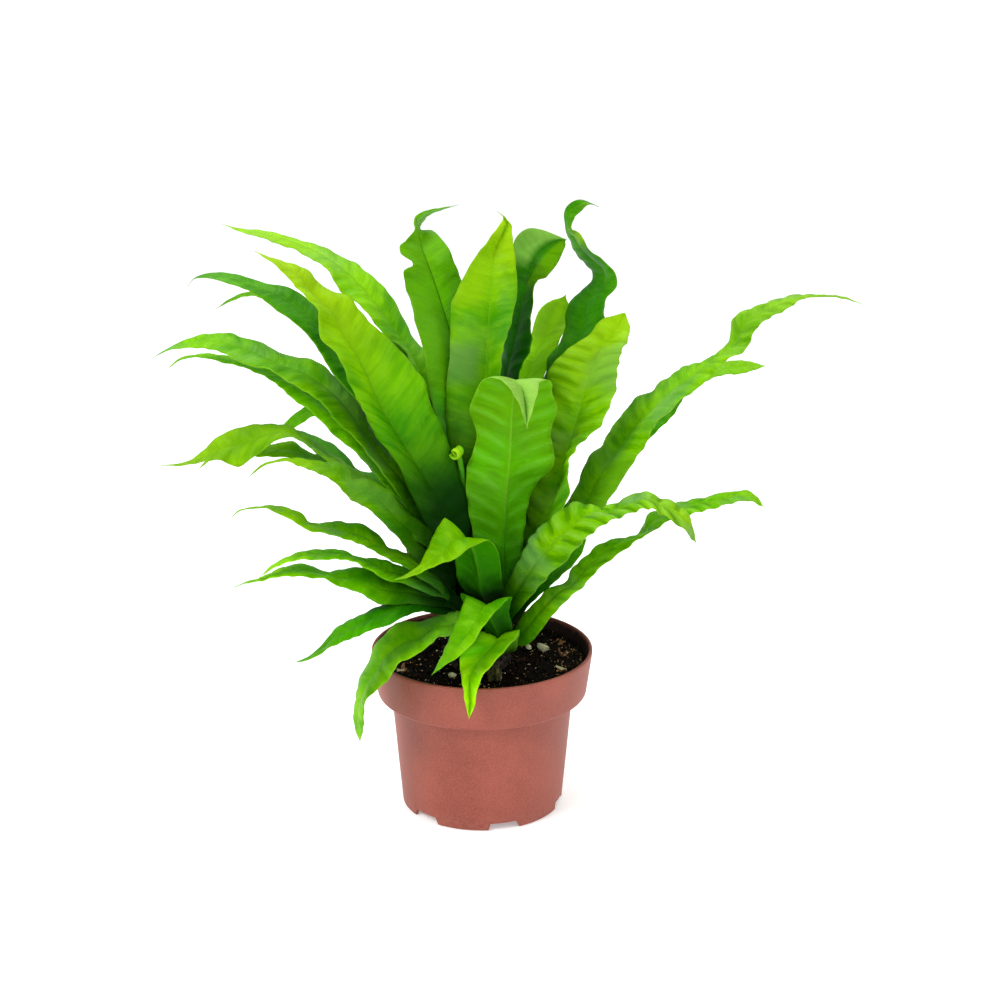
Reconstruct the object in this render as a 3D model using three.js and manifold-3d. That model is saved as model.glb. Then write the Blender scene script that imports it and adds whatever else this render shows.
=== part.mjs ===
// Potted bird's nest fern in a 12 cm round nursery pot, as one rigid part.
// Units are millimetres, +Z is up, and the origin is the centre of the pot's underside. The fern is seen from -Y.
import * as THREE from 'three';
import { ConvexGeometry } from 'three/addons/geometries/ConvexGeometry.js';
import { mergeVertices } from 'three/addons/utils/BufferGeometryUtils.js';
import Module from 'manifold-3d';

// ---- driving dimensions, pot ----
const POT_HEIGHT = 88.5;          // table to top of rim
const RIM_R = 60;                 // outside radius at the top of the rim
const BAND_Z = 63.6;              // underside of the wide rim band
const BAND_R = 56.9;              // outside radius at the foot of the band
const BODY_TOP_R = 49.6;          // tapered body, top outside radius
const BODY_FOOT_R = 44.1;         // tapered body, foot outside radius
const WALL = 1.5;                 // wall thickness
const FLOOR_Z = 4.0;              // underside of the raised floor ring
const FLOOR_T = 1.6;              // floor thickness
const HUB_R = 22;                 // flat disc in the middle of the floor, level with the foot
const NOTCHES = 6;                // drainage notches round the foot
const NOTCH_W = 16;               // width of a notch
const NOTCH_H = 3.6;              // height of a notch
const NOTCH_FIRST = 16;           // degrees from the front towards +X
// ---- driving dimensions, filling and crown ----
const SOIL_Z = 82;                // level of the growing medium
const SOIL_CLEAR = 0.35;          // gap between the medium and the wall
const CROWN = { x: -1, y: -4, rx: 17, ry: 20, z0: 82.35, z1: 104 };
// ---- driving dimensions, fronds ----
const LEAF_T = 1.0;               // thickness of a frond
const LEAF_GAP = 0.35;            // clearance kept round a frond where another passes
const CUT_TOLERANCES = [0.02, 0.04, 0.07, 0.1, 0.14, 0.2, 0.3]; // slivers finer than this are dropped where a frond is cut
const SLIVER = 0.02;               // height of the thinnest triangle that is good enough
const SECTIONS_PER_STATION = 1.1; // cross-sections built for each measured station

const COLOURS = {
  pot_plastic: [0xac6758, 0.62], soil: [0x0f0c08, 0.95], crown: [0x2b2110, 0.95],
  frond_bright: [0x86c40a, 0.42], frond_mid: [0x4f9e08, 0.42], frond_dark: [0x1f6a06, 0.42], frond_young: [0xa9cf22, 0.42],
  bark: [0x5f3a1e, 0.95], chip: [0xcbbf93, 0.9], stub: [0x55501e, 0.95],
};

// Frond stations, base first. Each row is the midrib point, the left margin and the right margin (x, y, z each), seen from the upper face with the tip up.
const FRONDS = {
  frond_01: ['frond_bright', [
    [-1.7, -19.1, 98.5, -1.4, -20.4, 97.2, -1.9, -17.4, 98.8],
    [8.8, -36.1, 107.4, 15, -34.4, 110.6, 2.2, -34.6, 110],
    [5.1, -41.4, 119.5, 14.7, -39.6, 123.3, -4.8, -39.7, 122.3],
    [3.6, -48.2, 129.7, 16, -47.4, 134.9, -10.2, -45.7, 134.6],
    [0.6, -54.9, 130.6, 9.8, -60.6, 133.8, -8.1, -49.6, 134.6],
    [-1.9, -60.8, 127.9, 5.8, -69.8, 130.8, -9.6, -53.2, 128.9],
    [-6.9, -65.2, 120.9, -0.2, -75.5, 124.4, -13.2, -56.1, 120.2],
    [-12.9, -69, 114.8, -8.7, -77.5, 117.1, -16.7, -61, 114.4],
    [-18.5, -72.2, 109.1, -16.8, -77.9, 110.3, -20.1, -67, 109.1],
    [-24.6, -73.7, 102.1, -24.5, -74.2, 102.3, -24.6, -73.3, 101.9]]],
  frond_02: ['frond_bright', [
    [2.2, -15.8, 93, 3.3, -15.3, 94.3, 1, -17.1, 92.5],
    [8.2, -20, 89.7, 16.8, -17.9, 92.3, -0.6, -19.5, 93.7],
    [9.8, -27.2, 99.4, 19.3, -24.8, 103, -0.3, -24.8, 103],
    [8.8, -34.5, 107.4, 19.8, -34.1, 111.7, -0.7, -31, 108.8],
    [5.6, -41.9, 105.2, 17.6, -43.6, 110.3, -4.8, -37.8, 105.3],
    [1, -49, 102.5, 12.4, -54.7, 108.6, -10.4, -46.3, 102.5],
    [-3.1, -55.9, 99.2, 6.2, -63.2, 105.5, -11, -59.3, 100],
    [-5.6, -61.5, 94.8, 0.2, -69.4, 100.3, -9.8, -69.6, 96.5],
    [-5.8, -64.2, 87.1, -2.4, -70.3, 91.3, -8.2, -70.8, 89.9],
    [-5.8, -64.9, 80.2, -3.7, -68.9, 81.9, -7.3, -68.8, 81.9],
    [-6.1, -64.8, 74, -6.1, -65.2, 74.2, -6.1, -65.2, 74.2]]],
  frond_03: ['frond_bright', [
    [-8.8, -20.2, 94.7, -7.2, -21.6, 95.1, -9.2, -18, 94.3],
    [-9, -37.5, 116, -7.8, -43.3, 113, -10.1, -31.7, 119.1],
    [-16.1, -42.9, 116.7, -14.9, -50.6, 115.3, -18.4, -35.7, 121.2],
    [-24.3, -47.5, 116.8, -21.9, -57.3, 116.8, -26.6, -38.4, 119.4],
    [-31.4, -49.9, 112.8, -25.4, -61.6, 113, -35.5, -39, 116.9],
    [-40.6, -53.2, 110.8, -32.8, -67.2, 109.2, -43.8, -39.4, 117.1],
    [-48.3, -54.8, 104.8, -40.9, -69.6, 106.4, -52.3, -39.6, 107.7],
    [-53.1, -53.9, 97.2, -46.1, -68.8, 99.5, -57.8, -38.9, 96.2],
    [-58.5, -53.4, 88.7, -53.3, -68.9, 91.9, -63.2, -38.6, 85.9],
    [-63, -52.2, 77.5, -58.7, -64.1, 81, -67, -41.1, 74.5],
    [-64.5, -49.3, 67.2, -61, -57.6, 69.2, -67.4, -41.6, 65],
    [-64.3, -45.8, 57.7, -62.5, -49.9, 58.9, -66, -41.6, 56.4],
    [-64.2, -42.7, 51.1, -64.2, -43.1, 51.3, -64.3, -42.4, 51]]],
  frond_04: ['frond_bright', [
    [-0.5, -13.4, 100.3, 1.3, -13.9, 100, -1.8, -11.8, 100.4],
    [2.4, -21.3, 118.6, 10.8, -19.9, 121.7, -5.8, -19.7, 121.9],
    [-0.7, -24.6, 129.9, 11.1, -22.6, 134.8, -12.8, -22.6, 134.1],
    [-1.7, -28.6, 141.4, 10.3, -26.9, 146.8, -13.7, -26.1, 146.6],
    [-3.6, -34.4, 153.8, 7.7, -36.2, 158.8, -13.6, -27.3, 155.8],
    [-7.6, -40.2, 162.8, 3.7, -47.4, 165.7, -17.5, -31.4, 170.2],
    [-14.6, -47.1, 164.6, -5.3, -57.2, 165.8, -22, -37.3, 168.9],
    [-19.6, -53.3, 160.2, -12.7, -64.3, 160.2, -26, -43.3, 161.7],
    [-28, -58.6, 155.1, -24.2, -67.3, 156.5, -31.4, -50.2, 154.3],
    [-35.9, -63.2, 151.8, -34.7, -68.8, 152.8, -37.2, -57.6, 150.7],
    [-44.8, -67, 150, -44.8, -67.4, 150.2, -44.8, -66.5, 149.9]]],
  frond_05: ['frond_mid', [
    [-12.8, -16.7, 91.7, -10.9, -17.3, 91.5, -14.1, -15.1, 91.7],
    [-11.7, -22.1, 106.1, -6.7, -23.6, 105.8, -14.9, -17.9, 106.1],
    [-10.7, -26.5, 119.4, -13.2, -31.9, 118.1, -8.2, -20.1, 120.5],
    [-19.4, -35.2, 124.9, -22.3, -42.5, 123.2, -16.4, -27.5, 126.5],
    [-28.4, -44.4, 129.7, -31.1, -54.2, 128.2, -25.6, -34.7, 131.4],
    [-37.5, -53, 132.1, -39.2, -65.5, 129.7, -35.6, -41.3, 134.9],
    [-46.5, -60.4, 130.8, -47.3, -73.7, 128, -45.6, -48, 134],
    [-56, -67.5, 129.2, -55.8, -81.5, 128.3, -56.1, -54.2, 130.6],
    [-65.3, -74.2, 127.5, -64.3, -87.1, 127.6, -66.2, -62, 127.8],
    [-72.8, -79.2, 124.4, -71.6, -90.4, 124.4, -73.9, -68.6, 124.7],
    [-78.5, -82.8, 119.7, -77, -91.3, 121.3, -80.1, -74.8, 118.2],
    [-85.8, -88.1, 116.8, -84.8, -92.9, 118.2, -86.8, -83.6, 115.6],
    [-92.3, -92.8, 116.3, -92.2, -93.3, 116.5, -92.3, -92.4, 116.2]]],
  frond_06: ['frond_mid', [
    [-15.2, -16.7, 91.2, -13.6, -17.8, 91.1, -15.8, -14.9, 91.2],
    [-14.1, -25, 108.6, -10.2, -27.7, 108.4, -15.6, -20.5, 108.6],
    [-13.2, -31.9, 124.2, -15.2, -37.4, 123.5, -11.2, -26.1, 124.9],
    [-22.6, -37.6, 129.4, -25.3, -44.7, 127.9, -20, -30.6, 131],
    [-33.5, -43.6, 134.6, -35.2, -52.7, 132.5, -31.8, -34.6, 136.9],
    [-42, -47.2, 137, -43.1, -57.5, 134.3, -41, -36.9, 139.9],
    [-50.5, -50.4, 139.4, -50.8, -62.7, 137.3, -50.2, -38.1, 141.7],
    [-57.9, -52.7, 144.8, -57.5, -65.8, 143.5, -58.2, -39.5, 146.3],
    [-65.8, -55.4, 147, -65.3, -68.6, 146.1, -66.2, -42.2, 148.1],
    [-72.2, -57.1, 148.1, -71.2, -70.2, 147.8, -73.3, -44, 148.7],
    [-78.6, -58.9, 150.2, -76.9, -71.5, 152.5, -80.3, -46.2, 148.1],
    [-85.4, -61, 152.6, -83.7, -73, 154.3, -87.1, -49, 150.9],
    [-92.6, -63.5, 154.1, -91.4, -74.8, 155.7, -93.8, -52.9, 152.8],
    [-101, -67.2, 154.3, -99.7, -76.3, 156.3, -102.3, -58.5, 152.7],
    [-109.1, -71.1, 152.6, -108, -77.9, 154.7, -110.2, -64.7, 150.6],
    [-116.3, -75, 152.1, -115.7, -79.4, 153.4, -116.9, -71, 150.9],
    [-124.2, -80, 150, -124.1, -80.5, 150.2, -124.2, -79.6, 149.8]]],
  frond_07: ['frond_mid', [
    [-16.6, -13.6, 90.9, -15.4, -14.8, 90.8, -16.9, -11.9, 90.8],
    [-15.9, -21.2, 109.4, -12.6, -24.4, 109.4, -16.7, -16.6, 109.3],
    [-15.4, -28.3, 127.4, -17.3, -34.2, 126.8, -13.4, -21.8, 127.8],
    [-24.1, -32.8, 134.6, -26.4, -40.1, 133.4, -21.7, -25, 135.7],
    [-32.7, -36.4, 140.3, -35.4, -45.2, 139.6, -29.9, -27.7, 141],
    [-40, -39, 143.4, -42.4, -48.9, 143.1, -37.6, -29.1, 143.8],
    [-47.1, -41.5, 145.8, -48.2, -53.2, 145.7, -45.9, -30.5, 146.2],
    [-54.2, -44.4, 150.2, -55, -56.3, 151.6, -53.4, -33.2, 149],
    [-62.6, -48.3, 154.8, -62.7, -59.9, 157.7, -62.4, -37.4, 152.1],
    [-71.5, -52.9, 159.4, -71.3, -64.8, 161.2, -71.8, -41.1, 157.7],
    [-80.4, -57.9, 161, -79.9, -68.4, 161.9, -80.9, -47.4, 160.1],
    [-89.4, -63.4, 161.9, -88.5, -71.8, 162.8, -90.3, -54.9, 161],
    [-96.9, -68.3, 161.6, -95.6, -75.1, 162.9, -98.1, -61.9, 160.5],
    [-103.2, -72.7, 159.7, -101.9, -77, 160.7, -104.4, -68.7, 158.8],
    [-110, -77.2, 154.7, -110, -77.6, 154.9, -110.1, -76.7, 154.6]]],
  frond_08: ['frond_mid', [
    [-16.6, -10.8, 92.6, -15.1, -11.9, 92.6, -17.1, -9.1, 92.8],
    [-18, -20.4, 113.7, -14, -23.3, 113.4, -19.5, -15.7, 114.5],
    [-18.9, -30.6, 133.8, -21.3, -36.6, 133.2, -16.4, -24.4, 134.3],
    [-28.2, -36.6, 143.3, -30.8, -44.2, 143, -25.6, -29.1, 143.7],
    [-36.5, -41, 151.2, -39.1, -49.9, 151, -33.8, -32.1, 151.4],
    [-43.4, -44.1, 155.2, -44.9, -54.7, 155.9, -41.9, -33.5, 154.6],
    [-49.6, -46.7, 159, -50.7, -57.9, 161.2, -48.5, -35.4, 156.9],
    [-55.9, -49.5, 165.3, -57.4, -61.6, 165.7, -54.4, -37.3, 165.1],
    [-63.9, -53.7, 170.7, -65, -65.9, 170.5, -62.7, -41.4, 171],
    [-72.7, -58.6, 174.2, -72.9, -70.9, 174.3, -72.4, -46.4, 174.2],
    [-79.3, -62.2, 176.7, -78.9, -74.2, 178.5, -79.7, -50.2, 174.9],
    [-85.4, -65.5, 178.8, -85, -76.5, 181.3, -85.8, -54.6, 176.3],
    [-89.5, -67.6, 183.6, -89.2, -77.7, 184.8, -89.8, -57.5, 182.5],
    [-95.5, -71.1, 187.6, -95.2, -79.8, 189.1, -95.7, -62.3, 186.1],
    [-102.5, -75.4, 191.2, -102, -83, 192.6, -102.9, -68.3, 189.8],
    [-111, -81, 192.6, -110.3, -86.2, 193.9, -111.7, -76.1, 191.5],
    [-116.7, -84.5, 192.3, -116, -87.7, 193.1, -117.4, -81.4, 191.6],
    [-121.5, -87.6, 188.7, -121.4, -88.1, 188.9, -121.6, -87.2, 188.6]]],
  frond_09: ['frond_mid', [
    [9.2, -10, 100.9, 7.9, -7.5, 101.3, 8.9, -12.8, 100.9],
    [12.5, -17, 114.8, 8.2, -12.2, 115.8, 16.7, -22.2, 113.9],
    [19.3, -20.6, 128, 12.5, -14.2, 128.4, 26.1, -27.6, 127.7],
    [27.9, -25.1, 142.9, 20.4, -14.8, 144.3, 35.2, -36.2, 141.8],
    [36, -29.1, 155.8, 27.7, -16, 159.2, 44.1, -43.2, 153],
    [44.9, -33.5, 166.5, 37, -17.3, 167.9, 52.4, -50.8, 165.8],
    [54.5, -38.4, 176.2, 48.3, -21, 177.2, 60.5, -57, 175.8],
    [64.7, -43.6, 178.7, 60.5, -26.4, 175.7, 68.6, -62.1, 182.1],
    [74.9, -48.9, 184.3, 71.5, -30.9, 181.4, 78.1, -66.9, 187.3],
    [83.1, -52.9, 188.3, 81.2, -37, 188.3, 84.8, -69.8, 188.7],
    [91.4, -57, 185.8, 91, -43, 186.7, 91.7, -71, 185],
    [99.1, -60.8, 182.5, 99.1, -49.6, 185.1, 99.2, -71.9, 180.1],
    [104.3, -63, 177.5, 105.2, -55.4, 180, 103.4, -70.6, 175],
    [108, -64.4, 168.2, 108, -64, 168.1, 107.9, -64.9, 168.4]]],
  frond_10: ['frond_mid', [
    [15, -10.2, 93.9, 14.2, -8.4, 94.4, 15, -12.2, 94.3],
    [22.6, -15.8, 102.9, 19.9, -12.8, 108.5, 25.3, -19, 97.4],
    [32.9, -19.2, 117.3, 29, -14.2, 120, 36.7, -24.8, 114.8],
    [40.9, -21.8, 127.2, 35.8, -15.2, 128.2, 45.9, -29.3, 126.6],
    [48.2, -23.9, 132.2, 43.2, -16.1, 130.8, 53, -32.7, 134],
    [54, -25.1, 141, 48.4, -15.7, 139.1, 59.5, -35.2, 143.1],
    [61.2, -26.2, 148.2, 54.6, -16.1, 144.8, 67.6, -37, 152],
    [70.4, -27.4, 156.1, 64.1, -15.5, 152.4, 76.5, -40.2, 160.1],
    [77.8, -27.9, 159.4, 74.1, -14.4, 154.5, 81.4, -41.4, 164.3],
    [83.8, -28, 161.2, 82, -14.3, 155.9, 85.5, -41.7, 166.5],
    [90, -28.2, 169.4, 87.5, -13.9, 166.8, 92.3, -43.4, 172.4],
    [96.6, -28.6, 173.5, 93.7, -14.3, 170.8, 99.3, -43.7, 176.6],
    [106.2, -29.7, 177, 103.9, -16.6, 175.3, 108.4, -43.6, 178.9],
    [116.8, -31.1, 180.1, 115.9, -20, 179.9, 117.6, -42.9, 180.6],
    [128.3, -32.8, 183.6, 127.8, -24, 183.8, 128.8, -41.5, 183.3],
    [136.9, -33.7, 184.7, 136.6, -27.6, 185.8, 137.1, -40.2, 183.7],
    [142.3, -34.1, 181.6, 142.5, -30.4, 182.6, 142.2, -37.8, 180.6],
    [145.8, -34, 177.5, 145.9, -33.6, 177.4, 145.8, -34.5, 177.7]]],
  frond_11: ['frond_dark', [
    [10.8, -6.5, 96.7, 10.8, -5.5, 96.7, 10.2, -7.4, 97],
    [16.8, -3.2, 107.9, 14.1, -0.1, 108.4, 19.5, -6.3, 107.3],
    [28, -6.4, 120.8, 26, -0.6, 120.1, 30.1, -12.1, 121.5],
    [38.3, -8.8, 132.7, 36.1, -1.6, 132.5, 40.5, -15.9, 133],
    [45.7, -10, 140.8, 43.5, -4.2, 141.8, 47.9, -15.9, 139.7],
    [51.6, -11.1, 148.4, 50.2, -7.7, 149.2, 53.1, -14.5, 147.6],
    [55.8, -11.9, 154.5, 55.8, -11.4, 154.3, 55.7, -12.3, 154.7]]],
  frond_12: ['frond_mid', [
    [-15.3, -12, 94.9, -13.6, -13.4, 94.9, -15.8, -9.9, 95],
    [-15.5, -19.9, 116.8, -10.9, -23.8, 116.6, -17, -14, 117.2],
    [-15.6, -25.6, 137.2, -18.8, -33.1, 136.9, -12.4, -17.6, 137.5],
    [-24.8, -29, 149.8, -28.9, -38.6, 148.2, -20.7, -18.8, 151.3],
    [-31.6, -31.7, 159.2, -37.3, -43, 156.7, -25.8, -20.6, 161.8],
    [-39.5, -36.5, 169.2, -44.4, -49.4, 169.1, -34.4, -23.7, 169.4],
    [-46, -41.6, 178, -50.5, -55.9, 179.1, -41.4, -27.4, 177.1],
    [-52.3, -47.3, 187, -56.9, -61.7, 186.7, -47.6, -33, 187.4],
    [-60, -53.9, 194.8, -62.7, -68.6, 194, -57.2, -39.2, 195.6],
    [-66.3, -58.9, 199.1, -67.6, -73.4, 201.2, -65, -44.3, 197.2],
    [-72.7, -63.1, 206.6, -75.4, -76.7, 207.7, -69.9, -49.5, 205.5],
    [-81, -67.8, 211.1, -83.3, -79.3, 212.8, -78.7, -56.2, 209.5],
    [-89.8, -72.3, 214.2, -90.7, -81.9, 215.6, -88.9, -62.8, 212.9],
    [-98.3, -76.8, 215.2, -98.6, -84.5, 216.6, -97.9, -69.5, 214],
    [-106.1, -81, 213.6, -105.8, -85.7, 214.2, -106.5, -76.3, 212.9],
    [-112.4, -84.6, 208.3, -112.3, -85, 208.4, -112.5, -84.1, 208.2]]],
  frond_13: ['frond_mid', [
    [-16.2, -8.6, 94.4, -14.7, -10.4, 94.5, -16.3, -6.2, 94.5],
    [-18.7, -15.6, 123.4, -14.3, -20.8, 123.5, -19.3, -8.7, 123.9],
    [-22.7, -22.3, 150.2, -25.5, -31.5, 151.2, -19.8, -13.1, 149.4],
    [-37.4, -27, 166.6, -40.4, -38.9, 167.8, -34.3, -15.1, 165.5],
    [-51.1, -31.1, 182.2, -53.5, -45.4, 184.3, -48.6, -16.7, 180.3],
    [-63.2, -34.3, 194.2, -64.5, -50.7, 196.4, -61.9, -17.9, 192.1],
    [-73.3, -36.7, 202.8, -73.6, -53.1, 205.5, -72.9, -20.3, 200.3],
    [-81.6, -38.5, 208.4, -81.3, -54.9, 211.2, -81.9, -22.2, 205.6],
    [-87.6, -39.7, 214, -87.9, -56.1, 216.7, -87.3, -23.4, 211.3],
    [-93.2, -41.1, 218, -94.1, -57.4, 220.6, -92.1, -24.7, 215.4],
    [-100.1, -43.2, 220.8, -101.3, -59.5, 221.2, -98.9, -26.8, 220.4],
    [-110.1, -46.6, 219, -110.6, -61.9, 215.7, -109.4, -32.2, 222.7],
    [-119.5, -50, 216, -119.5, -63.5, 210, -119.4, -37.2, 222.4],
    [-129, -53.5, 215.2, -127.5, -65.3, 211.6, -130.4, -42.4, 219.1],
    [-136.7, -56.4, 211.7, -135.3, -66.2, 211.1, -138.1, -47.1, 212.6],
    [-143.6, -59, 209.8, -142.6, -67, 210.8, -144.6, -51.5, 208.9],
    [-150.4, -61.7, 208.9, -149.4, -67.2, 210.1, -151.3, -56.4, 207.7],
    [-162.3, -66.4, 210.4, -162.3, -66.9, 210.5, -162.4, -66, 210.2]]],
  frond_14: ['frond_mid', [
    [-17.6, -6.1, 92.2, -16.8, -7.6, 92.2, -17.5, -4.5, 92.2],
    [-18.2, -11.8, 119.8, -15.6, -16.2, 119.8, -17.7, -6.6, 119.9],
    [-20.2, -18.1, 145.7, -22.6, -25.3, 145.8, -17.8, -10.8, 145.8],
    [-34.1, -21.5, 159.9, -36.8, -30.8, 159.7, -31.3, -12.3, 160.2],
    [-47.3, -24.1, 173.1, -49.8, -35.3, 173.1, -44.8, -12.9, 173.1],
    [-59.4, -25.7, 184.7, -61.6, -38.3, 184.7, -57.1, -13.2, 184.7],
    [-69, -26.4, 194, -70.5, -39, 193.5, -67.3, -13.8, 194.7],
    [-78.2, -26.9, 201.1, -78.9, -39.6, 202.1, -77.5, -14.3, 200.2],
    [-88.6, -27.8, 202.7, -88.9, -40.4, 204.4, -88.3, -15.2, 201],
    [-97.9, -28.6, 207.5, -98.5, -40, 206.4, -97.2, -17.3, 208.6],
    [-108.2, -29.9, 207.8, -108.6, -39.8, 207.4, -107.8, -20, 208.3],
    [-117.9, -31.2, 209.2, -118.2, -39.8, 207.4, -117.6, -22.8, 211.1],
    [-128, -32.8, 208.1, -127.9, -39.3, 207.3, -128, -26.4, 208.9],
    [-136.5, -34.3, 205.9, -136.1, -38.6, 205.5, -136.8, -30, 206.2],
    [-145, -35.9, 197.9, -144.9, -36.4, 198, -145.1, -35.4, 197.7]]],
  frond_15: ['frond_mid', [
    [-1.3, -6.3, 107, 1.2, -5.2, 105.5, -4, -5.5, 108.5],
    [4.6, -10.4, 118.9, 10.3, -7.9, 115.6, -1.3, -8.6, 122.3],
    [10.9, -13.6, 130.4, 18.4, -6.6, 132.5, 0.2, -12.3, 131.2],
    [11.4, -14.2, 150.8, 22, -6.4, 146.6, -3.4, -11.8, 150.6],
    [12.4, -14.7, 170.9, 23.6, -2.7, 168.2, -7, -10.9, 170.8],
    [13.4, -15, 185.2, 29.9, -4.2, 183.1, -8.3, -10.1, 184.8],
    [14.5, -14.1, 194.7, 38.2, -12, 194.1, -7.5, -8.2, 193],
    [15, -13.2, 203.1, 37.5, -7.8, 201.6, -4.3, -5.6, 201],
    [15.5, -12.3, 213.7, 35.4, -5.2, 212.3, -2.8, -4.7, 211.6],
    [16, -11.5, 222.6, 39, -6.3, 222.3, -6.3, -6.8, 222.4],
    [16.5, -11.9, 230.6, 37.7, -11.2, 232.1, -4.2, -11.2, 230.5],
    [17.5, -14.4, 240.2, 35.5, -13.9, 240.1, 0.6, -17.9, 241.6],
    [19, -19, 239.8, 30.2, -18.9, 241.1, 9.8, -27.1, 243.6],
    [21.5, -23.7, 236.7, 29, -28.9, 239.6, 13.8, -31.9, 241.4],
    [23, -28.5, 229, 27, -33.2, 232.3, 19.4, -33.9, 233],
    [23.5, -32.4, 219.6, 23.5, -32.8, 219.7, 23.5, -32.8, 219.7]]],
  frond_16: ['frond_bright', [
    [-5.8, -4.6, 106.2, -6.4, -7.2, 106.2, -3.8, -2.7, 106.5],
    [-8.8, -9.9, 129.9, -10.2, -16.9, 129.6, -3.7, -5.1, 130.8],
    [-13.4, -14.2, 152.5, -22.7, -19.5, 153.2, -5, -8.9, 153.5],
    [-21.6, -14.5, 174.7, -34.4, -20.7, 175.5, -8.6, -10.3, 177.8],
    [-31.4, -14.8, 191.7, -43.9, -22.3, 199.2, -16.3, -9.9, 204.4],
    [-41.5, -15.1, 209, -54.6, -26, 217.3, -24.4, -9.9, 222.7],
    [-52, -15.4, 227.8, -62.6, -30.4, 235.3, -31.4, -10.1, 241.9],
    [-61.8, -15.6, 250.5, -71, -32.4, 255.4, -47.4, -4.5, 259.6],
    [-70.6, -15.9, 265.2, -79.7, -32.6, 268.2, -59.2, -2.1, 271.1],
    [-75.9, -15.9, 276.5, -80.5, -31.6, 279.7, -69.2, -2.2, 282.1],
    [-85.2, -16.6, 285.9, -88.3, -29.7, 288.4, -80.2, -4.4, 287.2],
    [-91.7, -17.1, 295.4, -94.3, -27.6, 294.6, -88.8, -7.1, 296.4],
    [-100.2, -18.1, 301.2, -100.8, -25.9, 301.3, -99.5, -10.7, 301.2],
    [-107, -19, 304.8, -106.9, -23.8, 305, -107, -14.6, 304.6],
    [-113.2, -20.1, 308.4, -113.1, -20.6, 308.4, -113.3, -19.6, 308.3]]],
  frond_17: ['frond_mid', [
    [9.8, 1.9, 101.1, 8.6, 4.4, 101.8, 9.6, -1, 101.4],
    [18.5, 1.9, 112.9, 14.2, 5.8, 113.2, 22.8, -2.1, 112.6],
    [32.5, 4.3, 129.8, 26.1, 10.6, 130.5, 38.8, -2.8, 129.4],
    [45.6, 6.6, 149, 37.5, 15.3, 148.9, 53.5, -3.2, 149.4],
    [56.2, 8.6, 167.8, 47.8, 20.6, 167.2, 64.4, -4, 168.7],
    [64.1, 10.3, 182.7, 54.8, 24.1, 182.6, 73.1, -5.1, 183.4],
    [73.6, 12.3, 196.3, 65.7, 29, 194.2, 81.2, -5.3, 198.8],
    [83.4, 14.5, 209.5, 76, 33.5, 207.6, 90.3, -5.6, 211.9],
    [94.8, 17.1, 220.6, 88.6, 37.8, 219.3, 100.5, -4.7, 222.4],
    [104.8, 19.6, 229.6, 100.6, 40.6, 227.6, 108.9, -1.4, 231.8],
    [116.1, 22.4, 237.4, 113.1, 43.6, 234.7, 118.8, 1.3, 240.2],
    [125.2, 25, 242.8, 124.7, 46.2, 239.1, 125.6, 3.8, 246.6],
    [134.1, 27.6, 249.3, 131.8, 48.9, 246.8, 136.2, 6.3, 251.9],
    [140.1, 29.7, 260, 136.2, 49.1, 260.1, 143.7, 10.3, 260.1],
    [149.3, 32.6, 266.2, 146.5, 50.1, 265.4, 151.9, 15, 267.1],
    [159.4, 35.8, 270.4, 157.3, 51.3, 269.5, 161.4, 20.2, 271.4],
    [170.2, 39.2, 273, 169.8, 51.7, 271.4, 170.6, 26.8, 274.6],
    [181.8, 43, 273.1, 183.4, 52.2, 271.8, 180.2, 33.3, 274.4],
    [194.4, 47.2, 271.7, 195.5, 52.9, 271.1, 193.4, 41.2, 272.3],
    [206.8, 51.5, 267, 206.9, 52, 266.9, 206.8, 51.1, 267.1]]],
  frond_18: ['frond_bright', [
    [6.6, 1.3, 104.4, 4.4, 3.1, 105.6, 7.4, -1.6, 103.9],
    [13.3, -0.9, 117.4, 8.4, 3.5, 120.4, 15.2, -7.8, 116.4],
    [21.6, -2.7, 130, 14.1, 3.3, 128.5, 26.7, -10.2, 134.9],
    [29.6, -0, 148.9, 19.5, 9.5, 146.3, 36.1, -11.9, 154.5],
    [36.5, 3.6, 164, 24.4, 15.4, 160.3, 42.9, -12, 171.2],
    [41.8, 7.2, 180.8, 25, 21, 177.8, 46.9, -12.5, 188.8],
    [46.6, 10.9, 196.4, 28.7, 24.9, 192.5, 49.9, -11.2, 203.7],
    [50.8, 14.5, 212, 34.1, 27.9, 208.4, 62.5, -6.6, 216.4],
    [54.5, 18.2, 225.3, 36.1, 27.9, 223.5, 71, 0.2, 228.2],
    [58.8, 21.8, 238.7, 36.5, 23.4, 238.3, 71.7, 7.2, 241.5],
    [63.6, 25.4, 248.2, 46.1, 26.9, 247.3, 73, 14, 249.6],
    [69, 29.1, 253.9, 56.8, 30.8, 254.1, 77, 21.2, 253.4],
    [73.4, 33.2, 259.5, 63.3, 35.1, 261.3, 79.1, 29.6, 257.6],
    [76.8, 37.7, 265.1, 72.6, 38.8, 266, 79.2, 37.3, 263.1]]],
  frond_19: ['frond_dark', [
    [-8.9, -2.7, 102.9, -8.2, -4.7, 103, -8.4, -0.5, 103],
    [-12.9, -6.2, 132.2, -10.7, -12.1, 132.6, -11.3, -0.1, 132.5],
    [-19, -8.6, 160.1, -23.8, -17.1, 160.7, -14.2, -0.2, 159.6],
    [-34.2, -7.9, 191.8, -40, -19.6, 192, -28.4, 3.8, 191.8],
    [-48, -7.2, 217.7, -53.9, -22, 217.3, -42, 7.6, 218.1],
    [-60.2, -6.6, 234.6, -65.8, -22.3, 234.3, -54.4, 9.1, 235.1],
    [-71.5, -6.2, 248.4, -75.6, -22.3, 246.8, -67.3, 9.8, 250],
    [-81.7, -6.1, 264.1, -85.3, -22.3, 262.4, -77.9, 10.1, 266],
    [-91.2, -6.1, 274.3, -96.3, -20.7, 273.4, -85.8, 7.8, 275.4],
    [-102.6, -6.3, 282.9, -107.3, -18.6, 281.7, -97.7, 6, 284.2],
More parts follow.
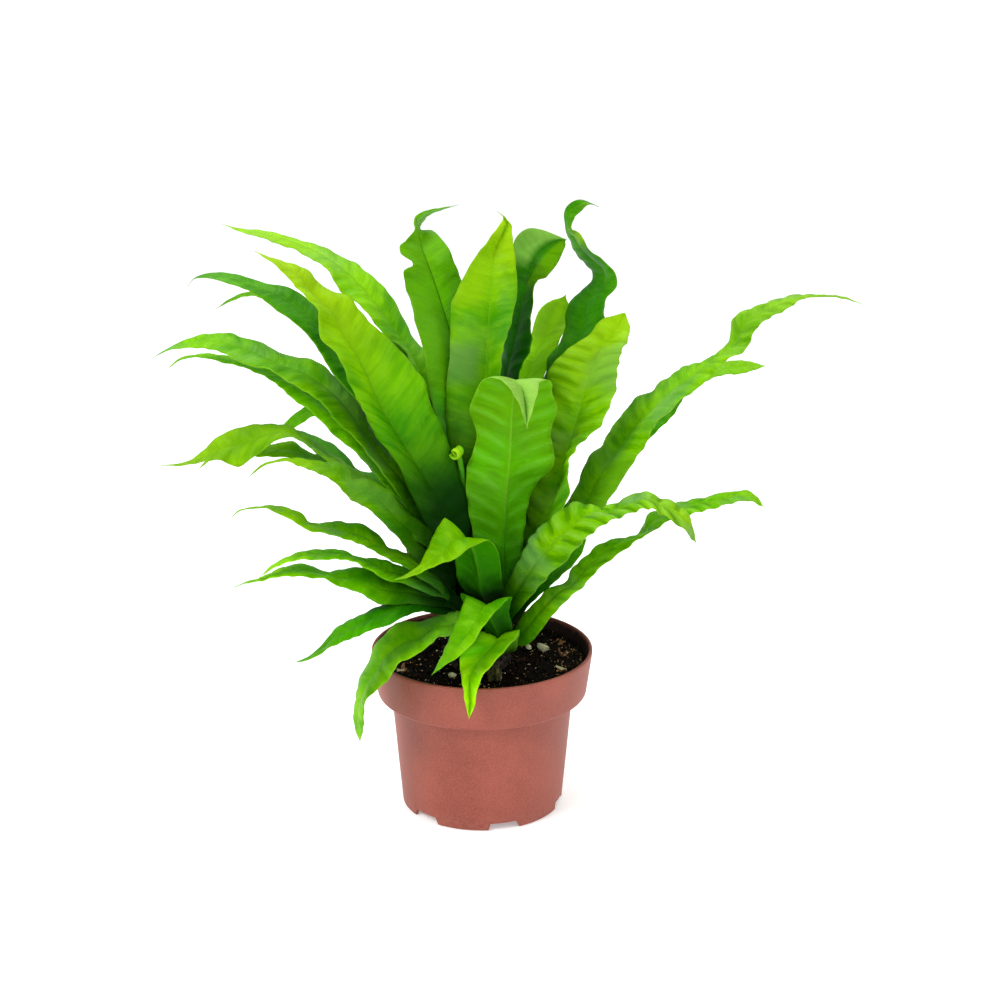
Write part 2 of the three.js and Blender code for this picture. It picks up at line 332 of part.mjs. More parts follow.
    [-114.2, -6.6, 287.3, -116.3, -17.6, 287.1, -111.8, 3.8, 287.7],
    [-124.4, -7.1, 291.4, -125.5, -16, 290.9, -123.2, 1.4, 292.1],
    [-133.7, -7.6, 293.4, -134.2, -14.4, 292.9, -133, -1.1, 294.1],
    [-141.2, -8.1, 293.5, -141, -12.7, 293.4, -141.4, -3.6, 293.7],
    [-145.9, -8.6, 292, -145.9, -11.3, 292.1, -145.9, -5.9, 291.9],
    [-148.9, -9.1, 288.6, -148.8, -9.6, 288.7, -149, -8.6, 288.5]]],
  frond_20: ['frond_mid', [
    [-13, 1.2, 97.9, -12.3, -1, 97.9, -12.2, 3.5, 97.9],
    [-14.3, 1, 123, -12.6, -5.1, 123.2, -12.2, 6.9, 123.2],
    [-18, -1.2, 147.6, -22, -9.9, 148.3, -13.9, 7, 147.2],
    [-29, -3.1, 165.9, -33.3, -14.3, 165.3, -24.5, 7.5, 166.7],
    [-38.8, -4.4, 179, -43.4, -16.9, 179.3, -34, 8, 178.9],
    [-46.8, -4.9, 190.2, -52, -18.6, 192.2, -41.4, 8.7, 188.2],
    [-56.6, -4.5, 201.8, -62, -19.3, 206.4, -50.9, 10.1, 197.2],
    [-67.8, -3.7, 219.2, -71.8, -20.8, 220.7, -63.5, 13.3, 217.8],
    [-77.7, -2.7, 231, -83.9, -20.1, 231.6, -71.2, 13.7, 230.8],
    [-90.8, -1.5, 240.4, -96, -19.2, 239.3, -85.3, 15.2, 241.8],
    [-104.6, -0.4, 245.4, -107.8, -17.9, 244.2, -101.1, 16.2, 247],
    [-118.2, 0.6, 251.8, -120.8, -14.4, 249.7, -115.4, 14.8, 254.3],
    [-131.4, 1.5, 256.1, -132.9, -11.1, 253.7, -129.8, 13.4, 258.9],
    [-144.4, 2.2, 257.6, -144.5, -8, 256.1, -144.2, 11.9, 259.2],
    [-155, 2.7, 255.6, -154.3, -4.7, 255.4, -155.6, 10.1, 255.8],
    [-163.1, 3, 252.9, -162.7, -1.8, 253.2, -163.5, 7.8, 252.6],
    [-172.1, 3.2, 247.8, -172.1, 2.8, 247.9, -172.2, 3.7, 247.7]]],
  frond_21: ['frond_dark', [
    [-14.7, 0.5, 95.8, -14.4, -1.2, 95.9, -14, 2, 95.9],
    [-19, -2.8, 127.3, -18, -7.9, 127.7, -16.9, 1.9, 127.7],
    [-26, -6.6, 157.2, -29.7, -14.1, 156.9, -22.2, 0.6, 157.7],
    [-36.7, -6.3, 172.4, -40.5, -15.3, 172.2, -32.8, 2.2, 172.8],
    [-46.1, -5.9, 181.4, -49.7, -15.6, 182.7, -42.4, 3.7, 180.2],
    [-56.1, -5, 195.4, -60.3, -16.6, 196.6, -51.8, 6, 194.5],
    [-66.5, -3.5, 208.3, -70.4, -16.2, 208.8, -62.3, 8.5, 208.1],
    [-76.6, -1.6, 217.8, -80.7, -14.3, 217.4, -72.3, 10.4, 218.5],
    [-86.8, 0.6, 225.9, -90.5, -12.3, 226.5, -82.9, 12.7, 225.6],
    [-97.2, 2.8, 233.2, -99.7, -10.4, 234, -94.6, 15.2, 232.6],
    [-109.1, 5, 238.5, -110.3, -6.4, 239.4, -107.8, 16.4, 237.7],
    [-120.2, 7, 242.9, -121, -3, 243.4, -119.3, 17, 242.5],
    [-131.5, 8.8, 246.2, -131.7, 0.4, 246.8, -131.4, 17.3, 245.7],
    [-142.2, 10.3, 247.9, -141.4, 3.5, 248.3, -142.9, 17.1, 247.6],
    [-152.1, 11.5, 247.2, -151.3, 6.5, 247.6, -152.8, 16.3, 247],
    [-159.4, 12.2, 245.2, -158.6, 9, 245.4, -160.2, 15.3, 245],
    [-166.4, 12.8, 239.1, -166.3, 12.3, 239.2, -166.5, 13.2, 239]]],
  frond_22: ['frond_dark', [
    [-16.7, 7.9, 91.5, -16.7, 6, 91.5, -15.6, 9.5, 91.6],
    [-17.6, 9.9, 118.3, -17.5, 2.9, 118.3, -13.6, 15.6, 118.5],
    [-21.1, 11.9, 143.2, -24.5, 1.4, 144.5, -17.6, 21.4, 142.4],
    [-33.6, 15.8, 156.8, -37.3, 2.5, 157.6, -29.7, 28.4, 156.2],
    [-46.6, 19.6, 169.2, -50, 4.6, 170.4, -42.9, 33.8, 168.3],
    [-58.8, 23, 177.5, -61.3, 8.6, 178.7, -56.2, 37.4, 176.4],
    [-68.5, 25.5, 178.8, -70.6, 11.1, 180.8, -66.2, 39.9, 176.8],
    [-74.7, 26.9, 185.2, -77.1, 13.9, 186.7, -72.1, 39.9, 183.7],
    [-81.7, 28.6, 189.8, -83.7, 16.6, 189.2, -79.7, 39.9, 190.6],
    [-89.1, 30.3, 194.9, -90.4, 20.9, 194.7, -87.7, 39.2, 195.3],
    [-95.7, 31.9, 197.9, -96.5, 24.3, 197.7, -94.7, 39, 198.2],
    [-103.7, 33.9, 199.6, -104, 29.1, 199.2, -103.3, 38.4, 200.1],
    [-112.4, 36.1, 200.1, -112.3, 35.6, 200.2, -112.4, 36.5, 200]]],
  frond_23: ['frond_dark', [
    [-14.3, 4.4, 95, -14.2, 3, 95, -13.6, 5.7, 95],
    [-17.6, 5.4, 126.2, -17, 0.3, 126.3, -15, 9.9, 126.4],
    [-22.5, 7.4, 156.1, -25.4, -0.4, 156.3, -19.4, 14.8, 155.9],
    [-35.9, 12.1, 175.4, -39.1, 2, 175.7, -32.5, 21.6, 175.4],
    [-48.7, 16.3, 194.3, -51.8, 5.4, 194.6, -45.4, 26.6, 194.3],
    [-60.4, 19.6, 209.5, -63.4, 8.7, 209.1, -57.3, 30, 210.2],
    [-71.9, 22.3, 218.2, -74.7, 12.9, 216.8, -69, 31.2, 219.9],
    [-82.3, 24.3, 216.1, -83.5, 16.5, 214.8, -81, 32.1, 217.4],
    [-92.5, 26.1, 213.7, -90.9, 20.3, 212.7, -94.1, 31.9, 214.7],
    [-99.7, 27.2, 208.9, -97.7, 23, 207.5, -101.8, 31.4, 210.3],
    [-106, 28.2, 203.6, -104.1, 26, 202.8, -107.8, 30.4, 204.5],
    [-110, 28.7, 197.6, -110, 28.2, 197.7, -110.1, 29.2, 197.5]]],
  frond_24: ['frond_dark', [
    [-7.1, 6.8, 101.5, -6.9, 5, 101.5, -6.2, 8.4, 101.6],
    [-7.2, 8.1, 136.8, -6.3, 0.5, 136.6, -3.4, 14.7, 137.4],
    [-12.2, 8.8, 170.8, -15.7, -2.4, 172.6, -8.6, 19.4, 169.3],
    [-22.5, 10.8, 191.7, -27.1, -2, 193.4, -17.8, 23.6, 190],
    [-29.5, 11.3, 212, -35.3, -1.1, 213.4, -23.5, 23.6, 210.7],
    [-38.3, 12.1, 230.1, -43.6, 2.1, 230.4, -32.9, 22, 229.8],
    [-45.7, 12.8, 246.7, -50.9, 6.8, 245.4, -40.5, 18.8, 248],
    [-53.3, 13.8, 255.6, -56.2, 10.5, 255.2, -50.3, 16.9, 256],
    [-59.5, 14.6, 260.2, -59.5, 14.2, 260.3, -59.6, 15.1, 260.1]]],
  frond_25: ['frond_bright', [
    [-4.7, 7.3, 103.2, -5.1, 4.8, 103.2, -3, 9.1, 103.2],
    [-6.3, 11.8, 138.6, -7.3, 4.1, 138.7, -0.9, 17.3, 139],
    [-11.3, 17.7, 173.2, -15.8, 6.6, 175.4, -6.6, 27.5, 171.4],
    [-21.2, 24.7, 200.9, -27.5, 10.6, 202, -14.8, 38, 200.2],
    [-30.1, 29.9, 224.6, -37.4, 13.4, 225.9, -22.4, 45.5, 223.6],
    [-37.2, 33.2, 241.8, -44.1, 15.8, 242.8, -30.1, 49.5, 241.1],
    [-47.2, 37.4, 256.5, -53.6, 19.9, 256.4, -40.4, 53.9, 256.9],
    [-59, 42.4, 271.8, -65.3, 24.8, 270.4, -52.4, 58.9, 273.6],
    [-72.8, 48.2, 285.1, -77.6, 31.1, 283.7, -67.8, 64.4, 286.9],
    [-88, 54.5, 294.6, -91.4, 40, 293.4, -84.2, 68.3, 296.1],
    [-103.3, 60.7, 299.8, -105.5, 48.8, 299.9, -100.9, 72, 299.9],
    [-118.2, 66.4, 303, -118.8, 58, 302.7, -117.6, 74.9, 303.3],
    [-131.9, 71.3, 304.3, -131.8, 66.5, 304.4, -132, 76.1, 304.2],
    [-142.6, 74.5, 307.2, -142.5, 74, 307.3, -142.7, 75, 307.1]]],
  frond_26: ['frond_mid', [
    [8.7, 5.7, 102.7, 7.4, 7.1, 103.3, 9.1, 3.8, 102.9],
    [13.9, 8.6, 109.5, 11.8, 11.1, 110.5, 14.6, 5.2, 109.9],
    [20.2, 11.4, 115.8, 16.4, 14.4, 115.8, 24, 8.2, 115.8],
    [34.1, 17.8, 134.4, 29, 23.3, 134.8, 39.1, 11.6, 134.2],
    [48.6, 24.6, 153.7, 42.9, 32.6, 153.7, 54.3, 15.7, 153.9],
    [62.9, 31.8, 171.8, 57.4, 42.5, 171.5, 68.3, 19.8, 172.5],
    [76.8, 39.1, 187.9, 72, 52.3, 187.1, 81.3, 25.2, 189],
    [91.3, 47.2, 200.6, 87.9, 60.7, 199.8, 94.6, 32.9, 201.5],
    [106.1, 55.7, 212.6, 104, 69.4, 211.5, 108.1, 42, 213.8],
    [120, 64.2, 221.1, 118.9, 75.3, 220.4, 121, 52.4, 221.9],
    [132.4, 72.3, 224.7, 131.7, 80.8, 225.5, 133.1, 63.3, 224.1],
    [142.8, 79.6, 225.2, 141.2, 85.8, 227.8, 144.3, 72.9, 222.7],
    [152.8, 86.9, 224.5, 152.1, 90.8, 226, 153.5, 83, 222.9],
    [162.4, 94.4, 222.9, 162.4, 94.8, 222.8, 162.3, 94, 223]]],
  frond_27: ['frond_bright', [
    [-1.3, 1.6, 107.8, -3.5, 0.5, 108.1, 1.1, 1.3, 107.6],
    [0.6, -1, 127.5, -4.8, -3.8, 128.2, 6.6, -1.9, 127],
    [2.3, -2.7, 147, -7.3, -3.6, 147.8, 9.8, -4.9, 148.3],
    [1.3, 0.4, 171.7, -13.6, -0.9, 172.1, 9.8, -5.7, 173.6],
    [1.3, 4.6, 198.2, -17.7, 3.1, 198.6, 9.8, -6.1, 201.1],
    [1.9, 9.1, 224.3, -18.1, 7.6, 224.7, 9.3, -4.6, 227.7],
    [3, 13.7, 247.5, -16.5, 12.2, 247.9, 10.3, -0, 250.7],
    [4, 18.5, 266.4, -16.5, 16.9, 266.7, 16.1, 8.5, 268.4],
    [5.1, 22.2, 280, -13.3, 20.9, 280.8, 18.7, 16.4, 280.6],
    [6.1, 25.8, 292.1, -6.5, 23.8, 293, 18.2, 22, 292.3],
    [7.2, 28.3, 301.2, 0.4, 22.5, 302.7, 17.1, 25.1, 301.2],
    [11.4, 27.7, 309.7, 6.2, 22.7, 310.5, 16.1, 24.1, 310.3],
    [13.4, 24.9, 317, 11.4, 21.9, 318, 15, 21.6, 315.9],
    [8.2, 22.1, 322.1, 8.2, 21.7, 322.1, 8.2, 21.6, 322.2]]],
  frond_28: ['frond_mid', [
    [-4.5, 3.5, 104.7, -5.8, 1.4, 104.8, -2.2, 4.4, 104.7],
    [-5, 1.8, 125.7, -8.2, -3.3, 125.9, 0.6, 4.1, 125.8],
    [-6.3, 1.5, 146.1, -12.6, -4.7, 148.2, 0.1, 7, 147.1],
    [-11.1, 6.6, 173.2, -18.8, -2.9, 175.5, -4.2, 15.9, 173.7],
    [-12.6, 12.8, 201.4, -21.8, 0.1, 204.9, -5.3, 25.4, 200.8],
    [-14.1, 18.7, 233.9, -26.9, 4.4, 236.3, -4.7, 33.1, 233.8],
    [-16.7, 24.4, 256, -31.6, 11.3, 258.8, -5.8, 37.8, 255.3],
    [-20.5, 28.8, 268.6, -35.4, 17.8, 271.9, -8.5, 40.9, 268.9],
    [-24.2, 33.2, 279.6, -40.7, 28.8, 281.5, -10.6, 42, 282.2],
    [-27.9, 35.5, 289.9, -41.1, 28.3, 292.2, -13.7, 40.6, 290],
    [-31.1, 38.7, 297.9, -43, 33.8, 301.9, -17.3, 40.4, 299.7],
    [-33, 41.9, 304.3, -39.2, 32.7, 305.2, -26.1, 48.5, 307.2],
    [-33.9, 43.1, 308.9, -34.5, 33.4, 310.4, -33.2, 51.6, 307.5],
    [-33.8, 44.2, 312.3, -34.7, 34.8, 313.9, -32.9, 52.5, 310.9],
    [-31.9, 44.3, 315.5, -32.9, 35.9, 317.7, -30.9, 52.1, 313.4],
    [-26.6, 44.3, 318.5, -26.6, 38, 320.3, -26.5, 50.3, 316.8],
    [-11.9, 44.4, 322.2, -11.9, 43.9, 322.3, -12, 44.9, 322.2]]],
  frond_29: ['frond_dark', [
    [4.9, 5.1, 103.4, 3.1, 6.4, 104.2, 5.8, 3, 103.4],
    [16.2, 7.1, 124.2, 11.6, 10.3, 126.1, 18.6, 1.6, 124.2],
    [27.7, 10.4, 144.6, 20.7, 14.3, 141.8, 34.5, 4.9, 147.8],
    [31.4, 17.9, 173.1, 22.9, 24.8, 169.9, 39.8, 9.4, 176.8],
    [37.9, 25.9, 198.9, 27.3, 34.7, 195.4, 48.3, 15, 203],
    [43.9, 33.5, 222.9, 32.2, 44.5, 218.2, 55.1, 20.8, 228],
    [49.3, 40.8, 243.1, 35.5, 51.2, 237.4, 62.7, 29, 249.5],
    [54.9, 47.2, 253.8, 43.3, 58.7, 250.3, 64.9, 33.8, 259.4],
    [55.5, 52.5, 263.2, 44.5, 65.3, 260.1, 65.5, 37.4, 266.3],
    [59.9, 56.3, 271.3, 50.6, 69.8, 269.3, 67.8, 41.2, 273.7],
    [65.9, 58.6, 278, 59.5, 72.1, 276.1, 71.8, 44.1, 279.1],
    [66.5, 60.8, 283.7, 61.7, 73.7, 280.8, 70, 46.6, 286.2],
    [61.5, 61.9, 289, 57.8, 73.7, 285.3, 64.6, 49.2, 292.8],
    [55, 63, 294.8, 52.7, 73.7, 291.4, 57.1, 51.6, 298.4],
    [50.5, 63, 301.4, 48.8, 72.5, 298.2, 52.8, 53.1, 304.6],
    [46.7, 62.1, 306.4, 45.6, 70.2, 305.1, 48, 53.4, 307.5],
    [46.5, 60.1, 312.7, 44.3, 66.5, 312.3, 49.2, 53.4, 313.2],
    [49.4, 58.1, 318.4, 46.5, 62.9, 318.8, 52.7, 53, 317],
    [55.4, 56.1, 321.9, 52.9, 59.4, 322.5, 57.4, 52.6, 321.1],
    [63, 56.1, 319.2, 63, 56.6, 319.1, 62.9, 55.6, 319.3]]],
  frond_30: ['frond_mid', [
    [-10.6, 4.2, 99.6, -10.7, 2.6, 99.6, -9.6, 5.4, 99.6],
    [-11.8, 2.7, 131.3, -12.1, -1.9, 131.4, -8.8, 6.3, 131.5],
    [-15.9, 3.4, 161.3, -18.9, -3.2, 161.7, -12.8, 9.4, 161.1],
    [-32.4, 11.8, 192.2, -35.7, 2.3, 192.2, -29, 20.4, 192.6],
    [-49, 19.7, 217.2, -52.6, 7.9, 217, -45.2, 30.2, 217.9],
    [-66.7, 27.5, 238.4, -69.6, 16.1, 237.8, -63.7, 38.3, 239.2],
    [-84.5, 35.1, 257, -86.8, 24, 256.6, -82.2, 45.6, 257.5],
    [-101.5, 42, 269.2, -103.2, 33.1, 268.8, -99.7, 50.4, 269.7],
    [-117.1, 48.1, 273.2, -117.9, 41.1, 273.2, -116.3, 54.7, 273.3],
    [-126.7, 51.4, 273.1, -126.6, 46.1, 273, -126.9, 56.7, 273.2],
    [-136.3, 54.5, 269.2, -135.6, 51.2, 269, -137, 57.9, 269.4],
    [-146.6, 57.8, 262.7, -146.5, 57.4, 262.8, -146.6, 58.2, 262.6]]],
  frond_31: ['frond_dark', [
    [1.5, 5.6, 105.5, -0.9, 6.1, 106.1, 3, 3.7, 105.2],
    [6.4, 4.7, 124.8, 0.5, 6.1, 126.3, 10.4, -0.1, 124.1],
    [11.4, 5.6, 143.6, 3.3, 8.8, 143.7, 18.4, 0, 146.6],
    [12.5, 13.2, 173.4, 2.2, 19.7, 171.5, 21.5, 3.9, 177.3],
    [13, 22.8, 203.1, 4.3, 35.2, 200.9, 21.5, 9, 207.9],
    [13.6, 29.3, 231.4, 7.6, 44.4, 227.8, 19.3, 13.5, 236.8],
    [16.8, 33.7, 244.7, 9.8, 48.6, 241.3, 23.5, 17, 249.5],
    [18.9, 37.1, 254.3, 11.4, 51.5, 251.3, 25.6, 20.6, 258.4],
    [21.1, 41.4, 264.4, 13.6, 53.8, 261.3, 27.3, 26.8, 267.9],
    [22.7, 44.6, 272.5, 15.2, 54.6, 270, 28.4, 31.7, 275.5],
    [24.4, 47.8, 280.1, 16.3, 55.2, 278.1, 30.1, 37.3, 282],
    [27, 50, 287.3, 16.8, 53.5, 289.9, 35, 43.1, 283.6],
    [31.3, 51.1, 294.7, 17.3, 53, 301.4, 40.5, 48.9, 289.6],
    [36.1, 50.2, 299.1, 24.3, 50.9, 308.2, 43.1, 48.3, 295.1],
    [40.9, 48.3, 302.2, 34.4, 48.3, 307.8, 45.1, 47.3, 300.2],
    [45.8, 45.3, 303.7, 45.8, 44.9, 303.8, 45.8, 44.9, 303.8]]],
  frond_32: ['frond_bright', [
    [3.6, 9.7, 102.5, 1.9, 10.4, 103.1, 4.7, 8.1, 102.2],
    [12.1, 14.9, 122.5, 6.8, 17, 124.2, 15.4, 10.1, 122.1],
    [20.2, 22.8, 141.9, 14.2, 27.2, 140.4, 26.1, 16, 144.1],
    [21.3, 33.8, 167.2, 14.2, 41.8, 164.8, 28.3, 24, 170.2],
    [22.2, 45, 192.6, 14.8, 55.1, 189.8, 29.4, 32.5, 196],
    [24.2, 55, 212.8, 16.5, 65.1, 210.2, 31.6, 42.6, 215.9],
    [27.5, 62.4, 231.4, 18.2, 69.6, 228.6, 36.7, 53.1, 234.7],
    [34.2, 68.5, 243.4, 27.6, 73.2, 240.9, 40.7, 62.5, 246.1],
    [41.5, 73.3, 257.1, 35.9, 74.8, 258.7, 47, 71.8, 255.4],
    [46.4, 76.2, 268, 46.5, 76.7, 267.9, 46.4, 75.8, 268.1]]],
  frond_33: ['frond_dark', [
    [12, 13.7, 89.9, 10.4, 14.3, 90.2, 13.2, 12.2, 90.2],
    [21.5, 26.8, 114.8, 12.9, 30.5, 116.8, 27.4, 19.5, 116.6],
    [33.6, 45.5, 133.7, 22, 52.2, 137.7, 42.7, 35.5, 137.3],
    [47.8, 62.2, 137.7, 40.5, 69.5, 140.8, 56, 56, 141.1],
    [58.7, 74, 125.7, 58.4, 74.4, 125.8, 59.1, 73.8, 125.8]]],
  frond_34: ['frond_dark', [
    [6.7, 16.8, 90, 4.5, 16.8, 90.3, 8.5, 15.5, 90.2],
    [11.3, 30, 125, 1.3, 31, 126.5, 19.4, 24, 126.6],
    [18.9, 52.9, 154.9, 2.8, 56.3, 158.3, 31.9, 43.4, 159.4],
    [29.1, 76.8, 167.9, 13.9, 83.4, 171.5, 43.1, 70, 174.8],
    [39.4, 98.5, 157.9, 29.8, 104.4, 159, 49.8, 97, 162.3],
    [46.6, 110.7, 137.9, 46.2, 110.9, 137.9, 47.1, 110.7, 138.1]]],
  frond_35: ['frond_dark', [
    [-10.5, 14.1, 91.7, -12.2, 12.7, 92, -8.3, 14.4, 92],
    [-17.6, 31.3, 127.4, -25.3, 24.9, 129, -7.9, 33.1, 129.2],
    [-25.3, 58.6, 157.1, -38, 48.8, 161, -10, 62.9, 161.5],
    [-39.5, 85, 169.2, -53.6, 77.2, 174.5, -25.3, 92.8, 174.5],
    [-52.5, 107.5, 157.2, -63.1, 104.2, 160.3, -44.1, 115, 159.5],
    [-60.6, 119, 134.2, -61.1, 118.9, 134.3, -60.2, 119.4, 134.2]]],
  frond_36: ['frond_mid', [
    [-1.1, 11.5, 99.4, -3.3, 10.8, 99.5, 1.2, 10.9, 99.6],
    [-1.5, 26, 148.7, -11.9, 22.6, 149.7, 9, 23, 150],
    [-1.9, 49.9, 193.4, -18.8, 45.2, 195.8, 15, 45.8, 197.3],
    [-4.3, 79.6, 220.6, -21.8, 76.5, 224.3, 12.5, 78.3, 227.2],
    [-7.8, 113.2, 220.7, -19.6, 112.7, 223.2, 3, 116.1, 225.3],
    [-11, 136.8, 198.7, -11.5, 136.8, 198.8, -10.6, 137, 198.8]]],
  frond_37: ['frond_mid', [
    [0.6, 17.2, 91.9, -1.8, 16.6, 92.1, 2.9, 16.4, 92.1],
    [0.7, 30.8, 134.7, -9.4, 27.6, 136.1, 11, 28, 135.9],
    [0.7, 53.6, 174.5, -15.4, 48.6, 178.8, 17.7, 50.5, 177.3],
    [0.3, 85.9, 197.5, -16.9, 83.1, 205.1, 19, 85.2, 201.1],
    [-0.8, 120, 195.5, -13.8, 122.2, 201.9, 13.6, 121.4, 197.3],
    [-2.6, 149.9, 169.5, -3, 150.1, 169.7, -2.1, 149.9, 169.5]]],
  frond_38: ['frond_mid', [
    [-5.6, 17.4, 89.9, -7.5, 16, 90.2, -3.2, 17.4, 90.2],
    [-10.1, 33.1, 129.8, -18.9, 27.9, 131.2, 0.1, 32.8, 131.5],
    [-17, 58.4, 164.7, -32.1, 51.8, 167.7, -0.9, 58.2, 169.5],
    [-24.8, 89.4, 181.8, -41.9, 84.8, 184.9, -8.7, 91.8, 189.6],
    [-31.7, 120.7, 175.8, -44.9, 118.6, 176.8, -21.1, 126.3, 181.8],
    [-35.8, 144.3, 149.8, -36.3, 144.3, 149.8, -35.5, 144.6, 150]]],
  frond_39: ['frond_dark', [
    [4, 18.6, 87, 2, 18.6, 87.4, 5.7, 17.8, 87.3],
    [8.4, 37.2, 112, -0.5, 37.6, 114, 16.3, 33.1, 114.2],
    [15.4, 64.3, 128, 1.2, 67.3, 131.6, 28.5, 59.5, 133.3],
    [24.1, 95.1, 126, 12, 99.9, 128.3, 36.3, 93.8, 131.1],
    [31.1, 116, 104, 30.6, 116.2, 104, 31.5, 116.1, 104.1]]],
  frond_40: ['frond_dark', [
    [-8.9, 16.9, 86.9, -10.5, 15.9, 87.3, -7, 17.1, 87.4],
    [-16, 36.7, 107.8, -23.6, 31.8, 110.4, -7, 38.5, 110.1],
    [-23, 64.2, 121.8, -35.4, 57.8, 127.4, -9.4, 69.5, 125.3],
    [-34.8, 89.7, 117.8, -45.9, 87.2, 123, -24.1, 96, 119.3],
    [-43, 103.6, 97.8, -43.5, 103.5, 98, -42.6, 103.8, 97.8]]],
};

const wasm = await Module();
wasm.setup();
const { Manifold, Mesh } = wasm;

// ---- small vector helpers ----
const sub = (a, b) => [a[0] - b[0], a[1] - b[1], a[2] - b[2]];
const add = (a, b) => [a[0] + b[0], a[1] + b[1], a[2] + b[2]];
const mul = (a, s) => [a[0] * s, a[1] * s, a[2] * s];
const dot = (a, b) => a[0] * b[0] + a[1] * b[1] + a[2] * b[2];
const cross = (a, b) => [a[1] * b[2] - a[2] * b[1], a[2] * b[0] - a[0] * b[2], a[0] * b[1] - a[1] * b[0]];
const len = (a) => Math.hypot(a[0], a[1], a[2]);
const unit = (a) => mul(a, 1 / (len(a) || 1));

// Smooth curve through one column of a frond's stations.
const curveOf = (points) => new THREE.CatmullRomCurve3(points.map((p) => new THREE.Vector3(...p)), false, 'catmullrom', 0.5);

// A thin closed strap: six points round each cross-section, folded a little at the midrib.
function strap(rows, thick, grow, halves = false) {
  const col = (o) => rows.map((r) => r.slice(o, o + 3));
  const midrib = curveOf(col(0)), left = curveOf(col(3)), right = curveOf(col(6));
  const n = Math.max(8, Math.round((rows.length - 1) * SECTIONS_PER_STATION) + 1);
  const M = [], A = [], B = [];
  for (let k = 0; k < n; k++) {
    const u = k / (n - 1);
    M.push(midrib.getPoint(u).toArray()); A.push(left.getPoint(u).toArray()); B.push(right.getPoint(u).toArray());
  }
  const V = [];
  let last = [1, 0, 0];
  for (let k = 0; k < n; k++) {
    const T = unit(sub(M[Math.min(k + 1, n - 1)], M[Math.max(k - 1, 0)]));
    const least = k / (n - 1) > 0.5 ? 0.7 : 1.6;
    let a = sub(A[k], M[k]), b = sub(B[k], M[k]);
    let side = sub(b, a);
    side = sub(side, mul(T, dot(side, T)));
    if (len(side) < 0.4) side = last;
    side = unit(side); last = side;
    let la = len(a), lb = len(b);
    if (la < least) { a = mul(side, -least); la = least; }
    if (lb < least) { b = mul(side, least); lb = least; }
    a = mul(a, (la + grow) / la); b = mul(b, (lb + grow) / lb);
    const up = cross(T, side);
    let n1 = unit(cross(T, mul(a, -1))), n2 = unit(cross(T, b));
    if (dot(n1, up) < 0) n1 = mul(n1, -1);
    if (dot(n2, up) < 0) n2 = mul(n2, -1);
    const nm = unit(add(n1, n2)), h = thick / 2;
    V.push(add(add(M[k], a), mul(n1, 0.8 * h)), add(M[k], mul(nm, h)), add(add(M[k], b), mul(n2, 0.8 * h)),
      add(add(M[k], b), mul(n2, -0.8 * h)), add(M[k], mul(nm, -h)), add(add(M[k], a), mul(n1, -0.8 * h)));
  }
  if (halves) {
    // the room a strongly twisted frond takes: each half of each stretch as a convex block
    const blocks = [];
    for (let k = 0; k < n - 1; k++) {
      for (const half of [[0, 1, 4, 5], [1, 2, 3, 4]]) {
        blocks.push(solidFrom(new ConvexGeometry([...half, ...half.map((j) => j + 6)].map((j) => new THREE.Vector3(...V[6 * k + j])))));
      }
    }
    return blocks.reduce((a, b) => a.add(b));
  }
  const F = [];
  for (let k = 0; k < n - 1; k++) {
    for (let j = 0; j < 6; j++) {
      const p = k * 6 + j, q = k * 6 + ((j + 1) % 6);
      // both faces of the blade are split along the same diagonal, so a twisted stretch keeps its thickness
      if (j === 3 || j === 4) F.push([p, q, p + 6], [q, q + 6, p + 6]);
      else F.push([p, q, q + 6], [p, q + 6, p + 6]);
    }
  }
  const end = (n - 1) * 6;
  for (const [x, y, z] of [[0, 5, 4], [0, 4, 1], [1, 4, 3], [1, 3, 2]]) F.push([x, y, z], [end + z, end + y, end + x]);
  const blade = new THREE.BufferGeometry();
  blade.setAttribute('position', new THREE.Float32BufferAttribute(V.flat(), 3));
  blade.setIndex(F.flat());
  return solidFrom(blade);
}

function solidOf(V, F) {
  let vol = 0;
  for (const [a, b, c] of F) vol += dot(V[a], cross(V[b], V[c]));
  if (vol < 0) F = F.map(([a, b, c]) => [a, c, b]);
  return new Manifold(new Mesh({ numProp: 3, vertProperties: Float32Array.from(V.flat()), triVerts: Uint32Array.from(F.flat()) }));
}

// A closed three.js geometry as a solid.
function solidFrom(geometry, tolerance = 1e-4) {
  const g = geometry.clone();
  g.deleteAttribute('normal'); g.deleteAttribute('uv');
  const m = mergeVertices(g, tolerance), p = m.attributes.position, V = [], F = [];
  for (let i = 0; i < p.count; i++) V.push([p.getX(i), p.getY(i), p.getZ(i)]);
  const id = m.index.array;
  for (let i = 0; i < id.length; i += 3) if (id[i] !== id[i + 1] && id[i + 1] !== id[i + 2] && id[i] !== id[i + 2]) F.push([id[i], id[i + 1], id[i + 2]]);
  return solidOf(V, F);
}

// The least height of any triangle of a solid.
function thinnest(s) {
  const m = s.getMesh(), p = (i) => [0, 1, 2].map((k) => m.vertProperties[m.numProp * i + k]);
  let least = Infinity;
  for (let i = 0; i < m.triVerts.length; i += 3) {
    const [a, b, c] = [p(m.triVerts[i]), p(m.triVerts[i + 1]), p(m.triVerts[i + 2])];
    least = Math.min(least, len(cross(sub(b, a), sub(c, a))) / Math.max(len(sub(b, a)), len(sub(c, b)), len(sub(a, c))));
  }
  return least;
}

